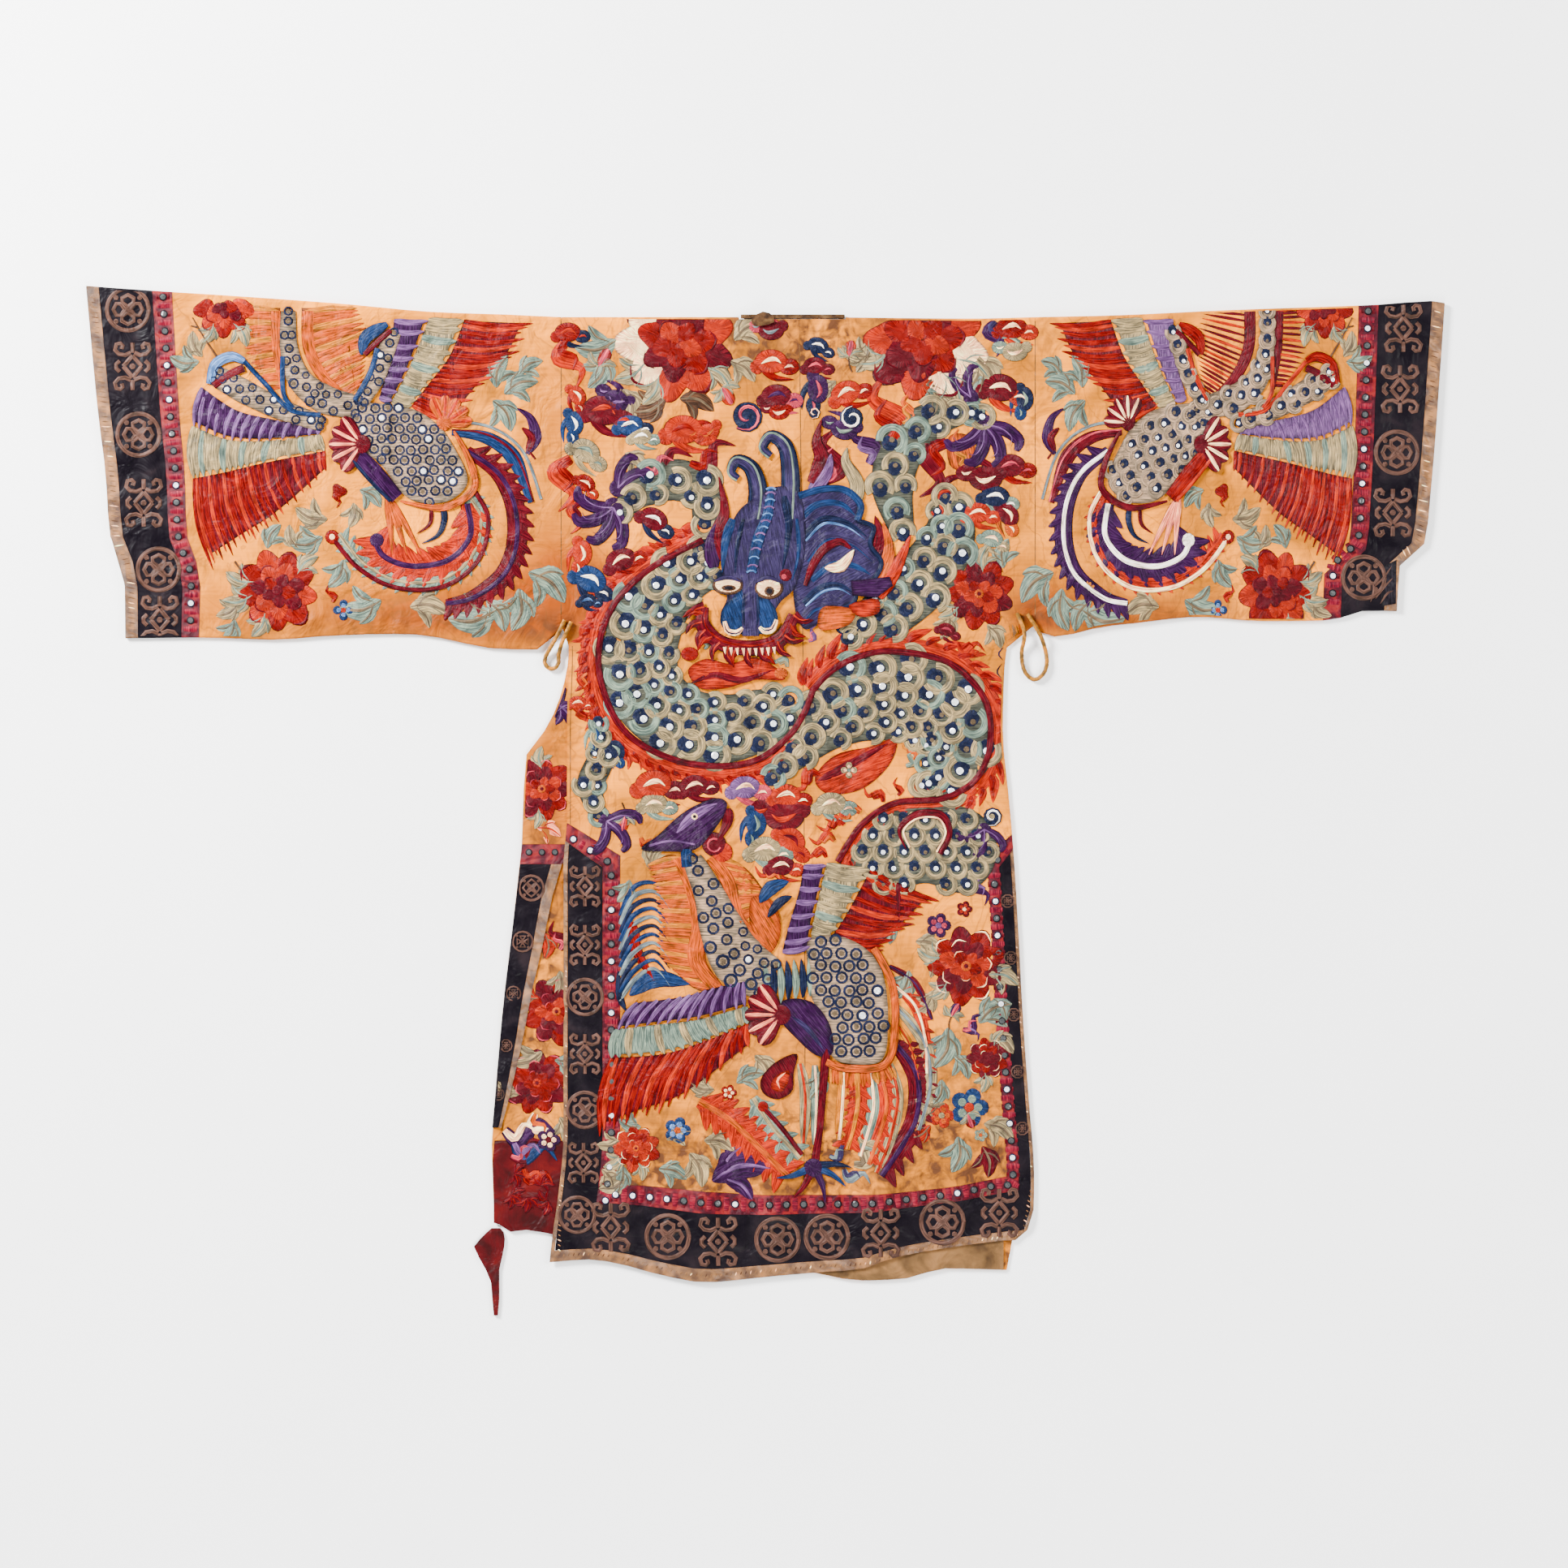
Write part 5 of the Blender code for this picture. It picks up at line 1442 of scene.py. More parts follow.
    def stitch(self):
        """Lays the motif on its cloth as one mesh."""
        px = np.concatenate(self.points)
        if self.mirror:
            px[:, 0] = self.mirror[0] - self.mirror[1] * px[:, 0]
        x, y = (px[:, 0] - ORIGIN_PX[0]) * PIXEL, (ORIGIN_PX[1] - px[:, 1]) * PIXEL
        inner_x, inner_y = held_in(self.surface, x, y)
        beyond = np.hypot(inner_x - x, inner_y - y) > LEAST_MOVE
        x, y = inner_x, inner_y
        kept = [n for n, face in enumerate(self.faces) if not beyond[list(face)].all()]
        self.faces = [self.faces[n] for n in kept]
        self.slots = [self.slots[n] for n in kept]
        z = self.surface(x, y) + np.concatenate(self.lifts)
        finishes = [MIRRORS[c] if c in MIRRORS else floss(c) for c in self.colours]
        made = add_mesh(self.name, np.stack([x, y, z], 1), self.faces, finishes)
        made.data.polygons.foreach_set("material_index", self.slots)
        layer = made.data.uv_layers.new(name=STITCH_MAP)
        corners = np.empty(len(made.data.loops), int)
        made.data.loops.foreach_get("vertex_index", corners)
        layer.data.foreach_set("uv", np.concatenate(self.maps)[corners].ravel())
        rims = made.data.attributes.new("rim", "FLOAT", "POINT")
        rims.data.foreach_set("value", np.concatenate(self.rims))
        made.data.update()
        return made


MIRRORS = {}             # finishes of the mirror discs, by name


def draw(motif, shapes):
    """Adds shapes from a table, each the name of its kind and what that takes."""
    for kind, *values in shapes:
        getattr(motif, kind)(*values)


# ---------------------------------------------------------------- small motifs

def sequin(motif, x, y, radius=4.4, level=2, dull=False):
    """Mirror disc held by a ring of dark thread."""
    motif.disc(x, y, radius + 1.3, "navy" if not dull else "black", level, sides=12)
    motif.disc(x, y, radius, "dull_mirror" if dull else "bright_mirror", level + 1, sides=12)


LEAF_GROWTH = 1.3
LEAF_BEND = 0.15


def leaf(motif, x, y, length, turn, colour="sage", vein="mint", level=0):
    """Leaf of three blades with pale veins, its stalk at x, y."""
    length = length * LEAF_GROWTH
    for lean, share in ((-48, 0.62), (48, 0.62), (0, 1.0)):
        spine = [(0, 0), (0.5 * length * share, -LEAF_BEND * length * share), (length * share, 0)]
        spine = turned(turned(spine, lean) + (0.18 * length * (share < 1), 0), turn) + (x, y)
        motif.strand(spine, 0.56 * length * share, colour, level + (share == 1), LEAF)
        motif.strand(spine, 0.1 * length * share, vein, level + 2, LEAF)


def flame(motif, x, y, length, turn, colours=("coral", "orange"), width=None, bend=0.3, level=0):
    """S-curved flame, one colour inside the other."""
    width = width or 0.3 * length
    spine = np.array([(0, 0), (0.3, bend), (0.65, -0.1), (1, 0.5 * bend)]) * length
    for n, colour in enumerate(colours):
        share = 1 - 0.38 * n
        line = turned(spine * share, turn) + (x, y)
        motif.strand(line, width * share, colour, level + n, FLAME)


def cloud(motif, x, y, size, turn=0.0, colours=("crimson", "cream", "coral"), level=0):
    """Little cloud: a solid head with a pale slit, a second lobe and a curling tail."""
    outer, line, core = colours
    places = turned([(0, 0), (0.95 * size, 0.28 * size), (-0.75 * size, 0.3 * size)], turn) + (x, y)
    (hx, hy), (lx, ly), (tx, ty) = places
    tail = [(-0.5 * size, 0.3 * size), (0.2 * size, 0.85 * size), (1.2 * size, 0.95 * size)]
    motif.strand(turned(tail, turn) + (x, y), 0.46 * size, core, level, FLAME)
    motif.disc(lx, ly, 0.56 * size, core, level + 1, squash=0.8, turn=turn)
    motif.disc(tx, ty, 0.4 * size, outer, level + 1)
    motif.disc(hx, hy, 0.86 * size, outer, level + 2, squash=0.74, turn=turn)
    slit = turned([(-0.5, 0.12), (-0.1, -0.1), (0.25, -0.12), (0.52, 0.1)], turn) * size
    motif.strand(slit + (hx, hy), 0.34 * size, line, level + 3, SLIT)
    motif.strand(0.5 * slit + (lx, ly), 0.2 * size, line, level + 3, SLIT)


def swirl(motif, x, y, size, turn=0.0, colours=("navy", "white", "navy"), level=0):
    """Spiral curl with a tail, drawn as nested bands."""
    angle = np.radians(np.linspace(0, 470, 12))
    radius = size * (0.14 + 0.86 * np.linspace(0, 1, 12))
    line = np.stack([radius * np.cos(angle), radius * np.sin(angle)], 1)
    line = turned(line, turn) + (x, y)
    motif.disc(x, y, 0.9 * size, colours[0], level)
    motif.strand(line, 0.62 * size, colours[0], level, (0.5, 0.8, 1.0, 0.9, 0.3))
    motif.strand(line, 0.26 * size, colours[1], level + 1, (0.5, 0.9, 1.0, 0.8, 0.2))
    motif.disc(x, y, 0.3 * size, colours[2], level + 2)


def bud(motif, x, y, size, turn, colour="red", level=0):
    """Closed flower bud on a sprig."""
    spine = turned([(0, 0), (size, 0)], turn) + (x, y)
    motif.strand(spine, 0.75 * size, colour, level + 1, DROP)
    motif.strand(spine, 0.36 * size, "rose", level + 2, DROP)
    leaf(motif, x, y, 0.7 * size, turn + 60, level=level)
    leaf(motif, x, y, 0.7 * size, turn - 60, level=level)
    stalk = turned([(0, 0), (-0.5 * size, 0.1 * size), (-0.9 * size, 0.35 * size)], turn) + (x, y)
    motif.strand(stalk, 2.2, "brown", level)


def peony(motif, x, y, size, petals=("coral", "red", "crimson"), edge="cream", heart="orange",
          turn=0.0, leaves=(), level=0, cut=None, pale=None):
    """Peony: three whorls of lobed petals with pale tips round a heart.

    cut, if given, leaves out the petals whose middle lies above that pixel line; pale is the
    range of directions, in degrees, in which the outer petals are cream.
    """
    for angle, length in leaves:
        (lx, ly), = turned([(0.75 * size, 0)], angle) + (x, y)
        leaf(motif, lx, ly, length, angle, level=level)
    whorls = ((0.72, 0.46, 9), (0.46, 0.36, 7), (0.24, 0.26, 5))
    for n, (reach, broad, count) in enumerate(whorls):
        for m in range(count):
            angle = turn + 360 * (m + 0.5 * (n % 2)) / count
            (px, py), = turned([(reach * size, 0)], angle) + (x, y)
            if cut is not None and py < cut:
                continue
            grow = broad * size * motif.chance.uniform(0.88, 1.12)
            high = level + 1 + 2 * n
            colour = petals[n % len(petals)] if m % 3 else petals[(n + 1) % len(petals)]
            if n == 0 and pale and pale[0] <= angle <= pale[1]:
                colour, grow = "cream", 1.15 * grow
            motif.disc(px, py, grow, colour, high, lobes=3, depth=0.13, turn=angle, squash=0.9)
            tip = turned([(0.62 * grow, -0.62 * grow), (0.98 * grow, 0), (0.62 * grow, 0.62 * grow)], angle)
            if (m + n) % 2:
                motif.strand(tip + (px, py), 0.15 * grow, edge, high + 1, LEAF)
    if heart:
        motif.disc(x, y, 0.17 * size, heart, level + 7)
        motif.disc(x, y, 0.08 * size, "crimson", level + 8)


def blossom(motif, x, y, size, petal="red", inner="cream", heart="orange", count=5, level=0):
    """Small open flower of round petals."""
    for m in range(count):
        (px, py), = turned([(0.55 * size, 0)], 360 * m / count) + (x, y)
        motif.disc(px, py, 0.4 * size, petal, level)
        (px, py), = turned([(0.42 * size, 0)], 360 * m / count) + (x, y)
        motif.disc(px, py, 0.22 * size, inner, level + 1)
    motif.disc(x, y, 0.24 * size, heart, level + 2)


def talons(motif, x, y, size, turn, colours=("purple", "lilac"), count=4, fan=150, level=1):
    """Clawed foot: a pad with long hooked toes."""
    motif.disc(x, y, 0.26 * size, colours[0], level)
    toe = np.array([(0, 0), (0.5, 0.06), (0.85, 0.3), (0.82, 0.55)]) * size
    for m in range(count):
        angle = turn + fan * (m / (count - 1) - 0.5)
        motif.strand(turned(toe, angle) + (x, y), 0.34 * size, colours[0], level, TOE)
        claw = turned(toe * 0.8, angle) + (x, y)
        motif.strand(claw, 0.06 * size, colours[1], level + 1, TALON)


SCALE_SIZE = 14.0        # radius of a dragon's scale, in pixels
SCALE_PITCH = 1.8        # spacing across a row, and from row to row, in radii
SCALE_ROW = 1.5
SCALE_LAP = 1.2          # scales are this much larger than their pitch


def scale(motif, x, y, turn, size=SCALE_SIZE, ring="sage", fill="navy", mirrored=True, level=1):
    """One scale: a dark heart in a pale ring that opens backwards, with a mirror in it."""
    (bx, by), = turned([(-0.3 * size, 0)], turn) + (x, y)
    motif.disc(bx, by, 0.66 * size, fill, level, sides=10)
    radius, width = 0.78 * SCALE_LAP * size, 0.52 * SCALE_LAP * size
    motif.ring(x, y, radius, width, ring, level + 1, -128, 128, turn=turn)
    if mirrored:
        sequin(motif, x, y, 0.29 * size, level + 1)
    else:
        motif.disc(x, y, 0.24 * size, "tan", level + 1, sides=8)


def ringlet(motif, x, y, turn, size, ring="navy", fill="tan", mirrored=False, level=1):
    """Small scale of a phoenix: a dark ring round a pale or a mirrored heart."""
    motif.ring(x, y, 0.62 * size, 0.33 * size, ring, level + 1, 0, 360, turn=turn)
    if mirrored:
        motif.disc(x, y, 0.42 * size, "bright_mirror", level + 2, sides=10)
    else:
        motif.disc(x, y, 0.36 * size, fill, level, sides=8)


def scales_along(motif, route, half_widths, size=SCALE_SIZE, ring="sage", fill="navy",
                 mirrors=0.6, level=1, kind=scale):
    """Scales in staggered rows across a body along a line; ring is a colour, or several to mix."""
    rings = (ring,) if isinstance(ring, str) else ring
    rows = max(2, int(length_of(route) / (SCALE_ROW * size)))
    line = smooth_curve(route, rows)
    ahead = np.gradient(line, axis=0)
    widths = np.interp(np.linspace(0, 1, rows), np.linspace(0, 1, len(half_widths)), half_widths)
    bend = np.gradient(np.unwrap(np.arctan2(ahead[:, 1], ahead[:, 0])))
    for n, ((x, y), (ax, ay), half) in enumerate(zip(line, ahead, widths)):
        reach = math.hypot(ax, ay) or 1.0
        turn = math.degrees(math.atan2(ay, ax))
        spread_out = max(0.0, half - 0.75 * size)
        gaps = round(2 * spread_out / (SCALE_PITCH * size))
        for m in range(max(1, gaps + (n + 1) % 2)):
            share = (m + 0.5 * (n % 2)) / gaps if gaps else 0.5
            aside = spread_out * (2 * share - 1)
            sx, sy = x - ay / reach * aside, y + ax / reach * aside
            grow = size * min(1.2, max(0.84, 1 - aside * bend[n] / reach))
            tint = rings[int(motif.chance.random() * len(rings))]
            kind(motif, sx, sy, turn, grow, tint, fill, motif.chance.random() < mirrors, level + n % 2)


SWEPT_SECTIONS = 40


def swept(route, half_widths):
    """Outline of a body of changing width along a line."""
    line = smooth_curve(route, SWEPT_SECTIONS)
    side = directions(line)[1]
    half = np.interp(np.linspace(0, 1, SWEPT_SECTIONS), np.linspace(0, 1, len(half_widths)), half_widths)
    return np.concatenate([line + side * half[:, None], (line - side * half[:, None])[::-1]])


def flames_along(motif, route, length, colours, lean=40, step=17, side=1, level=0, band=7):
    """Flame tips that stand outside a line, leaning back along it."""
    line = smooth_curve(route, max(3, int(length_of(route) / step)))
    ahead = np.gradient(line, axis=0)
    motif.strand(route, band, colours[0], level)
    for n, ((x, y), (ax, ay)) in enumerate(zip(line, ahead)):
        turn = math.degrees(math.atan2(ay, ax)) + side * (90 - lean)
        reach = length * (1.0, 0.72, 0.86)[n % 3]
        flame(motif, x, y, reach, turn, colours, 0.52 * reach, 0.12 * side, level)


# ---------------------------------------------------------------- the dragon

# Middle lines of its body and limbs, with their half widths from end to end.
COIL = (
    (872, 694), (835, 716), (801, 758), (787, 812), (802, 860), (846, 893), (900, 897), (945, 882),
    (974, 862),
)
COIL_HALF = (30, 36, 45, 48, 46, 45, 42, 36, 22)
COIL_RIM = (
    (866, 666), (803, 700), (757, 745), (738, 800), (745, 855), (772, 903), (822, 933), (878, 944),
    (931, 937), (970, 909), (991, 878), (1002, 849),
)
LOOP = (
    (953, 957), (985, 926), (1018, 890), (1062, 863), (1115, 857), (1160, 881), (1178, 922),
    (1156, 958), (1135, 968),
)
LOOP_HALF = (7, 20, 38, 54, 56, 56, 48, 34, 16)
LOOP_RIM = (
    (1000, 852), (1028, 824), (1066, 807), (1104, 803), (1160, 813), (1197, 839), (1218, 877),
    (1218, 926), (1199, 963), (1160, 984), (1104, 989), (1066, 1012), (1046, 1038), (1032, 1062),
)
HAUNCH = ((1045, 778), (1095, 752), (1142, 708), (1170, 655), (1164, 612))
HAUNCH_HALF = (18, 34, 38, 32, 18)
SHOULDER_LIMB = ((1112, 655), (1100, 604), (1108, 560), (1138, 524), (1182, 508), (1210, 514))
SHOULDER_HALF = (14, 26, 28, 24, 17, 10)
FORELEG = ((764, 632), (792, 604), (836, 592), (870, 612), (868, 648))
FORELEG_HALF = (10, 22, 26, 24, 14)
HIND_LEG = ((738, 892), (742, 930), (728, 968), (738, 1006))
HIND_LEG_HALF = (8, 17, 17, 9)
BODY_SCALES = ("sage", "sage", "sage", "mint")
DRAGON_PARTS = (  # middle line, half widths, size and colours of the scales; the lowest come first
    (HAUNCH, HAUNCH_HALF, SCALE_SIZE, BODY_SCALES),
    (SHOULDER_LIMB, SHOULDER_HALF, SCALE_SIZE, BODY_SCALES),
    (LOOP, LOOP_HALF, SCALE_SIZE, BODY_SCALES),
    (COIL, COIL_HALF, SCALE_SIZE, ("mint", "sage")),
    (FORELEG, FORELEG_HALF, SCALE_SIZE, BODY_SCALES),
    (HIND_LEG, HIND_LEG_HALF, 0.8 * SCALE_SIZE, BODY_SCALES),
)
BACK_FLAMES = 34         # length of the flames along its back
FLAME_LEAN = 58
FLAME_STEP = 16
FLAME_BAND = 14

TAIL_PAD = (
    (1046, 1050), (1068, 1018), (1108, 995), (1162, 990), (1208, 1004), (1228, 1042), (1216, 1082),
    (1182, 1100), (1140, 1088), (1098, 1098), (1064, 1082),
)
TAIL_SCALES = (7, 5)     # columns and rows
TAIL_SCALES_AT = (1062, 1010)
TAIL_SCALE_STEP = (26, 20)
TAIL_SCALE_SIZE = 11.5
TAIL_SCALE_TURN = (100, -12)   # of the first column, and from column to column
HORSESHOE = ((1116, 1046), (1108, 1022), (1128, 1004), (1158, 1004), (1170, 1026), (1158, 1052))


def offset(route, distance):
    """A line moved aside by a distance."""
    line = smooth_curve(route, 5 * len(route))
    return line + distance * directions(line)[1]


def dragon_body():
    """The dragon's body with its scales, the flames on its back, and its tail."""
    motif = Motif("dragon_body")
    for rim, side in ((COIL_RIM, 1), (LOOP_RIM, -1)):
        edge = offset(rim, 12 * side)
        flames_along(
            motif, edge, BACK_FLAMES, ("coral", "red"), FLAME_LEAN, FLAME_STEP, side, 0, FLAME_BAND
        )
        motif.strand(offset(rim, 7 * side), 15, "coral", 1)
    for route, half, size, colours in DRAGON_PARTS:
        motif.patch(swept(route, half), "moss", 1, smooth=False)
        scales_along(motif, route, half, size, colours, level=2)
    dragon_tail(motif)
    for rim in (COIL_RIM, LOOP_RIM):
        motif.strand(rim, 8, "crimson", 6)
    motif.strand(HORSESHOE, 11, "crimson", 7, FLAME[::-1] + (0.6,))
    motif.strand(offset(HORSESHOE, 5), 2.4, "cream", 8)
    return motif.stitch()


def dragon_tail(motif):
    """Broad end of the body, with scales that fan out."""
    motif.patch(TAIL_PAD, "moss", 1)
    columns, rows = TAIL_SCALES
    pad = np.array(TAIL_PAD, float)
    for row in range(rows):
        for column in range(columns):
            x = TAIL_SCALES_AT[0] + TAIL_SCALE_STEP[0] * (column + 0.5 * (row % 2))
            y = TAIL_SCALES_AT[1] + TAIL_SCALE_STEP[1] * row
            turn = TAIL_SCALE_TURN[0] + TAIL_SCALE_TURN[1] * column
            if inside(np.array([(x, y)], float), pad)[0]:
                mirrored = (row + column) % 3 < 2
                scale(motif, x, y, turn, TAIL_SCALE_SIZE, level=2, mirrored=mirrored)


HEAD_FLAMES = (  # line and colour of the tongues of flame behind the head
    (((893, 690), (884, 660), (893, 630), (886, 588)), "crimson"),
    (((880, 700), (876, 672), (882, 646)), "purple"),
    (((1000, 596), (1012, 566), (1006, 544), (1012, 518)), "crimson"),
    (((1000, 606), (1018, 582), (1024, 560)), "lilac"),
    (((1046, 640), (1056, 600), (1042, 570), (1044, 552)), "sage"),
    (((1072, 700), (1084, 668), (1078, 636)), "crimson"),
    (((1078, 724), (1094, 682), (1088, 644)), "orange"),
    (((1082, 736), (1104, 700), (1122, 660)), "coral"),
)
MANE = (
    (984, 612), (1010, 604), (1040, 604), (1060, 622), (1056, 642), (1076, 650), (1072, 672),
    (1086, 694), (1074, 716), (1056, 720), (1052, 742), (1024, 756), (992, 776), (978, 742), (980, 680),
)
MANE_LOCKS = (  # lines of the hair, from the face outwards
    ((988, 640), (1008, 624), (1036, 622), (1054, 636)),
    ((990, 664), (1014, 642), (1044, 646), (1068, 662)),
    ((992, 690), (1018, 662), (1050, 668), (1078, 690)),
    ((1000, 716), (1026, 698), (1052, 698), (1072, 708)),
    ((990, 744), (1012, 726), (1034, 722), (1050, 730)),
    ((986, 768), (1000, 750), (1020, 744), (1036, 744)),
)
HORNS = (  # stem and curl
    ((930, 640), (934, 606), (926, 578), (908, 568), (901, 582), (910, 590)),
    ((972, 640), (974, 590), (968, 552), (950, 538), (940, 552), (950, 562)),
)
HORN_SHAPE = (1.0, 0.95, 0.8, 0.6, 0.45, 0.3)
HORN_INNER_SHAPE = (1.0, 0.95, 0.8, 0.6, 0.4, 0.2)


def dragon_mane(motif):
    """Flames behind the head, the mane with its locks, and the horns."""
    for spine, colour in HEAD_FLAMES:
        motif.strand(spine, 20, colour, 7, FLAME)
    motif.patch(MANE, "violet", 8, -30)
    for n, lock in enumerate(MANE_LOCKS):
        motif.strand(lock, 15, ("blue", "navy", "violet")[n % 3], 9, FLAME)
        motif.strand(offset(lock, 4), 4, ("violet", "sky", "blue")[n % 3], 10, FLAME)
    motif.strand(MANE[0:5], 9, "blue", 11)
    motif.strand(MANE[4:12], 6, "navy", 11)
    for horn in HORNS:
        motif.strand(horn, 25, "navy", 9, HORN_SHAPE)
        motif.strand(horn, 16, "violet", 10, HORN_INNER_SHAPE)
        motif.strand(offset(horn, 4), 3, "mint", 11)


FACE = (
    (900, 652), (912, 628), (934, 612), (958, 600), (982, 606), (992, 640), (990, 690), (978, 726),
    (962, 742), (950, 762), (944, 776), (922, 783), (900, 776), (888, 758), (896, 736), (890, 704),
)
FOREHEAD = (  # as draw() takes them
    ("patch", FACE, "violet", 10, 80),
    ("strand", ((903, 640), (894, 668), (890, 706)), 13, "blue", 12, FLAME),
    ("strand", ((916, 640), (908, 676), (906, 708)), 7, "navy", 12, FLAME),
    ("strand", ((966, 612), (972, 650), (964, 704)), 12, "navy", 12, FLAME),
    ("strand", ((982, 640), (984, 680), (976, 716)), 6, "blue", 12, FLAME),
)
BRIDGE = ((950, 602), (946, 634), (934, 666), (926, 704))
BRIDGE_STITCHES = 13
EAR_AND_CHEEKS = (
    ("strand", ((992, 722), (1000, 700), (1014, 678), (1034, 668), (1048, 676)), 12, "crimson", 12,
     (0.4, 0.8, 1.0, 0.8, 0.3)),
    ("strand", ((1016, 700), (1036, 698), (1052, 678)), 15, "cream", 13, LEAF),
    ("disc", 968, 709, 8, "crimson", 13),
    ("disc", 966, 711, 3.6, "rose", 14),
    ("patch", ((1048, 716), (1096, 711), (1100, 722), (1080, 737), (1050, 734)), "purple", 12, 0, False),
    ("patch", ((1008, 760), (1018, 747), (1052, 752), (1046, 770), (1012, 777)), "orange", 12),
    ("patch", ((1046, 746), (1080, 738), (1082, 756), (1058, 760)), "coral", 12),
    ("patch", ((916, 728), (902, 738), (890, 752), (888, 768), (898, 780), (916, 778)), "blue", 12, 70),
    ("patch", ((932, 728), (946, 738), (956, 752), (958, 766), (948, 778), (934, 778)), "blue", 12, 70),
    ("strand", ((924, 716), (924, 744), (925, 766), (925, 784)), 26, "violet", 13, (0.7, 0.9, 1.0, 0.8)),
    ("strand", ((917, 730), (916, 752), (917, 772)), 4, "navy", 14, LEAF),
    ("strand", ((933, 730), (934, 752), (933, 772)), 4, "navy", 14, LEAF),
)
NOSTRILS = (
    ((893, 766), (897, 778), (908, 780), (915, 774)), ((957, 764), (952, 776), (942, 778), (936, 773)),
)
EYES = (  # x, y, radius, squash, pupil's radius and squash
    (897, 722, 18, 0.6, 10, 0.42), (947, 725, 17, 0.76, 7, 0.95),
)
LID_REACH = 17           # half the width of an eyelid


def dragon_face(motif):
    """The dragon's face."""
    draw(motif, FOREHEAD)
    motif.strand(BRIDGE, 15, "blue", 13, (0.5, 0.9, 1.0, 0.9))
    for n, (x, y) in enumerate(smooth_curve(BRIDGE, BRIDGE_STITCHES)):
        stitch = ((x - 6, y + 2), (x, y - 1), (x + 6, y + 2))
        motif.strand(stitch, 2.6, "lilac" if n % 2 else "sky", 14)
    draw(motif, EAR_AND_CHEEKS)
    for nostril in NOSTRILS:
        motif.strand(nostril, 8, "cream", 14, (0.6, 1, 1, 0.5))
        motif.strand(offset(nostril, 1), 2.4, "navy", 15, LEAF)
    for x, y, wide, squash, pupil, flat in EYES:
        motif.disc(x, y, wide + 1.5, "brown", 14, squash)
        motif.disc(x, y - 1, wide - 1, "cream", 15, squash)
        motif.disc(x + 1, y + 5 * squash, pupil, "brown", 16, flat)
        motif.disc(x + 1, y + 5 * squash, 0.6 * pupil, "black", 17, flat)
        lid = ((x - LID_REACH, y - 8 * squash), (x, y - 17 * squash), (x + LID_REACH, y - 7 * squash))
        motif.strand(lid, 6, "violet", 18, LEAF)


BEARD = ((868, 748), (866, 770), (884, 790), (910, 798), (940, 797), (964, 786), (978, 758))
BEARD_LOCKS = 15
BEARD_FAN = (165, 15)    # turn of the first lock and of the last
MOUTH = (
    (848, 826), (870, 812), (900, 818), (930, 810), (958, 824), (966, 838), (930, 838), (896, 848),
    (862, 848),
)
TONGUE = ((852, 842), (880, 832), (914, 838), (952, 826))
TEETH = 9
TEETH_AT = (893, 806)    # the first tooth
TOOTH_STEP = 7.6


def dragon_mouth(motif):
    """Beard, teeth and the open mouth."""
    motif.strand(BEARD, 19, "crimson", 11, (0.6, 1, 1, 1, 1, 1, 0.7))
    motif.strand(offset(BEARD, -3), 4, "red", 12, LEAF)
    for n, (x, y) in enumerate(smooth_curve(BEARD, BEARD_LOCKS)):
        lean = mix(*BEARD_FAN, n / (BEARD_LOCKS - 1)) + (-22, 14, 0)[n % 3]
        lock = turned([(0, 0), (13, 5), (25, 0)], lean)
        motif.strand(lock + (x, y), 14, ("crimson", "red", "crimson")[n % 3], 11, TALON)
        motif.strand(0.8 * lock + (x, y), 3, "coral", 12, TALON)
    for n in range(TEETH):
        x, y = TEETH_AT[0] + TOOTH_STEP * n, TEETH_AT[1] - 0.09 * (n - TEETH // 2) ** 2
        motif.strand(((x, y - 7), (x + 1, y + 2 + (n % 2))), 5, "cream", 13, TALON)
    motif.patch(MOUTH, "coral", 8)
    motif.strand(TONGUE, 11, "crimson", 9, LEAF)
    motif.disc(850, 806, 11, "red", 8, 0.8)
    motif.disc(962, 830, 9, "orange", 9, 0.8)


def dragon_head():
    """The dragon's head, with its mane, face, mouth and beard."""
    motif = Motif("dragon_head")
    dragon_mane(motif)
    dragon_face(motif)
    dragon_mouth(motif)
    return motif.stitch()


CLAWS = (  # x, y, size, turn, count
    (1212, 524, 52, 65, 4), (1196, 490, 40, -130, 2), (756, 626, 50, 118, 4), (762, 602, 44, -70, 2),
    (748, 1012, 42, 30, 3), (1212, 1022, 34, 80, 3),
)


def dragon_claws():
    """The dragon's clawed feet."""
    motif = Motif("dragon_claws")
    for x, y, size, turn, count in CLAWS:
        talons(motif, x, y, size, turn, count=count, fan=120 if count > 2 else 40, level=3)
    return motif.stitch()


# ---------------------------------------------------------------- clouds, flames and flowers

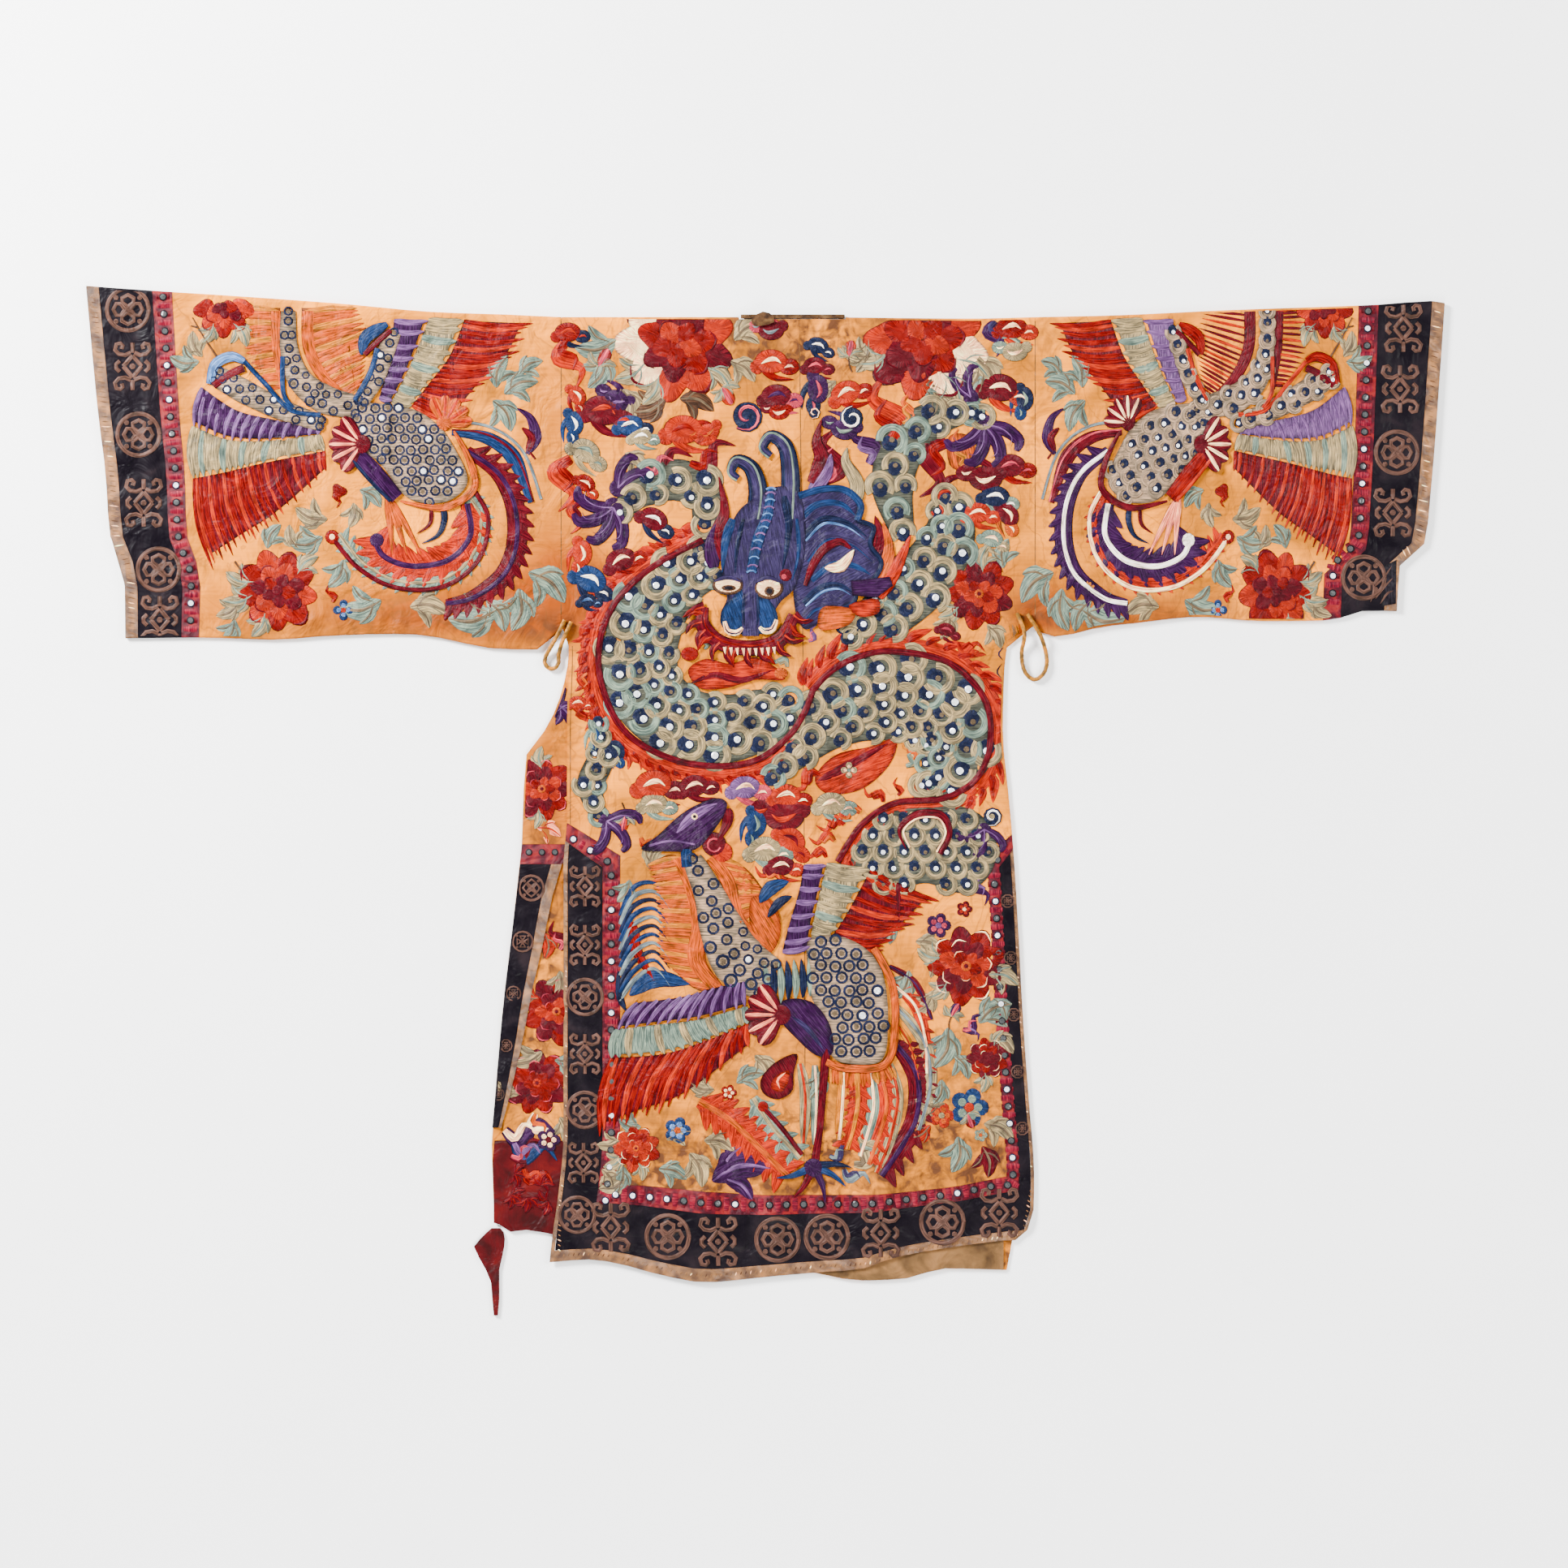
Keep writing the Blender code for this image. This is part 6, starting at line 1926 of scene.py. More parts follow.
CLOUDS = (  # x, y, size, turn, colours
    (950, 408, 17, 180, "crimson grey rose"), (950, 446, 21, 0, "coral cream red"),
    (1008, 426, 14, 20, "navy white navy"), (1004, 451, 15, 0, "crimson rose crimson"),
    (1008, 480, 19, 90, "purple rose navy"), (1042, 484, 20, -20, "coral cream red"),
    (957, 488, 20, 0, "crimson purple rose"), (960, 508, 14, 180, "red cream crimson"),
    (1040, 530, 18, 190, "purple mint purple"), (842, 530, 25, 0, "coral red coral"),
    (872, 534, 16, 160, "coral orange red"), (712, 488, 14, 60, "coral cream red"),
    (744, 506, 26, 10, "crimson coral crimson"),
    (760, 494, 18, 200, "purple lilac purple"), (776, 524, 18, 0, "blue white navy"),
    (708, 522, 16, 80, "blue white blue"), (722, 556, 20, 30, "sage mint sage"),
    (790, 538, 15, 0, "sage white mint"), (722, 596, 14, 40, "red cream coral"),
    (1232, 478, 24, 10, "crimson cream coral"), (1262, 492, 16, 90, "navy mint blue"),
    (1244, 574, 20, 0, "crimson rose red"),
    (1214, 590, 22, 180, "crimson cream crimson"),
    (1226, 612, 19, 10, "navy white mint"), (1204, 632, 18, 0, "coral cream coral"),
    (1242, 634, 17, 60, "crimson cream orange"), (1222, 664, 15, 20, "mint cream sage"),
    (728, 714, 22, 30, "blue white navy"), (765, 690, 20, -20, "crimson cream red"),
    (718, 682, 17, 90, "coral cream coral"), (806, 966, 24, 0, "coral cream crimson"),
    (806, 990, 18, 0, "sage cream mint"), (855, 968, 19, -10, "crimson cream crimson"),
    (918, 970, 20, 0, "lilac cream rose"), (968, 980, 20, 0, "coral cream red"),
    (966, 1006, 26, 180, "crimson coral crimson"),
    (932, 1014, 18, 90, "blue mint blue"), (942, 1046, 22, 0, "sage cream mint"),
    (975, 1034, 20, 40, "coral crimson coral"),
    (962, 1066, 18, 0, "crimson cream coral"), (1024, 990, 20, 0, "sage cream mint"),
    (736, 905, 14, 90, "mint blue mint"), (760, 924, 14, 60, "navy mint blue"),
    (724, 740, 12, 0, "navy sky navy"), (806, 640, 19, 30, "crimson white navy"),
    (1166, 776, 12, 20, "crimson rose crimson"), (700, 410, 17, 0, "red coral navy"),
    (1246, 404, 20, 0, "red cream coral"), (1250, 434, 17, 180, "sage cream mint"),
    (712, 866, 12, 0, "coral cream coral"),
)
CLOUD_GROWTH = 1.12
SWIRLS = (  # x, y, size, turn, colours
    (920, 513, 19, 20, "navy rose navy"), (1003, 509, 8, 0, "navy cream navy"),
    (1050, 516, 15, 160, "navy white navy"), (1222, 1006, 12, 0, "navy white sage"),
)
FLAMES = (  # x, y, length, turn, colours
    (1090, 548, 88, -96, "coral red"), (1112, 522, 40, -80, "orange yellow"),
    (1012, 594, 70, -80, "crimson rose"), (1070, 572, 56, -110, "purple lilac"),
    (1146, 634, 66, -55, "crimson coral"), (1182, 574, 44, -100, "orange yellow"),
    (792, 576, 62, -20, "crimson rose"), (850, 572, 60, -30, "crimson red"),
    (704, 566, 66, 95, "coral red"), (716, 620, 40, 100, "coral crimson"),
    (698, 420, 60, 70, "coral red"), (1226, 396, 44, 80, "purple violet"),
    (1180, 792, 34, 10, "coral red"), (1060, 1000, 44, 160, "coral orange"),
    (790, 1032, 30, 20, "coral orange"), (1010, 955, 40, 150, "coral red"),
    (1088, 988, 30, -150, "coral red"), (1040, 1016, 34, 170, "coral red"),
    (1028, 1036, 32, 180, "coral orange"), (1018, 1056, 30, 190, "coral red"),
    (1106, 980, 22, -100, "coral red"), (1124, 982, 22, -80, "coral orange"),
    (1142, 980, 22, -90, "coral red"), (1160, 976, 20, -70, "coral red"),
    (1166, 546, 74, 108, "crimson red"), (1116, 944, 34, -70, "sage mint"),
    (1126, 936, 30, -120, "yellow orange"), (996, 790, 22, -70, "lilac rose"),
    (962, 1084, 36, -160, "coral orange"), (1206, 1082, 34, 70, "purple lilac"),
    (1186, 1268, 32, -40, "purple rose"), (1196, 1262, 22, 60, "purple lilac"),
    (1052, 1434, 44, -50, "sage tan"), (1072, 1426, 38, -110, "sage mint"),
    (1022, 1424, 30, -30, "violet grey"), (1040, 1440, 36, 20, "grey violet"),
    (868, 800, 24, -100, "sage mint"), (970, 822, 26, -150, "mint sage"),
    (724, 830, 30, 100, "coral orange"), (720, 870, 30, 80, "coral red"),
)
FLAME_LEAF = ((1004, 958), (1030, 930), (1072, 920), (1104, 910), (1096, 942), (1062, 972), (1020, 978))
FLAME_HEART = ((1168, 540), (1190, 536), (1202, 556), (1192, 580), (1170, 574))
FLAME_VEIN = ((1008, 962), (1040, 946), (1094, 916))


def clouds():
    """Clouds and swirls round the dragon."""
    motif = Motif("clouds")
    for x, y, size, turn, colours in CLOUDS:
        cloud(motif, x, y, CLOUD_GROWTH * size, turn, colours.split(), 1)
    for x, y, size, turn, colours in SWIRLS:
        swirl(motif, x, y, size, turn, colours.split(), 3)
    return motif.stitch()


def flames():
    """Flames that fly off the dragon's limbs."""
    motif = Motif("flames")
    for x, y, length, turn, colours in FLAMES:
        flame(motif, x, y, length, turn, colours.split(), level=1)
    motif.patch(FLAME_LEAF, "coral", 1, -20)
    motif.patch(FLAME_HEART, "orange", 1, 80)
    motif.strand(FLAME_VEIN, 15, "crimson", 2, LEAF)
    blossom(motif, 1046, 949, 11, "sage", "cream", "mint", 4, level=3)
    return motif.stitch()


FLOWERS = (  # x, y, size, palette, edge, heart, leaves, cut and pale as peony() takes them
    (835, 424, 60, ("coral", "crimson", "red"), "crimson", None,
     ((150, 34), (40, 30), (120, 32)), 396, (130, 225)),
    (1138, 420, 62, ("coral", "crimson", "red"), "crimson", None,
     ((30, 36), (60, 34), (160, 30)), 396, (0, 80)),
    (1206, 732, 36, ("red", "crimson", "coral"), "crimson", "orange", ((-80, 26), (150, 24)), None, None),
    (1190, 1190, 40, ("red", "crimson", "coral"), "cream", "orange",
     ((20, 30), (140, 24), (200, 26)), None, None),
    (784, 1414, 24, ("coral", "red", "coral"), "cream", "orange", ((150, 22), (80, 18)), None, None),
    (1216, 1304, 22, ("crimson", "red", "crimson"), "cream", None, ((100, 20), (-60, 18)), None, None),
)
BLOSSOMS = (  # x, y, size, petal, inner, heart
    (835, 1392, 18, "blue", "sky", "orange"), (1194, 1364, 26, "blue", "mint", "coral"),
    (1160, 1374, 17, "coral", "orange", "sage"), (1156, 1140, 17, "purple", "rose", "lilac"),
    (1188, 1120, 11, "crimson", "coral", "cream"), (898, 1346, 11, "red", "cream", "coral"),
    (1208, 1398, 9, "mint", "sage", "orange"),
)
BUDS = (  # x, y, size, turn, colour
    (738, 452, 24, -60, "red"), (1046, 440, 20, -80, "coral"), (890, 478, 24, 60, "coral"),
    (1192, 1372, 18, 70, "red"), (770, 1006, 18, 100, "coral"), (1172, 1252, 18, -60, "purple"),
)
LEAVES = (  # x, y, length, turn, colour
    (760, 420, 40, 170, "mint"), (748, 438, 36, 120, "mint"), (765, 480, 34, 70, "sage"),
    (820, 492, 36, 160, "brown"), (838, 492, 34, 20, "brown"), (905, 420, 32, -30, "sage"),
    (900, 446, 30, 40, "sage"), (1070, 418, 34, 110, "sage"), (1074, 440, 30, 200, "sage"),
    (1200, 440, 40, 60, "sage"), (1212, 460, 34, 120, "mint"), (1130, 476, 36, 20, "mint"),
    (1150, 484, 34, 60, "sage"), (1030, 470, 26, 160, "sage"), (770, 560, 26, 40, "sage"),
    (1236, 700, 28, -80, "mint"), (1216, 770, 26, 60, "sage"), (1170, 756, 26, 110, "sage"),
    (1206, 1260, 36, -30, "mint"), (1168, 1266, 40, 110, "mint"), (1140, 1176, 30, 40, "sage"),
    (1120, 1196, 30, 120, "mint"), (1222, 1276, 26, 40, "sage"), (1180, 1400, 34, 100, "mint"),
    (1212, 1384, 32, 30, "sage"), (1164, 1360, 30, 190, "sage"), (1160, 1330, 26, 110, "mint"),
    (868, 1404, 30, 20, "sage"), (880, 1342, 26, 200, "sage"), (908, 1334, 28, -20, "mint"),
    (770, 1452, 26, 160, "sage"), (812, 1440, 28, 20, "mint"), (850, 1420, 34, 70, "sage"),
    (878, 1454, 56, -12, "purple"), (800, 1070, 30, -60, "sage"), (776, 1084, 24, 120, "mint"),
    (1224, 1230, 24, 60, "mint"), (790, 1388, 22, 200, "mint"), (766, 1404, 24, 170, "sage"),
    (768, 1436, 26, 110, "mint"), (822, 1404, 24, -20, "sage"), (1210, 1412, 30, 80, "crimson"),
    (1146, 1386, 24, 150, "coral"), (1090, 1130, 26, 80, "mint"), (1128, 1160, 26, 20, "sage"),
    (1150, 1220, 28, 130, "sage"), (1176, 1300, 26, 60, "mint"), (742, 1440, 22, 60, "sage"),
    (930, 1300, 28, 60, "sage"), (1010, 1320, 28, 110, "mint"),
)


def flowers():
    """Peonies, blossoms, buds and leaves on the front."""
    motif = Motif("flowers")
    for x, y, length, turn, colour in LEAVES:
        leaf(motif, x, y, length, turn, colour, "lilac" if colour == "purple" else "tan")
    for x, y, size, petals, edge, heart, leaves, cut, pale in FLOWERS:
        peony(motif, x, y, size, petals, edge, heart, 20, leaves, 1, cut, pale)
    for x, y, size, petal, inner, heart in BLOSSOMS:
        blossom(motif, x, y, size, petal, inner, heart, level=1)
    for x, y, size, turn, colour in BUDS:
        bud(motif, x, y, size, turn, colour, 1)
    return motif.stitch()


# ---------------------------------------------------------------- the phoenixes

def feather_row(motif, starts, ends, count, colours, level, overlap, ragged=0.0, under=None):
    """Feathers side by side from one line to another, over a darker ground."""
    bases, tips = smooth_curve(starts, count), smooth_curve(ends, count)
    if under:
        reach = bases + (tips - bases) * 0.88
        motif.patch(np.concatenate([bases, reach[::-1]]), under, level - 1, grain=90, smooth=False)
    broad = np.linalg.norm(np.diff((bases + tips) / 2, axis=0), axis=1).mean() * overlap
    for n, (base, tip) in enumerate(zip(bases, tips)):
        reach = 1 + ragged * (0.5 - (n * 7 % 5) / 4)
        tip = base + (tip - base) * reach
        middle = (base + tip) / 2 + 0.06 * np.array([base[1] - tip[1], tip[0] - base[0]])
        motif.strand((base, middle, tip), broad, colours[n % len(colours)], level, FEATHER)


def wing(motif, lines, counts, level=1, shade="purple", middle=("sage", "sage", "mint")):
    """Three rows of feathers; the rows nearer the arm lie on the outer ones."""
    arm, purple, sage, red = lines
    reds = ("red", "coral", "red")
    feather_row(motif, sage, red, counts[2], reds, level, 0.86, ragged=0.12, under="crimson")
    feather_row(motif, purple, sage, counts[1], middle, level + 2, 1.1, under=middle[0])
    feather_row(motif, arm, purple, counts[0], ("lilac",), level + 4, 0.6, under=shade)


RAY = 11                 # width of a ray feather


def rays(motif, centre_line, reach_line, count, colour, tip, level=1, width=RAY):
    """Slender feathers from one line outwards to another; every third has another colour."""
    bases, tips = smooth_curve(centre_line, count), smooth_curve(reach_line, count)
    for n, (base, end) in enumerate(zip(bases, tips)):
        motif.strand((base, (base + end) / 2, end), width, colour if n % 3 else tip, level, LEAF)


TOOTH_PITCH = 12         # pixels between the teeth of a serrated feather


def plume(motif, route, width, outer, core, teeth=None, level=1, side=1):
    """Tail feather: a band with a core line, serrated along one or both sides."""
    motif.strand(route, width, outer, level, (0.5, 0.9, 1.0, 0.9, 0.4))
    motif.strand(route, 0.24 * width, core, level + 2)
    if teeth:
        line = smooth_curve(route, max(4, int(length_of(route) / TOOTH_PITCH)))
        ahead = np.gradient(line, axis=0)
        for (x, y), (ax, ay) in zip(line[1:-1], ahead[1:-1]):
            turn = math.degrees(math.atan2(ay, ax))
            for hand in ((side,) if teeth == 1 else (1, -1)):
                tooth = turned([(0.1 * width, 0), (0.9 * width, 0)], turn + hand * 60) + (x, y)
                motif.strand(tooth, 0.66 * width, outer, level, TALON)


FAN_RAYS = 5


def fan(motif, x, y, size, turn, colours=("crimson", "rose"), level=4):
    """Scalloped tuft where a wing meets the body."""
    for n in range(FAN_RAYS):
        angle = turn + 110 * (n / (FAN_RAYS - 1) - 0.5)
        ray = turned([(0, 0), (0.6 * size, 0), (size, 0)], angle) + (x, y)
        motif.strand(ray, 0.5 * size, colours[0], level, DROP)
        motif.strand(ray, 0.15 * size, colours[1], level + 1, DROP)
    motif.disc(x, y, 0.3 * size, colours[0], level + 1)


def small_scales(motif, outline, size, turn, level=3, mirrors=0.1):
    """Scales all over an outline."""
    outline = np.array(outline, float)
    rim = smooth_curve(outline, 4 * len(outline), closed=True)
    (x0, y0), (x1, y1) = rim.min(0), rim.max(0)
    step_x, step_y = 1.8 * size, 1.56 * size
    for row in range(int((y1 - y0) / step_y) + 1):
        for column in range(int((x1 - x0) / step_x) + 2):
            point = np.array([(x0 + (column + 0.5 * (row % 2)) * step_x, y0 + (row + 0.5) * step_y)])
            if inside(point, rim)[0] and distance_to(point, rim)[0] > 0.55 * size:
                px = point[0][0] + motif.chance.uniform(-0.16, 0.16) * size
                py = point[0][1] + motif.chance.uniform(-0.16, 0.16) * size
                aim = turn + motif.chance.uniform(-50, 50)
                mirrored = motif.chance.random() < mirrors
                ringlet(motif, px, py, aim, 1.1 * size, mirrored=mirrored, level=level)


SLEEVE_LEFT_WING = (  # lines of the arm and of the ends of the purple, sage and red rows
    ((250, 478), (292, 506), (340, 518), (394, 528)), ((240, 526), (280, 542), (328, 544), (392, 536)),
    ((240, 590), (280, 582), (321, 572), (400, 556)), ((262, 696), (302, 668), (345, 638), (402, 580)),
)
SLEEVE_RIGHT_WING = (
    ((486, 396), (482, 432), (476, 464), (468, 490)), ((528, 396), (514, 432), (500, 464), (484, 494)),
    ((572, 396), (554, 440), (530, 472), (508, 500)), ((652, 399), (634, 436), (600, 470), (560, 520)),
)
SLEEVE_NECK = ((356, 384), (357, 430), (370, 468), (400, 492), (440, 502))
SLEEVE_NECK_HALF = (9, 11, 15, 18, 14)
SLEEVE_RUFF = (  # roots and tips of the rays on either side of the neck, and their number
    (((344, 384), (344, 430), (348, 476)), ((302, 380), (304, 436), (332, 476)), 17),
    (((376, 384), (382, 440), (408, 474), (434, 494)),
     ((440, 380), (454, 414), (450, 452), (446, 486)), 21),
)
RUFF_GROUND = (
    ((346, 380), (346, 478), (332, 464), (320, 430), (316, 380)),
    ((372, 380), (378, 440), (400, 482), (440, 498), (434, 450), (430, 414), (416, 380)),
)
RUFF_BANDS = (
    ("strand", ((340, 384), (342, 430), (349, 480)), 14, "ruff", 2, (1, 1, 0.5)),
    ("strand", ((380, 384), (382, 430), (402, 468), (434, 494)), 16, "ruff", 2, (1, 1, 0.9, 0.5)),
)
SLIM_RAY = 4.4           # width of the rays where they have no ground under them
SLEEVE_ARMS = (  # middle line and half widths
    (((268, 464), (300, 482), (345, 504), (396, 522)), (13, 15, 13, 10)),
    (((486, 410), (474, 440), (462, 468), (446, 494)), (9, 11, 12, 10)),
)
SLEEVE_BODY = (
    (438, 500), (503, 503), (538, 522), (558, 548), (576, 586), (570, 606), (544, 620), (503, 614),
    (471, 574), (440, 545),
)
SLEEVE_SPINE = ((446, 522), (480, 540), (516, 568), (562, 596))
SLEEVE_SPINE_HALF = (26, 40, 44, 26)
SLEEVE_CAPS = (  # edges of the arms, and the caps over their ends
    ("strand", ((302, 446), (328, 474), (359, 506), (396, 512)), 6, "arm_edge", 9),
    ("strand", ((349, 440), (350, 484), (362, 504)), 6, "arm_edge", 9),
    ("strand", ((466, 430), (456, 462), (438, 494)), 7, "arm_edge", 9),
    ("strand", ((260, 474), (266, 450), (286, 440), (302, 446)), 13, "high_cap", 8, (0.8, 1, 1, 0.6)),
    ("strand", ((264, 476), (284, 462), (302, 454)), 10, "cap_line", 9),
    ("strand", ((446, 438), (452, 416), (478, 400)), 17, "low_cap", 8, DROP),
    ("strand", ((450, 438), (464, 424), (482, 408)), 7, "cap_line", 9),
    ("patch", SLEEVE_BODY, "stone", 5),
)
SLEEVE_RUMP = (  # the rump's edge and the leg
    ("strand", ((560, 532), (580, 570), (584, 604), (546, 626), (494, 618)), 9, "rump", 9,
     (0.4, 1, 1, 1, 0.3)),
    ("strand", ((438, 556), (462, 582), (490, 614)), 21, "leg", 10, (0.8, 1, 0.8)),
    ("strand", ((434, 566), (456, 592), (482, 618)), 5, "leg_edge", 11),
)
SLEEVE_TAIL_SKY = ((557, 534), (600, 540), (634, 566), (654, 620))
SLEEVE_TAIL_SERRATED = (
    (576, 556), (614, 583), (634, 621), (637, 669), (621, 710), (583, 737), (550, 744),
)
SLEEVE_TAIL_LINE = ((583, 602), (602, 640), (589, 692), (544, 724), (487, 724), (442, 700), (411, 664))
SLEEVE_TAIL_CORAL = ((576, 621), (580, 660), (554, 690), (509, 698), (474, 686), (462, 664))
TAIL_EYE = (  # at the end of the third tail feather
    ("strand", SLEEVE_TAIL_LINE, 6, "tail_3_line", 4),
    ("disc", 410, 662, 9, "red", 4),
    ("disc", 410, 662, 4, "cream", 5),
)
TAIL_ENDS = (
    ("disc", 465, 666, 9, "tail_4_line", 6),
    ("strand", ((545, 622), (548, 640), (540, 660), (520, 670)), 9, "navy", 4, FLAME),
    ("strand", ((532, 626), (530, 646), (514, 658)), 6, "crimson", 4, FLAME),
)
DRESSES = (  # part of the bird, colour on the left sleeve, colour on the right one
    ("ruff", "orange", "crimson"), ("ray", "yellow", "coral"), ("ruff_ground", "amber", None),
    ("arm_edge", "blue", "coral"), ("high_cap", "sky", "red"), ("cap_line", "crimson", "crimson"),
    ("low_cap", "blue", "red"), ("wing_shade", "purple", "lilac"), ("tuft", "blush", "cream"),
    ("leg", "purple", "red"), ("leg_edge", "navy", "coral"), ("rump", "orange", "crimson"),
    ("rump_tuft", "orange", "crimson"), ("rump_stripe", "coral", "cream"),
    ("tail_1", "blue", "crimson"), ("tail_1_line", "crimson", "rose"),
    ("tail_2", "crimson", "purple"), ("tail_2_line", "purple", "white"),
    ("tail_3", "mint", "coral"), ("tail_3_edge", "sage", "coral"), ("tail_3_line", "crimson", "cream"),
    ("tail_4", "coral", "purple"), ("tail_4_line", "purple", "white"), ("toes", "orange", "blush"),
)
SLEEVE_DRESS = {part: colour for part, colour, _ in DRESSES}
RIGHT_SLEEVE_DRESS = {part: colour for part, _, colour in DRESSES}
SLEEVE_SCALES = (8, "navy", "tan", 0.2, ringlet)
RIGHT_SLEEVE_SCALES = (10, "stone", "navy", 0.55, scale)


def sleeve_tail(motif):
    """Four curling tail feathers, a tuft at their root, and the toes under them."""
    fan(motif, 548, 522, 34, -60, ("rump_tuft", "rump_stripe"), level=4)
    motif.strand(SLEEVE_TAIL_SKY, 20, "tail_1", 2, (0.3, 0.8, 1.0, 0.3))
    motif.strand(offset(SLEEVE_TAIL_SKY, -4), 4, "tail_1_line", 3, (0.5, 1, 0.6))
    motif.strand(offset(SLEEVE_TAIL_SKY, -14), 4, "grey", 2)
    plume(motif, SLEEVE_TAIL_SERRATED, 26, "tail_2", "tail_2_line", 1, 2, -1)
    plume(motif, offset(SLEEVE_TAIL_LINE, 9), 20, "tail_3", "tail_3_edge", 2, 1)
    draw(motif, TAIL_EYE)
    plume(motif, SLEEVE_TAIL_CORAL, 32, "tail_4", "tail_4_line", 2, 3)
    draw(motif, TAIL_ENDS)
    for aside in (-9, 0, 9):
        toe = ((478, 612), (490 + aside, 646), (502 + 2 * aside, 684))
        motif.strand(toe, 10, "toes", 4, FLAME)


def sleeve_phoenix(name, dress, cover, mirror=None):
    """Phoenix in flight whose head lies behind the shoulder fold."""
    motif = Motif(name, mirror=mirror, dress=dress)
    size, ring, heart, mirrored, kind = cover
    for roots, tips, count in SLEEVE_RUFF:
        rays(motif, roots, tips, count, "ruff", "ray", width=RAY if dress["ruff_ground"] else SLIM_RAY)
    if dress["ruff_ground"]:
        for outline in RUFF_GROUND:
            motif.patch(outline, "ruff_ground", 0, 10, False)
    draw(motif, RUFF_BANDS)
    wing(motif, SLEEVE_LEFT_WING, (14, 17, 24), shade="wing_shade")
    wing(motif, SLEEVE_RIGHT_WING, (8, 11, 17), shade="wing_shade")
    sleeve_tail(motif)
    motif.patch(swept(SLEEVE_NECK, SLEEVE_NECK_HALF), "stone", 4, smooth=False)
    scales_along(motif, SLEEVE_NECK, SLEEVE_NECK_HALF, size, ring, heart, mirrored, 5, kind)
    for arm, half in SLEEVE_ARMS:
        motif.patch(swept(arm, half), "stone", 6, smooth=False)
        scales_along(motif, arm, half, size, ring, heart, mirrored, 7, kind)
    draw(motif, SLEEVE_CAPS)
    if kind is ringlet:
        small_scales(motif, SLEEVE_BODY, 8.2, 30, 6, mirrored)
    else:
        scales_along(motif, SLEEVE_SPINE, SLEEVE_SPINE_HALF, 10, ring, heart, mirrored, 6, kind)
    draw(motif, SLEEVE_RUMP)
    fan(motif, 446, 548, 40, 180, ("crimson", "tuft"), level=11)
    return motif.stitch()


FRONT_LOW_WING = (
    ((786, 1235), (840, 1228), (880, 1217), (917, 1209)),
    ((762, 1268), (810, 1262), (860, 1256), (918, 1240)),
    ((754, 1303), (819, 1298), (875, 1280), (921, 1261)),
    ((740, 1394), (784, 1376), (840, 1354), (922, 1290)),
)
FRONT_HIGH_WING = (
    ((990, 1068), (984, 1100), (972, 1140), (964, 1172)),
    ((1018, 1066), (1010, 1100), (1002, 1136), (998, 1166)),
    ((1072, 1072), (1052, 1110), (1032, 1144), (1012, 1166)),
    ((1152, 1108), (1132, 1128), (1110, 1148), (1084, 1170)),
)
FRONT_NECK = ((853, 1058), (874, 1102), (888, 1140), (910, 1182), (946, 1206))
FRONT_NECK_HALF = (12, 19, 27, 34, 28)
FRONT_BODY = (
    (997, 1158), (1038, 1154), (1075, 1176), (1090, 1209), (1094, 1261), (1086, 1306), (1045, 1310),
    (1023, 1298), (1018, 1261), (1001, 1232), (996, 1200),
)
FRONT_STREAMERS = (  # route, width, colour, core, teeth
    (((1040, 1318), (1038, 1360), (1034, 1404)), 17, "yellow", "cream", 1),
    (((1056, 1320), (1056, 1366), (1044, 1416)), 25, "coral", "yellow", 2),
    (((1072, 1320), (1076, 1366), (1060, 1424)), 17, "mint", "cream", None),
    (((1084, 1318), (1092, 1366), (1070, 1434)), 22, "coral", "orange", 1),
    (((1094, 1306), (1106, 1350), (1096, 1404), (1080, 1444)), 17, "sage", "coral", None),
    (((1102, 1284), (1130, 1326), (1126, 1384), (1086, 1448)), 29, "crimson", "purple", 1),
    (((1104, 1240), (1138, 1282), (1146, 1336), (1132, 1392)), 19, "sage", "grey", None),
    (((1102, 1214), (1128, 1240), (1140, 1282), (1142, 1322)), 16, "coral", "cream", 1),
    (((1096, 1190), (1128, 1212), (1148, 1256)), 10, "crimson", "purple", None),
    (((1106, 1262), (1122, 1290), (1132, 1330)), 10, "yellow", "coral", None),
    (((862, 1356), (900, 1380), (932, 1410), (970, 1448)), 34, "coral", "orange", 2),
    (((928, 1352), (950, 1386), (986, 1426)), 24, "mint", "sage", 2),
    (((986, 1310), (992, 1350), (990, 1408)), 15, "sage", "coral", None),
    (((1004, 1312), (1006, 1356), (1004, 1410)), 14, "mint", "cream", None),
)
FRONT_HOOKS = 11         # blue hooked feathers behind the neck
HOOKS_AT = 1098          # y of the first, and from one to the next
HOOK_STEP = 10.5
STREAMER_EYE = (  # on the coral streamer
    ("strand", ((942, 1366), (964, 1390), (988, 1422)), 6, "crimson", 4),
    ("disc", 940, 1363, 7, "red", 4),
)
UNDER_HOOKS = (
    ("strand", ((778, 1136), (784, 1170), (806, 1208)), 18, "red", 2, FLAME),
    ("strand", ((776, 1226), (806, 1206), (850, 1212)), 24, "blue", 2, LEAF),
    ("strand", ((762, 1196), (764, 1226), (772, 1246)), 10, "navy", 2, LEAF),
)
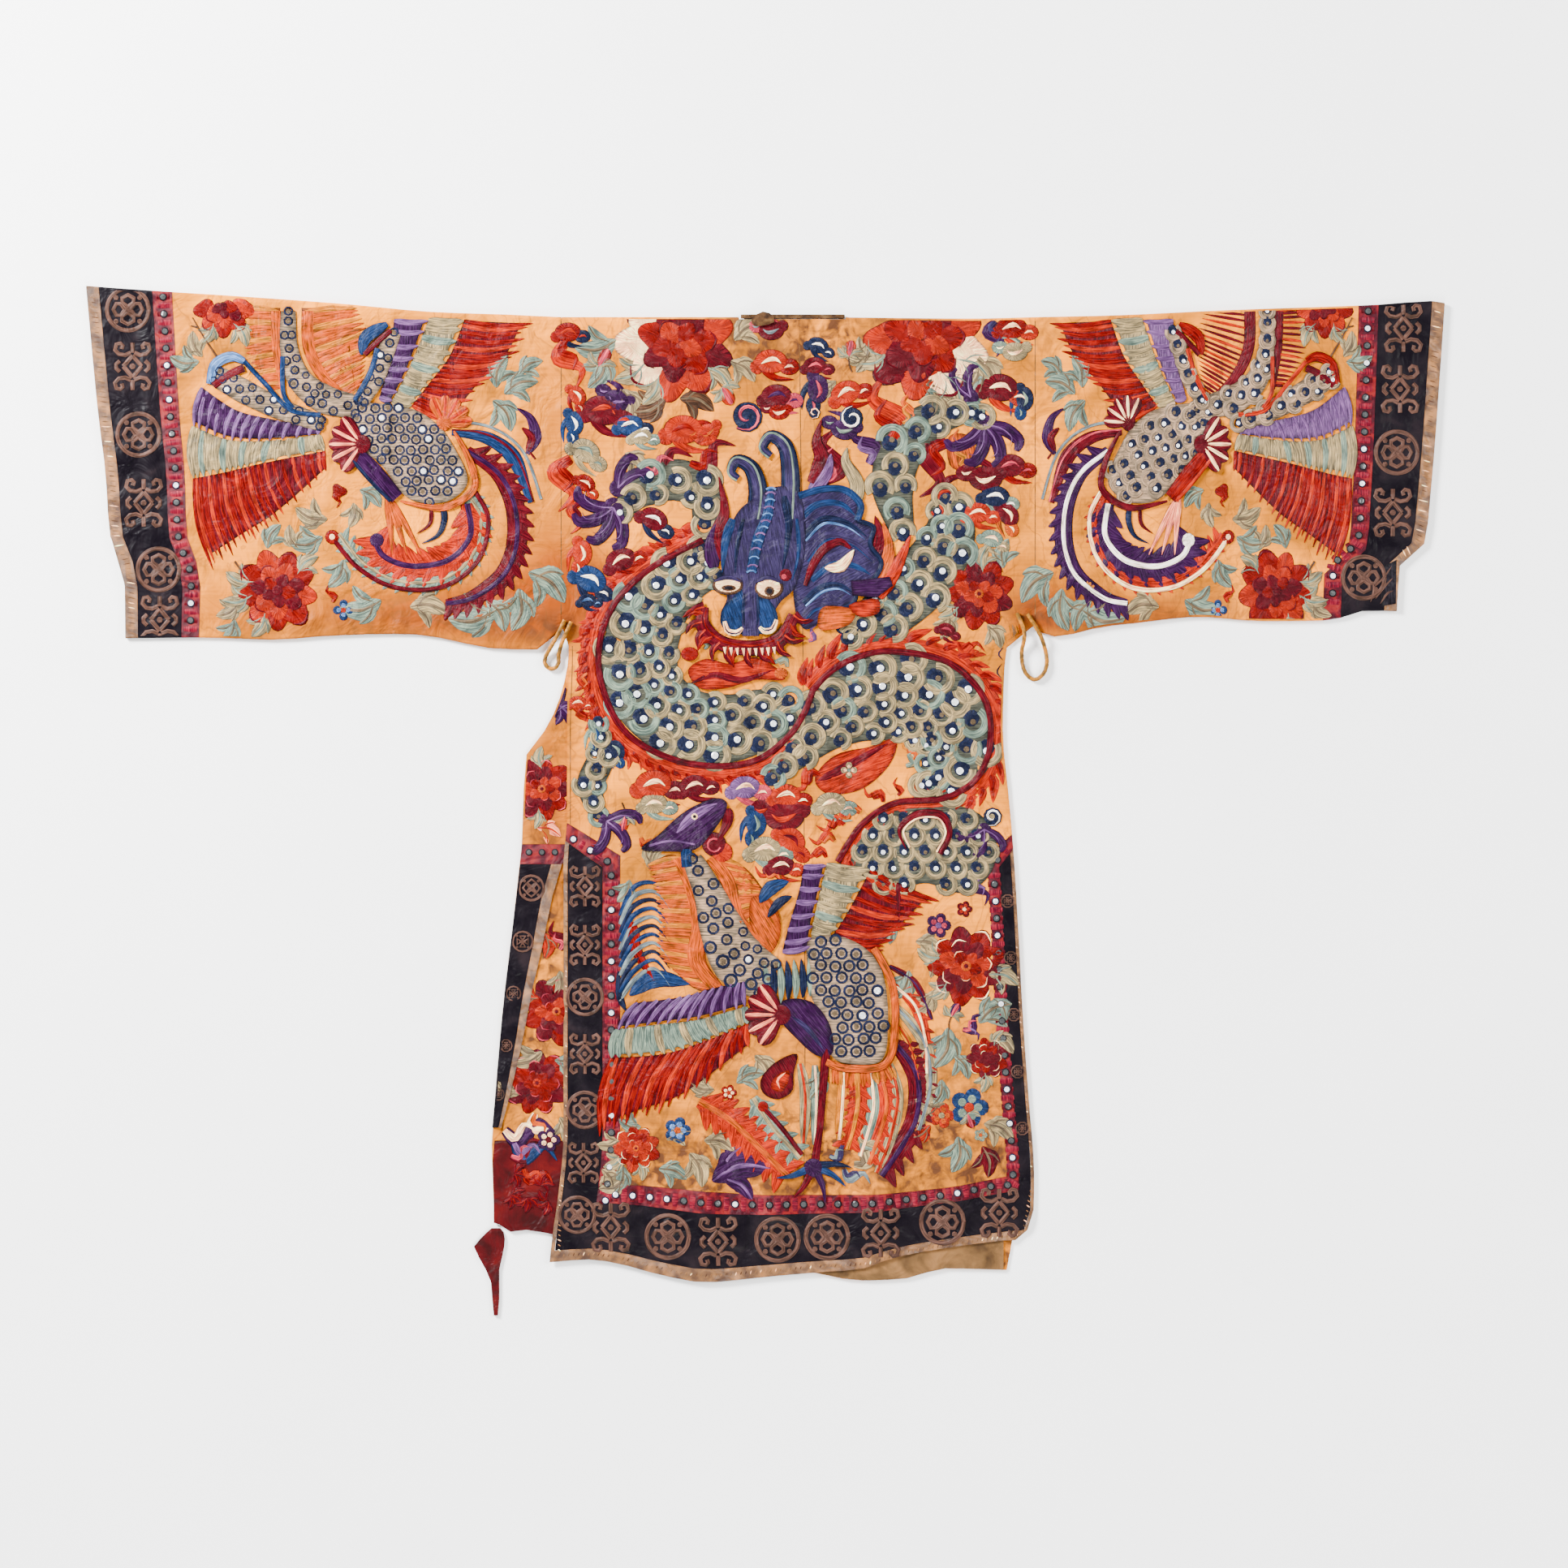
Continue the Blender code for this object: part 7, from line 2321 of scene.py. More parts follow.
FRONT_RUFF = (  # roots, tips, number of rays, ground and its grain, band's width and shape
    (
        ((838, 1056), (854, 1094), (862, 1138), (858, 1184), (884, 1218)),
        ((798, 1066), (806, 1096), (812, 1136), (812, 1176), (850, 1212)), 30,
        ((836, 1056), (862, 1120), (866, 1180), (888, 1222), (850, 1214), (826, 1180), (822, 1130),
         (812, 1090), (806, 1064)), 0, 24, (0.9, 1, 1, 1, 0.6),
    ),
    (
        ((876, 1056), (898, 1086), (910, 1132), (944, 1166)),
        ((916, 1068), (936, 1092), (950, 1118), (962, 1150)), 22,
        ((876, 1056), (914, 1066), (940, 1096), (956, 1130), (950, 1170), (914, 1140), (896, 1096)),
        60, 20, (0.7, 1, 1, 0.9),
    ),
)
BREAST = ((926, 1106), (954, 1112), (962, 1148), (948, 1174), (926, 1150))
HIGH_WING_EDGE = (
    ("strand", ((936, 1112), (950, 1094), (972, 1086)), 19, "blue", 8, LEAF),
    ("strand", ((946, 1130), (960, 1112), (976, 1104)), 13, "navy", 8, LEAF),
)
THROAT_STRIPES = 7
THROAT_AT = 942          # x of the first stripe, and from one to the next
THROAT_STEP = 9
BACK_EDGE = ((1076, 1168), (1098, 1209), (1103, 1261), (1092, 1310), (1045, 1316), (1018, 1308))
RUMP_ROOTS = ((1022, 1312), (1056, 1318), (1094, 1312))
RUMP_TIPS = ((1024, 1334), (1056, 1340), (1104, 1330))
FRONT_LEG = (
    ("patch",
     ((966, 1232), (1000, 1234), (1022, 1262), (1026, 1296), (1006, 1300), (980, 1278), (962, 1256)),
     "purple", 8, 50),
    ("strand", ((976, 1252), (996, 1268), (1014, 1292)), 8, "violet", 10, LEAF),
    ("strand", ((1018, 1292), (1014, 1340), (1010, 1390), (1002, 1444)), 12, "crimson", 8,
     (1, 0.8, 0.7, 1)),
)
FRONT_TOES = ((20, "blue"), (60, "purple"), (110, "crimson"), (150, "blue"), (-10, "navy"))  # turn, colour
PAISLEY = (  # bud under the bird
    ("patch", ((982, 1298), (956, 1308), (938, 1328), (940, 1346), (958, 1354), (976, 1344), (978, 1322)),
     "crimson", 3, 60),
    ("patch", ((972, 1318), (955, 1326), (950, 1340), (963, 1345), (971, 1334)), "coral", 4, 20),
    ("strand", ((968, 1321), (958, 1330), (961, 1341)), 4, "blush", 5, LEAF),
)
FRONT_HEAD = (
    (790, 1046), (812, 1028), (838, 1004), (862, 990), (884, 983), (896, 990), (890, 1008), (874, 1030),
    (856, 1047), (820, 1049),
)
HEAD_SHAPES = (
    ("patch", FRONT_HEAD, "purple", 7, -35),
    ("strand", ((834, 1026), (856, 1004), (884, 990)), 15, "lilac", 8, LEAF),
    ("disc", 856, 1006, 4.4, "cream", 9),
    ("disc", 856, 1006, 2.4, "black", 10),
    ("strand", ((800, 1042), (826, 1036), (856, 1040)), 3, "lilac", 8),
    ("strand", ((896, 996), (896, 1014), (882, 1040)), 15, "crimson", 6, FLAME),
    ("disc", 880, 1040, 15, "crimson", 6),
    ("disc", 890, 1050, 13, "coral", 5),
    ("ring", 880, 1041, 8, 3, "rose", 7, 20, 300),
    ("strand", ((846, 1046), (846, 1056), (847, 1068)), 14, "blue", 7),
)


def front_ruff(motif):
    """Hooked feathers and rays on both sides of the neck."""
    for n in range(FRONT_HOOKS):
        y = HOOKS_AT + HOOK_STEP * n
        arc = ((826, y + 12), (806, y - 10), (780, y - 4 + n), (764, y + 30))
        motif.strand(arc, 7, ("blue", "grey", "navy")[n % 3], 2 + n % 2, FLAME[::-1])
    draw(motif, UNDER_HOOKS)
    for roots, tips, count, ground, grain, width, shape in FRONT_RUFF:
        rays(motif, roots, tips, count, "orange", "yellow", 3)
        motif.patch(ground, "amber", 2, grain)
        motif.strand(roots, width, "orange", 4, shape)
    motif.patch(BREAST, "orange", 4, 60)


def front_trunk(motif):
    """Neck, body and rump."""
    motif.patch(swept(FRONT_NECK, FRONT_NECK_HALF), "stone", 5, smooth=False)
    scales_along(motif, FRONT_NECK, FRONT_NECK_HALF, 10, "navy", "tan", 0.2, 6, ringlet)
    for n in range(THROAT_STRIPES):
        x = THROAT_AT + THROAT_STEP * n
        stripe = ((x, 1186 - n), (x + 3, 1210), (x + 2, 1240 - 2 * n))
        motif.strand(stripe, 10, "navy" if n % 2 else "mint", 6, LEAF)
    motif.patch(FRONT_BODY, "stone", 6)
    small_scales(motif, FRONT_BODY, 9.6, 80, 7)
    motif.strand(BACK_EDGE, 10, "orange", 9)
    rays(motif, RUMP_ROOTS, RUMP_TIPS, 13, "orange", "yellow", 3)


def front_phoenix():
    """Standing phoenix under the dragon, its head turned to the left."""
    motif = Motif("front_phoenix")
    for route, width, colour, core, teeth in FRONT_STREAMERS:
        plume(motif, route, width, colour, core, teeth, 1, -1)
    draw(motif, STREAMER_EYE)
    front_ruff(motif)
    wing(motif, FRONT_LOW_WING, (13, 16, 20), 3, middle=("mint", "mint", "sage"))
    wing(motif, FRONT_HIGH_WING, (8, 10, 11), 3)
    draw(motif, HIGH_WING_EDGE)
    front_trunk(motif)
    draw(motif, FRONT_LEG)
    for turn, colour in FRONT_TOES:
        toe = turned([(0, 0), (26, 2), (46, 10)], turn) + (1002, 1436)
        motif.strand(toe, 12, colour, 9, TALON)
    motif.disc(1002, 1438, 12, "purple", 10)
    fan(motif, 962, 1250, 44, 180, ("crimson", "blush"), level=9)
    draw(motif, PAISLEY)
    draw(motif, HEAD_SHAPES)
    return motif.stitch()


SLEEVE_FLOWERS = (  # in the left sleeve's pixels: x, y, size, colours, leaves, cut
    (343, 728, 42, ("red", "coral", "crimson"), ((170, 30), (200, 28), (-40, 26), (120, 26)), None),
    (276, 378, 32, ("red", "coral", "crimson"), ((60, 26), (120, 22)), 376),
)
SLEEVE_LEAVES = (  # x, y, length, turn
    (652, 706, 44, 40), (640, 726, 40, 100), (612, 752, 46, 170), (600, 740, 34, 60),
    (470, 740, 40, 170), (506, 748, 36, 10), (404, 640, 32, 200), (398, 662, 32, 170),
    (424, 690, 30, 120), (330, 676, 26, -60), (368, 676, 24, -110), (296, 742, 26, 150),
    (290, 764, 26, 120), (250, 440, 26, -110), (246, 446, 28, -170), (612, 478, 32, -70),
    (622, 486, 34, -20), (608, 494, 34, 60), (640, 462, 26, -30), (444, 604, 26, 40),
    (436, 620, 24, 100),
)
SLEEVE_TWIGS = (
    ((268, 440), (252, 416), (238, 392)), ((244, 404), (236, 402)),
    ((290, 692), (300, 706), (308, 716)),
)
SLEEVE_BUD = (  # at the sleeve's middle, with its stalk
    ("strand", ((638, 504), (654, 516), (660, 540), (650, 560)), 18, "purple", 1, (0.1, 0.6, 1.0, 0.3)),
    ("strand", ((644, 528), (656, 540), (650, 556)), 12, "crimson", 2, DROP),
    ("strand", ((652, 556), (660, 566)), 3, "crimson", 1),
)


def sleeve_flowers(name, mirror=None):
    """Flowers, leaves and twigs under a sleeve's phoenix."""
    motif = Motif(name, mirror=mirror)
    for x, y, length, turn in SLEEVE_LEAVES:
        leaf(motif, x, y, length, turn, "mint" if (x + y) % 3 else "sage", "tan")
    for x, y, size, petals, leaves, cut in SLEEVE_FLOWERS:
        peony(motif, x, y, size, petals, "crimson", "crimson", 10, leaves, 1, cut)
    for twig in SLEEVE_TWIGS:
        motif.strand(twig, 3, "brown", 2, (1.0, 0.5))
    draw(motif, SLEEVE_BUD)
    blossom(motif, 424, 752, 14, "blue", "sky", "coral", 4, level=1)
    flame(motif, 410, 742, 22, -110, ("red", "coral"), level=2)
    flame(motif, 418, 606, 20, 90, ("red", "coral"), level=2)
    motif.disc(418, 606, 9, "red", 3, lobes=3)
    return motif.stitch()


# ---------------------------------------------------------------- borders and small places

def to_px(x, y):
    """Pixel of the photograph over a place on the cloth."""
    return x / PIXEL + ORIGIN_PX[0], ORIGIN_PX[1] - y / PIXEL


MIRROR_PITCH = 24        # millimetres between the mirrors on the pink bands
BLOCK_PITCH = 12         # and between the satin blocks under them
BLOCK_SHARE = 0.8        # of that pitch is covered by a block
DULL_SHARE = 0.7         # of the mirrors have lost their shine
FRONT_MIRRORS = 22       # width of the mirrors' row on the front and the cuffs, in millimetres
LEFT_CUFF_SPAN = (236, 714)    # y from end to end of what lies on the cuffs' borders
RIGHT_CUFF_SPAN = (274, 694)
RIGHT_PIPING_SPAN = (292, 694)


def points_at(places, distances):
    """Points at some distances along a line."""
    run = run_along(places)
    return np.stack([np.interp(distances, run, column) for column in np.array(places, float).T], 1)


def mirror_row(motif, places, width):
    """Satin blocks across a pink band and mirrors along it; places are in millimetres."""
    run = run_along(places)
    count = max(2, int(run[-1] / BLOCK_PITCH))
    line = points_at(places, (np.arange(count) + 0.5) / count * run[-1])
    block = BLOCK_PITCH / PIXEL * BLOCK_SHARE
    for n, (point, across) in enumerate(zip(line, directions(line)[1])):
        ends = [to_px(*(point + across * width * share)) for share in (-0.42, 0.0, 0.42)]
        motif.strand(ends, block, ("crimson", "pink")[n % 2], 0, DROP[1:4], across=True)
    for n in range(0, count, round(MIRROR_PITCH / BLOCK_PITCH)):
        x, y = to_px(*line[n])
        sequin(motif, x, y, 3.7, 2, dull=motif.chance.random() < DULL_SHARE)


BAND_TOP = VENT_BLACK_TOP - 6   # y of both upper ends of a line along the front's border
LEFT_BEND, RIGHT_BEND = -560, -540   # y at which it leaves the left edge and meets the right one
BEND_CUT = (10, 6)       # how much its run along the hem is shortened at each corner


def front_band_line(left_in, right_in, hem_in, steps=60):
    """Line along the front's border, from the left vent round the hem to the right vent."""
    start = read(FRONT_LEFT_EDGE, HEM_LEVEL) + left_in + BEND_CUT[0]
    end = read(FRONT_RIGHT_EDGE, RIGHT_CORNER_LEVEL) - right_in - BEND_CUT[1]
    down, up = np.linspace(BAND_TOP, LEFT_BEND, steps), np.linspace(RIGHT_BEND, BAND_TOP, steps)
    line = [(read(FRONT_LEFT_EDGE, y) + left_in, y) for y in down]
    for x in np.linspace(start, end, steps):
        line.append((x, mix(read(FRONT_HEM, x), read(FIELD_BOTTOM, x), hem_in)))
    return line + [(read(FRONT_RIGHT_EDGE, y) - right_in, y) for y in up]


def cuff_line(side, edge, share_top, share_bottom, low, high, steps=30):
    """Line along a cuff at some way in from its edge."""
    line = []
    for y in np.linspace(high, low, steps):
        up = (y - low) / (high - low)
        line.append((read(edge, y) - side * mix(share_bottom, share_top, up), y))
    return line


def mirrors():
    """Rows of mirrors on the pink bands of the front, its vents and the cuffs."""
    motif = Motif("mirror_rows")
    left_in, right_in = sum(LEFT_BORDER[3:5]) / 2, sum(RIGHT_BORDER[2:4]) / 2
    hem_in = sum(HEM_BORDER[3:5]) / 2
    mirror_row(motif, front_band_line(left_in, right_in, hem_in), FRONT_MIRRORS)
    start = VENT_BLACK_TOP + 4
    x = read(FRONT_LEFT_EDGE, VENT_PINK_TOP)
    end = VENT_BLACK_TOP + LEFT_VENT_RISE[0] + 6
    mirror_row(motif, [(x + left_in, start), (x + 8, end)], 15)
    x = read(FRONT_RIGHT_EDGE, VENT_PINK_TOP)
    end = VENT_BLACK_TOP + RIGHT_VENT_RISE[0] + 4
    mirror_row(motif, [(x - 29, start), (x - 6, end)], 13)
    insets = sum(CUFF_BORDER_TOP[3:5]) / 2, sum(CUFF_BORDER_BOTTOM[3:5]) / 2
    for cuff, span in (((-1, LEFT_CUFF_EDGE), LEFT_CUFF_SPAN), ((1, RIGHT_CUFF_EDGE), RIGHT_CUFF_SPAN)):
        mirror_row(motif, cuff_line(*cuff, *insets, *span), FRONT_MIRRORS)
    return motif.stitch()


def scroll_fret(motif, x, y, size, colour="ornament"):
    """Tall ornament: a lozenge between four scrolls and two bars."""
    line = 0.1 * size
    lozenge = [(0, -0.24), (0.2, 0), (0, 0.24), (-0.2, 0), (0, -0.24)]
    for a, b in zip(lozenge, lozenge[1:]):
        motif.strand(np.array([a, b]) * size + (x, y), line, colour, 1, step=12)
    motif.disc(x, y, 0.07 * size, colour, 1)
    hook = np.array([(0.04, 0.3), (0.22, 0.24), (0.38, 0.34), (0.34, 0.5), (0.22, 0.48), (0.24, 0.38)])
    bar = np.array([(0.28, -0.12), (0.38, 0), (0.28, 0.12)])
    for hand_x in (-1, 1):
        for hand_y in (-1, 1):
            motif.strand(hook * (hand_x * size, hand_y * size) + (x, y), line, colour, 1, step=7)
        motif.strand(bar * (hand_x * size, size) + (x, y), line, colour, 1, step=12)
    for hand_y in (-1, 1):
        stem = np.array([(0, 0.3 * hand_y), (0, 0.52 * hand_y)]) * size
        motif.strand(stem + (x, y), line, colour, 1, step=12)


def round_fret(motif, x, y, size, colour="ornament"):
    """Round ornament: a ring round a four-petalled knot."""
    line = 0.1 * size
    motif.ring(x, y, 0.46 * size, line, colour, 1)
    petal = np.array([(0.06, 0), (0.2, -0.16), (0.32, 0), (0.2, 0.16), (0.06, 0)]) * size
    for turn in (0, 90, 180, 270):
        motif.strand(turned(petal, turn) + (x, y), line, colour, 1, step=8)
        stud = turned([(0.26 * size, 0.26 * size)], turn)[0] + (x, y)
        motif.disc(*stud, 0.06 * size, colour, 1)
    motif.disc(x, y, 0.08 * size, colour, 1)


HEM_FRETS = ((753, 0), (823, 1), (885, 0), (958, 1), (1019, 1), (1085, 0), (1161, 1), (1231, 0))
LEFT_FRETS_Y = ((1092, 0), (1164, 0), (1228, 1), (1298, 0), (1367, 1), (1432, 0), (1496, 1))
RIGHT_FRETS_Y = (1110, 1180, 1250, 1320, 1390)
EXTENSION_FRETS_Y = (1094, 1160, 1224, 1288, 1348)
LEFT_CUFF_FRETS_Y = ((382, 1), (452, 0), (536, 1), (620, 0), (702, 1), (764, 0))
RIGHT_CUFF_FRETS_Y = ((405, 0), (480, 0), (558, 1), (632, 0), (712, 1))
FRET_KINDS = (scroll_fret, round_fret)
HEM_FRET = 57            # sizes of the ornaments, in pixels
LEFT_FRET = 47
RIGHT_FRET = 17
CUFF_FRET = 56
RIGHT_FRET_INSET = 13    # millimetres in from the edge


def frets():
    """Ornaments couched in dull thread on the black borders."""
    motif = Motif("border_frets")
    black = (LEFT_BORDER[1] + LEFT_BORDER[3]) / 2
    for px, kind in HEM_FRETS:
        x = (px - ORIGIN_PX[0]) * PIXEL
        low, high = read(FRONT_HEM, x), read(FIELD_BOTTOM, x)
        y = mix(low, high, (HEM_BORDER[1] + HEM_BORDER[3]) / 2)
        FRET_KINDS[kind](motif, *to_px(x, y), HEM_FRET)
    for py, kind in LEFT_FRETS_Y:
        y = (ORIGIN_PX[1] - py) * PIXEL
        FRET_KINDS[kind](motif, *to_px(read(FRONT_LEFT_EDGE, y) + black, y), LEFT_FRET)
    for py in RIGHT_FRETS_Y:
        y = (ORIGIN_PX[1] - py) * PIXEL
        x = read(FRONT_RIGHT_EDGE, y) - RIGHT_FRET_INSET
        round_fret(motif, *to_px(x, y), RIGHT_FRET)
    for side, edge, places in (
        (-1, LEFT_CUFF_EDGE, LEFT_CUFF_FRETS_Y), (1, RIGHT_CUFF_EDGE, RIGHT_CUFF_FRETS_Y),
    ):
        for py, kind in places:
            y = (ORIGIN_PX[1] - py) * PIXEL
            up = smooth_step(230, 715, y)
            inset = mix(CUFF_BORDER_BOTTOM[2], CUFF_BORDER_TOP[2], up)
            FRET_KINDS[kind](motif, *to_px(read(edge, y) - side * inset, y), CUFF_FRET)
    motif.stitch()


EXTENSION_FRET = (16, 44)   # smallest and largest
EXTENSION_FRET_MARGIN = 3   # millimetres left free beside them


def extension_frets():
    """Round ornaments on the side extension's black border."""
    motif = Motif("extension_frets", extension_surface)
    for py in EXTENSION_FRETS_Y:
        y = (ORIGIN_PX[1] - py) * PIXEL
        left, free = read(BACK_LEFT_EDGE, y), read(EXTENSION_FREE_EDGE, y)
        width = free - left - EXTENSION_PIPING - EXTENSION_FRET_MARGIN
        size = np.clip(0.95 * width, *EXTENSION_FRET)
        round_fret(motif, *to_px(left + width / 2 + EXTENSION_FRET_MARGIN, y), size)
    motif.stitch()


UNDER_LEAVES = (  # x, y, length, turn, colour: on the under-flap
    (690, 1196, 26, 100, "sage"), (668, 1296, 30, 160, "sage"), (684, 1306, 28, 30, "mint"),
    (640, 1348, 24, -150, "sage"), (690, 1376, 26, 80, "sage"), (664, 1230, 22, 200, "coral"),
    (672, 1150, 24, 90, "coral"),
)
UNDER_FLAMES = (  # x, y, length, turn, colours
    (622, 1392, 62, -6, ("purple", "cream")), (634, 1408, 56, 14, ("blue", "lilac")),
    (660, 1372, 44, 60, ("cream", "orange")), (630, 1424, 44, -30, ("crimson", "rose")),
    (690, 1170, 36, -110, ("crimson", "rose")), (646, 1440, 40, 20, ("red", "coral")),
)
PALMETTES = (  # x, y, turn: three-lobed sprays worked on the red hem
    (634, 1446, 20), (666, 1460, -60), (650, 1476, 100), (676, 1480, 170), (630, 1472, 40),
)


def extension_flowers():
    """Flowers on the side extension."""
    side = Motif("extension_flowers", extension_surface)
    leaf(side, 684, 884, 30, -70, "purple", "lilac")
    leaf(side, 688, 868, 26, 60, "purple", "lilac")
    peony(side, 668, 972, 32, ("red", "crimson", "coral"), "rose", "orange", 0, ((100, 20), (-90, 22)), 1)
    leaf(side, 662, 1020, 24, 20, "blush", "coral")
    for x in (652, 668, 684):
        sequin(side, x, 1050, 3.2, 1, dull=True)
    side.stitch()


def under_flap_flowers():
    """Flowers, flames and palmettes on the under-flap and its red hem."""
    under = Motif("under_flap_flowers", inner_surface)
    peony(under, 686, 1246, 34, ("red", "crimson", "coral"), "rose", "orange", 0, (), 1)
    peony(under, 662, 1334, 34, ("red", "crimson", "red"), "rose", "coral", 30, (), 1)
    for x, y, length, turn, colour in UNDER_LEAVES:
        leaf(under, x, y, length, turn, colour, "tan", 2)
    for x, y, length, turn, colours in UNDER_FLAMES:
        flame(under, x, y, length, turn, colours, level=2)
    blossom(under, 676, 1404, 16, "purple", "cream", "crimson", level=4)
    for x, y, turn in PALMETTES:
        for spread in (-60, 0, 60):
            leaf(under, x, y, 14, turn + spread, "crimson", "red", 1)
    under.stitch()


FOLDED_CORNER = ((1700, 700), (1720, 690), (1719, 744), (1702, 747))
FOLDED_THREADS = (
    ((1692, 724), (1704, 712), (1714, 698)), ((1694, 738), (1706, 722), (1716, 712)),
    ((1700, 744), (1708, 732), (1716, 728)), ((1688, 742), (1692, 728), (1690, 716)),
)


def cuff_fold():
    """A black patch with brown threads on the right cuff's lower corner, for the corner folded back so that
    its black side shows.
    """
    motif = Motif("cuff_fold")
    motif.patch(FOLDED_CORNER, "black", 0, grain=90, smooth=False)
    for route in FOLDED_THREADS:
        motif.strand(route, 3.4, "ornament", 1, LEAF)
    return motif.stitch()


# ---------------------------------------------------------------- seams and trimmings

SEAM_WIDTH = 1.7         # pixels
SEAM_STEP = 12           # between sections of its mesh
SEAM_AND_SHADOW_LINES = (  # x at a height, y of its top and its bottom, places along it
    (lambda y: read(CENTRE_SEAM, y), SHOULDER - 40, -545, 60),
    (lambda y: LEFT_ARMHOLE, SHOULDER - 6, ARMPIT + 14, 12),
    (lambda y: RIGHT_ARMHOLE, SHOULDER - 6, ARMPIT + 14, 12),
    # painted shade line just inside the front's left edge, where it lies over the side extension, drawn in
    # seam thread
    (lambda y: read(FRONT_LEFT_EDGE, y) + 5, ARMPIT - 30, VENT_BLACK_TOP + 60, 20),
)
COUCHING_PITCH = 7       # millimetres between the stitches that hold the metal thread down
COUCHING_REACH = (0.24, 0.42)   # half their length, as shares of the piping's width


def stitch_seams_and_shadow_line():
    """The centre seam of the front, the seam of each sleeve at the body, and a painted shade line along the
    front's left edge.
    """
    motif = Motif("seam_lines")
    for x_at, top, bottom, steps in SEAM_AND_SHADOW_LINES:
        line = [to_px(x_at(y), y) for y in np.linspace(top, bottom, steps)]
        motif.strand(line, SEAM_WIDTH, "seam", -1, step=SEAM_STEP)
    return motif.stitch()


def couching(motif, places, width):
    """Slanting stitches across a piping, some still bright and some bare; their gold and cream also paint
    the metal thread's glints.
    """
    line = points_at(places, np.arange(COUCHING_PITCH, run_along(places)[-1], COUCHING_PITCH))
    for (x, y), (ax, ay) in zip(line, directions(line)[0]):
        reach = width * motif.chance.uniform(*COUCHING_REACH)
        slant_x, slant_y = reach * -ay + 1.2 * ax, reach * ax + 1.2 * ay
        ends = [to_px(x + side * slant_x, y + side * slant_y) for side in (-1, 0, 1)]
        # real couching stitches; the gold and cream ones also paint the dotted glints of the metal thread,
        # brown ones are bare
        colour = motif.chance.choice(("gold", "cream", "gold", "brown", "gold"))
        motif.strand(ends, 2.0, colour, -1, LEAF)


FRONT_PIPING_IN = (3.2, 3.0, 0.08)   # middle of the piping: from both edges, share of the hem's height
CUFF_PIPING_IN = 9.5
FRONT_PIPING, CUFF_PIPING = 7, 17    # widths


def piping_stitches():
    """Stitches over the piping of the front and of both cuffs."""
    motif = Motif("piping_stitches")
    couching(motif, front_band_line(*FRONT_PIPING_IN), FRONT_PIPING)
    insets = (CUFF_PIPING_IN, CUFF_PIPING_IN)
    couching(motif, cuff_line(-1, LEFT_CUFF_EDGE, *insets, *LEFT_CUFF_SPAN), CUFF_PIPING)
    couching(motif, cuff_line(1, RIGHT_CUFF_EDGE, *insets, *RIGHT_PIPING_SPAN), CUFF_PIPING)
    return motif.stitch()


def thread_ends():
    """Loose threads and a tuft of yellow floss where the right loop is sewn on."""
    motif = Motif("thread_ends")
    for n, colour in enumerate(("yellow", "gold", "yellow", "orange")):
        tuft = ((1243 + 4 * n, 770), (1246 + 4 * n, 780), (1244 + 5 * n, 790 - n))
        motif.strand(tuft, 5, colour, n % 2, LEAF)
    for route in (((1236, 798), (1230, 806), (1236, 814)), ((1234, 818), (1228, 828), (1234, 836))):
        motif.strand(route, 2.6, "navy", 0, LEAF)
    return motif.stitch()


# ---------------------------------------------------------------- the stage

FLOOR_SIZE = 9000
FLOOR_LEVEL = -1.2


def add_floor():
    """Pale floor, faintly mottled as seamless paper is."""
    made = Finish("paper", Roughness=0.9)
    colour = made.ramp(made.mottle(3.0, 3.0), (0.3, 0.92), (0.7, 0.95))
    finish = made.coat(colour, None, made.mottle(700.0), 0.1, 0.2, puckers=0.0)
    half = FLOOR_SIZE / 2 * MM
    corners = [(-half, -half), (half, -half), (half, half), (-half, half)]
    mesh = bpy.data.meshes.new("floor")
    mesh.from_pydata([(x, y, FLOOR_LEVEL * MM) for x, y in corners], [], [(0, 1, 2, 3)])
    mesh.materials.append(finish)
    floor = bpy.data.objects.new("floor", mesh)
    bpy.context.scene.collection.objects.link(floor)


LIGHTS = (  # name, x, y, z, size, watts: softboxes that point at the robe's middle
    ("key_light", -3300, 2600, 2300, 1300, 1400.0),
    ("side_light", 3700, 900, 2600, 2200, 340.0),
    ("front_light", 300, -3900, 2700, 2200, 380.0),
)
SKY = 0.45               # strength of the even light from all round


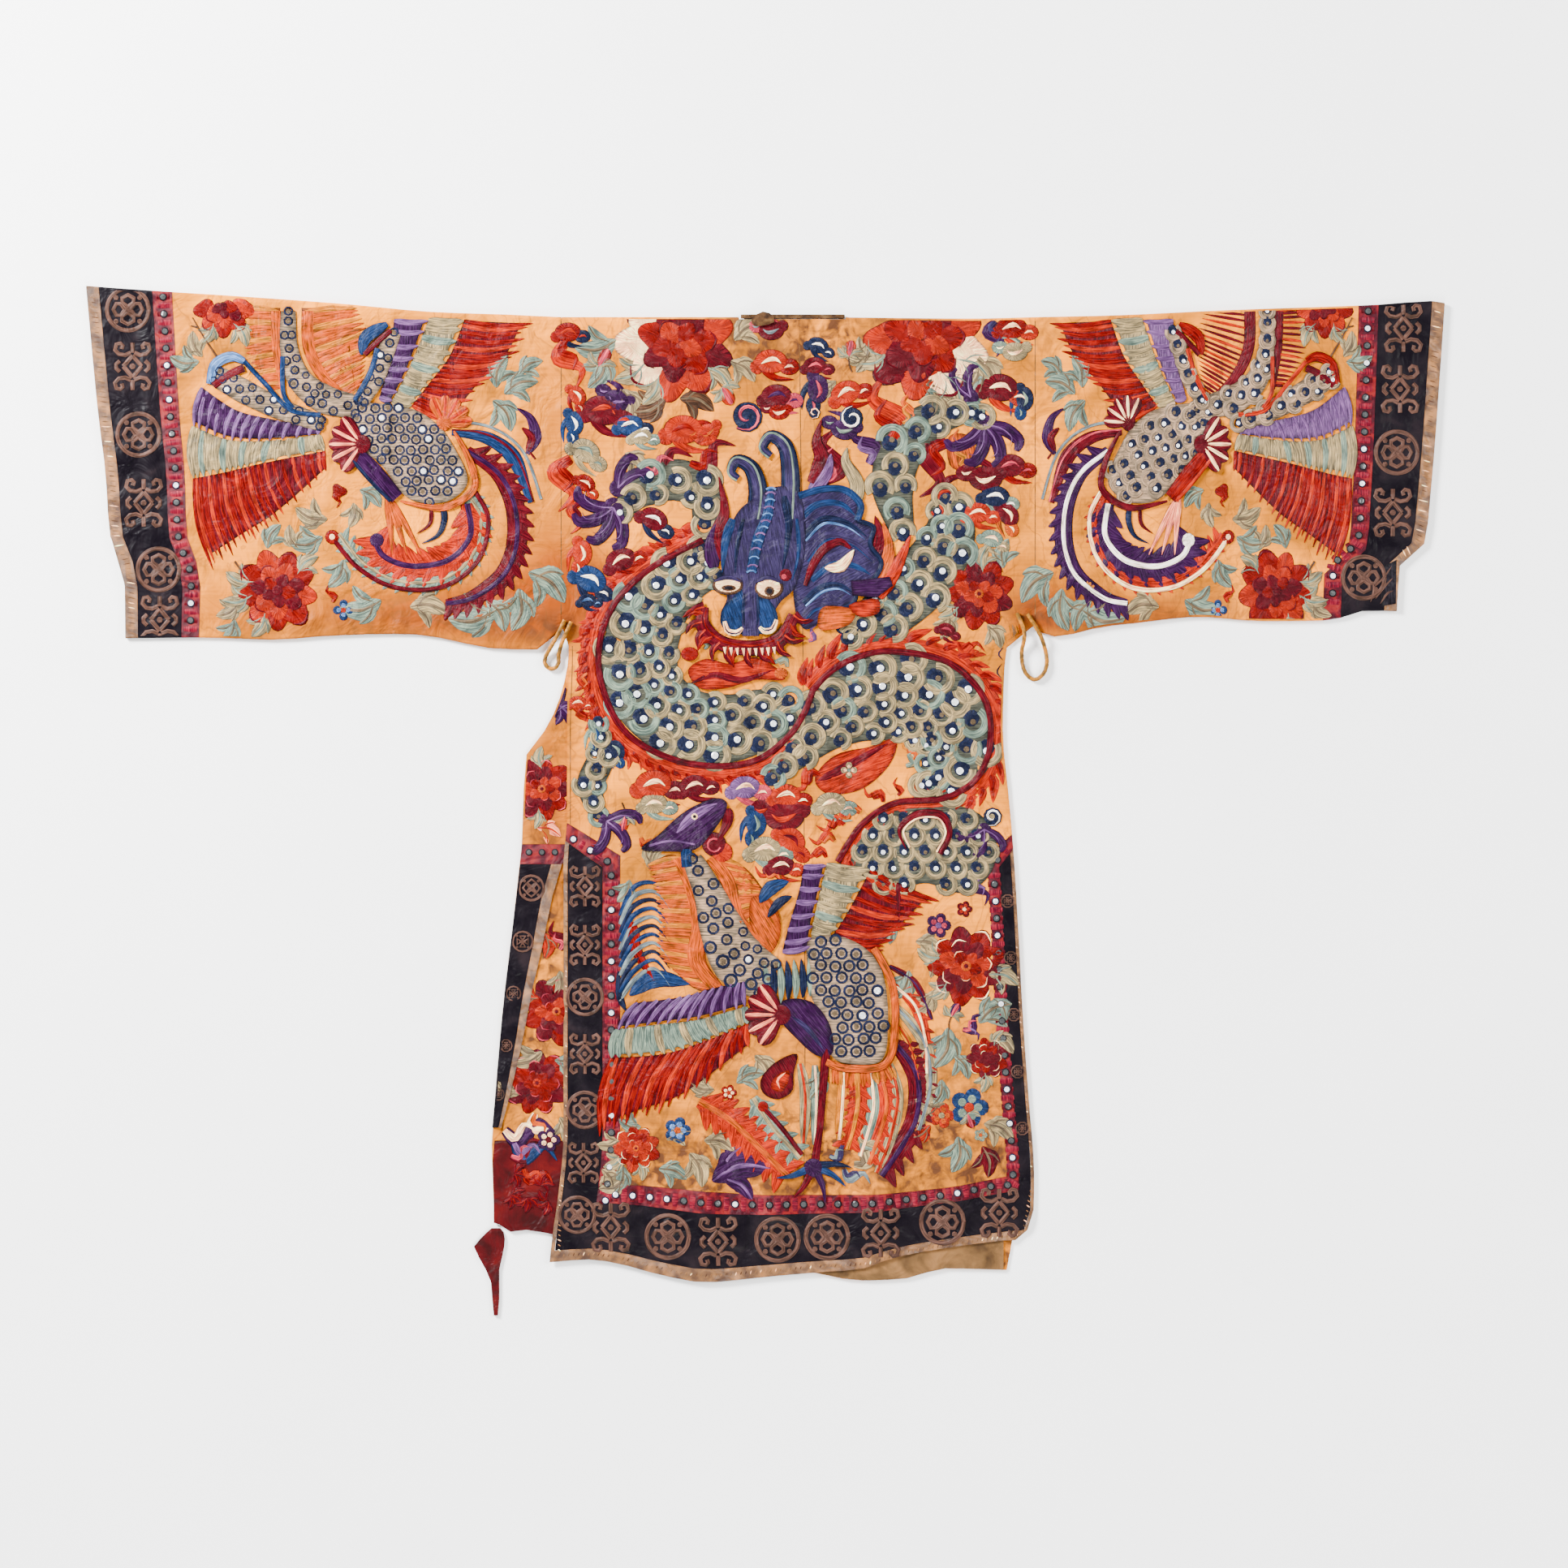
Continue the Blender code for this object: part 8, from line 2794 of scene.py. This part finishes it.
def add_lights():
    """Three softboxes and an even sky."""
    for name, x, y, z, size, watts in LIGHTS:
        made = bpy.data.lights.new(name, "AREA")
        made.size = size * MM
        made.energy = watts
        light = bpy.data.objects.new(name, made)
        light.location = (x * MM, y * MM, z * MM)
        aim = -light.location
        light.rotation_euler = aim.to_track_quat("-Z", "Y").to_euler()
        bpy.context.scene.collection.objects.link(light)
    world = bpy.data.worlds.new("studio")
    world.use_nodes = True
    world.node_tree.nodes["Background"].inputs["Color"].default_value = (1.0, 0.99, 0.98, 1)
    world.node_tree.nodes["Background"].inputs["Strength"].default_value = SKY
    bpy.context.scene.world = world


# ---------------------------------------------------------------- the whole robe


SLEEVE_MIRROR = (1877, 0.889)   # right sleeve's x from the left one's: start, and share taken away


def embroider():
    """Every motif, from the dragon to the loose threads."""
    MIRRORS["bright_mirror"] = mirror("bright_mirror", "FFFFFF", "D8DCE0")
    MIRRORS["dull_mirror"] = mirror("dull_mirror", "8C9090", "484C50")
    dragon_body()
    dragon_head()
    dragon_claws()
    clouds()
    flames()
    flowers()
    front_phoenix()
    sleeve_phoenix("left_sleeve_phoenix", SLEEVE_DRESS, SLEEVE_SCALES)
    sleeve_phoenix("right_sleeve_phoenix", RIGHT_SLEEVE_DRESS, RIGHT_SLEEVE_SCALES, SLEEVE_MIRROR)
    sleeve_flowers("left_sleeve_flowers")
    sleeve_flowers("right_sleeve_flowers", SLEEVE_MIRROR)
    mirrors()
    frets()
    extension_frets()
    extension_flowers()
    under_flap_flowers()
    cuff_fold()
    stitch_seams_and_shadow_line()
    piping_stitches()
    thread_ends()


def main():
    """Builds camera, cords, cloth, embroidery and studio in that order."""
    add_camera()
    cord = gold_cord()
    add_cord("left_loop", LEFT_LOOP, cord)
    add_cord("right_loop", RIGHT_LOOP, cord)
    silk, black, pink, piping = ground_silk(), black_satin(), pink_band(), metal_piping()
    red, lining, tape = red_silk(), tan_lining(), neck_tape()
    pieces = make_body(silk, black, pink, piping)
    sleeves = (
        (-1, LEFT_ARMHOLE, LEFT_SLEEVE_BOTTOM, LEFT_CUFF_EDGE),
        (1, RIGHT_ARMHOLE, RIGHT_SLEEVE_BOTTOM, RIGHT_CUFF_EDGE),
    )
    for sleeve in sleeves:
        pieces.update(make_sleeve(*sleeve, silk, black, pink, piping))
    pieces.update(make_inner_front(silk, red))
    pieces.update(make_side_extension(silk, black, pink, piping))
    pieces.update(make_lining_hem(lining))
    pieces.update(make_neck_binding(tape))
    pieces.update(make_torn_end(tape))
    pieces.update(make_tie(red))
    embroider()
    add_floor()
    add_lights()


main()
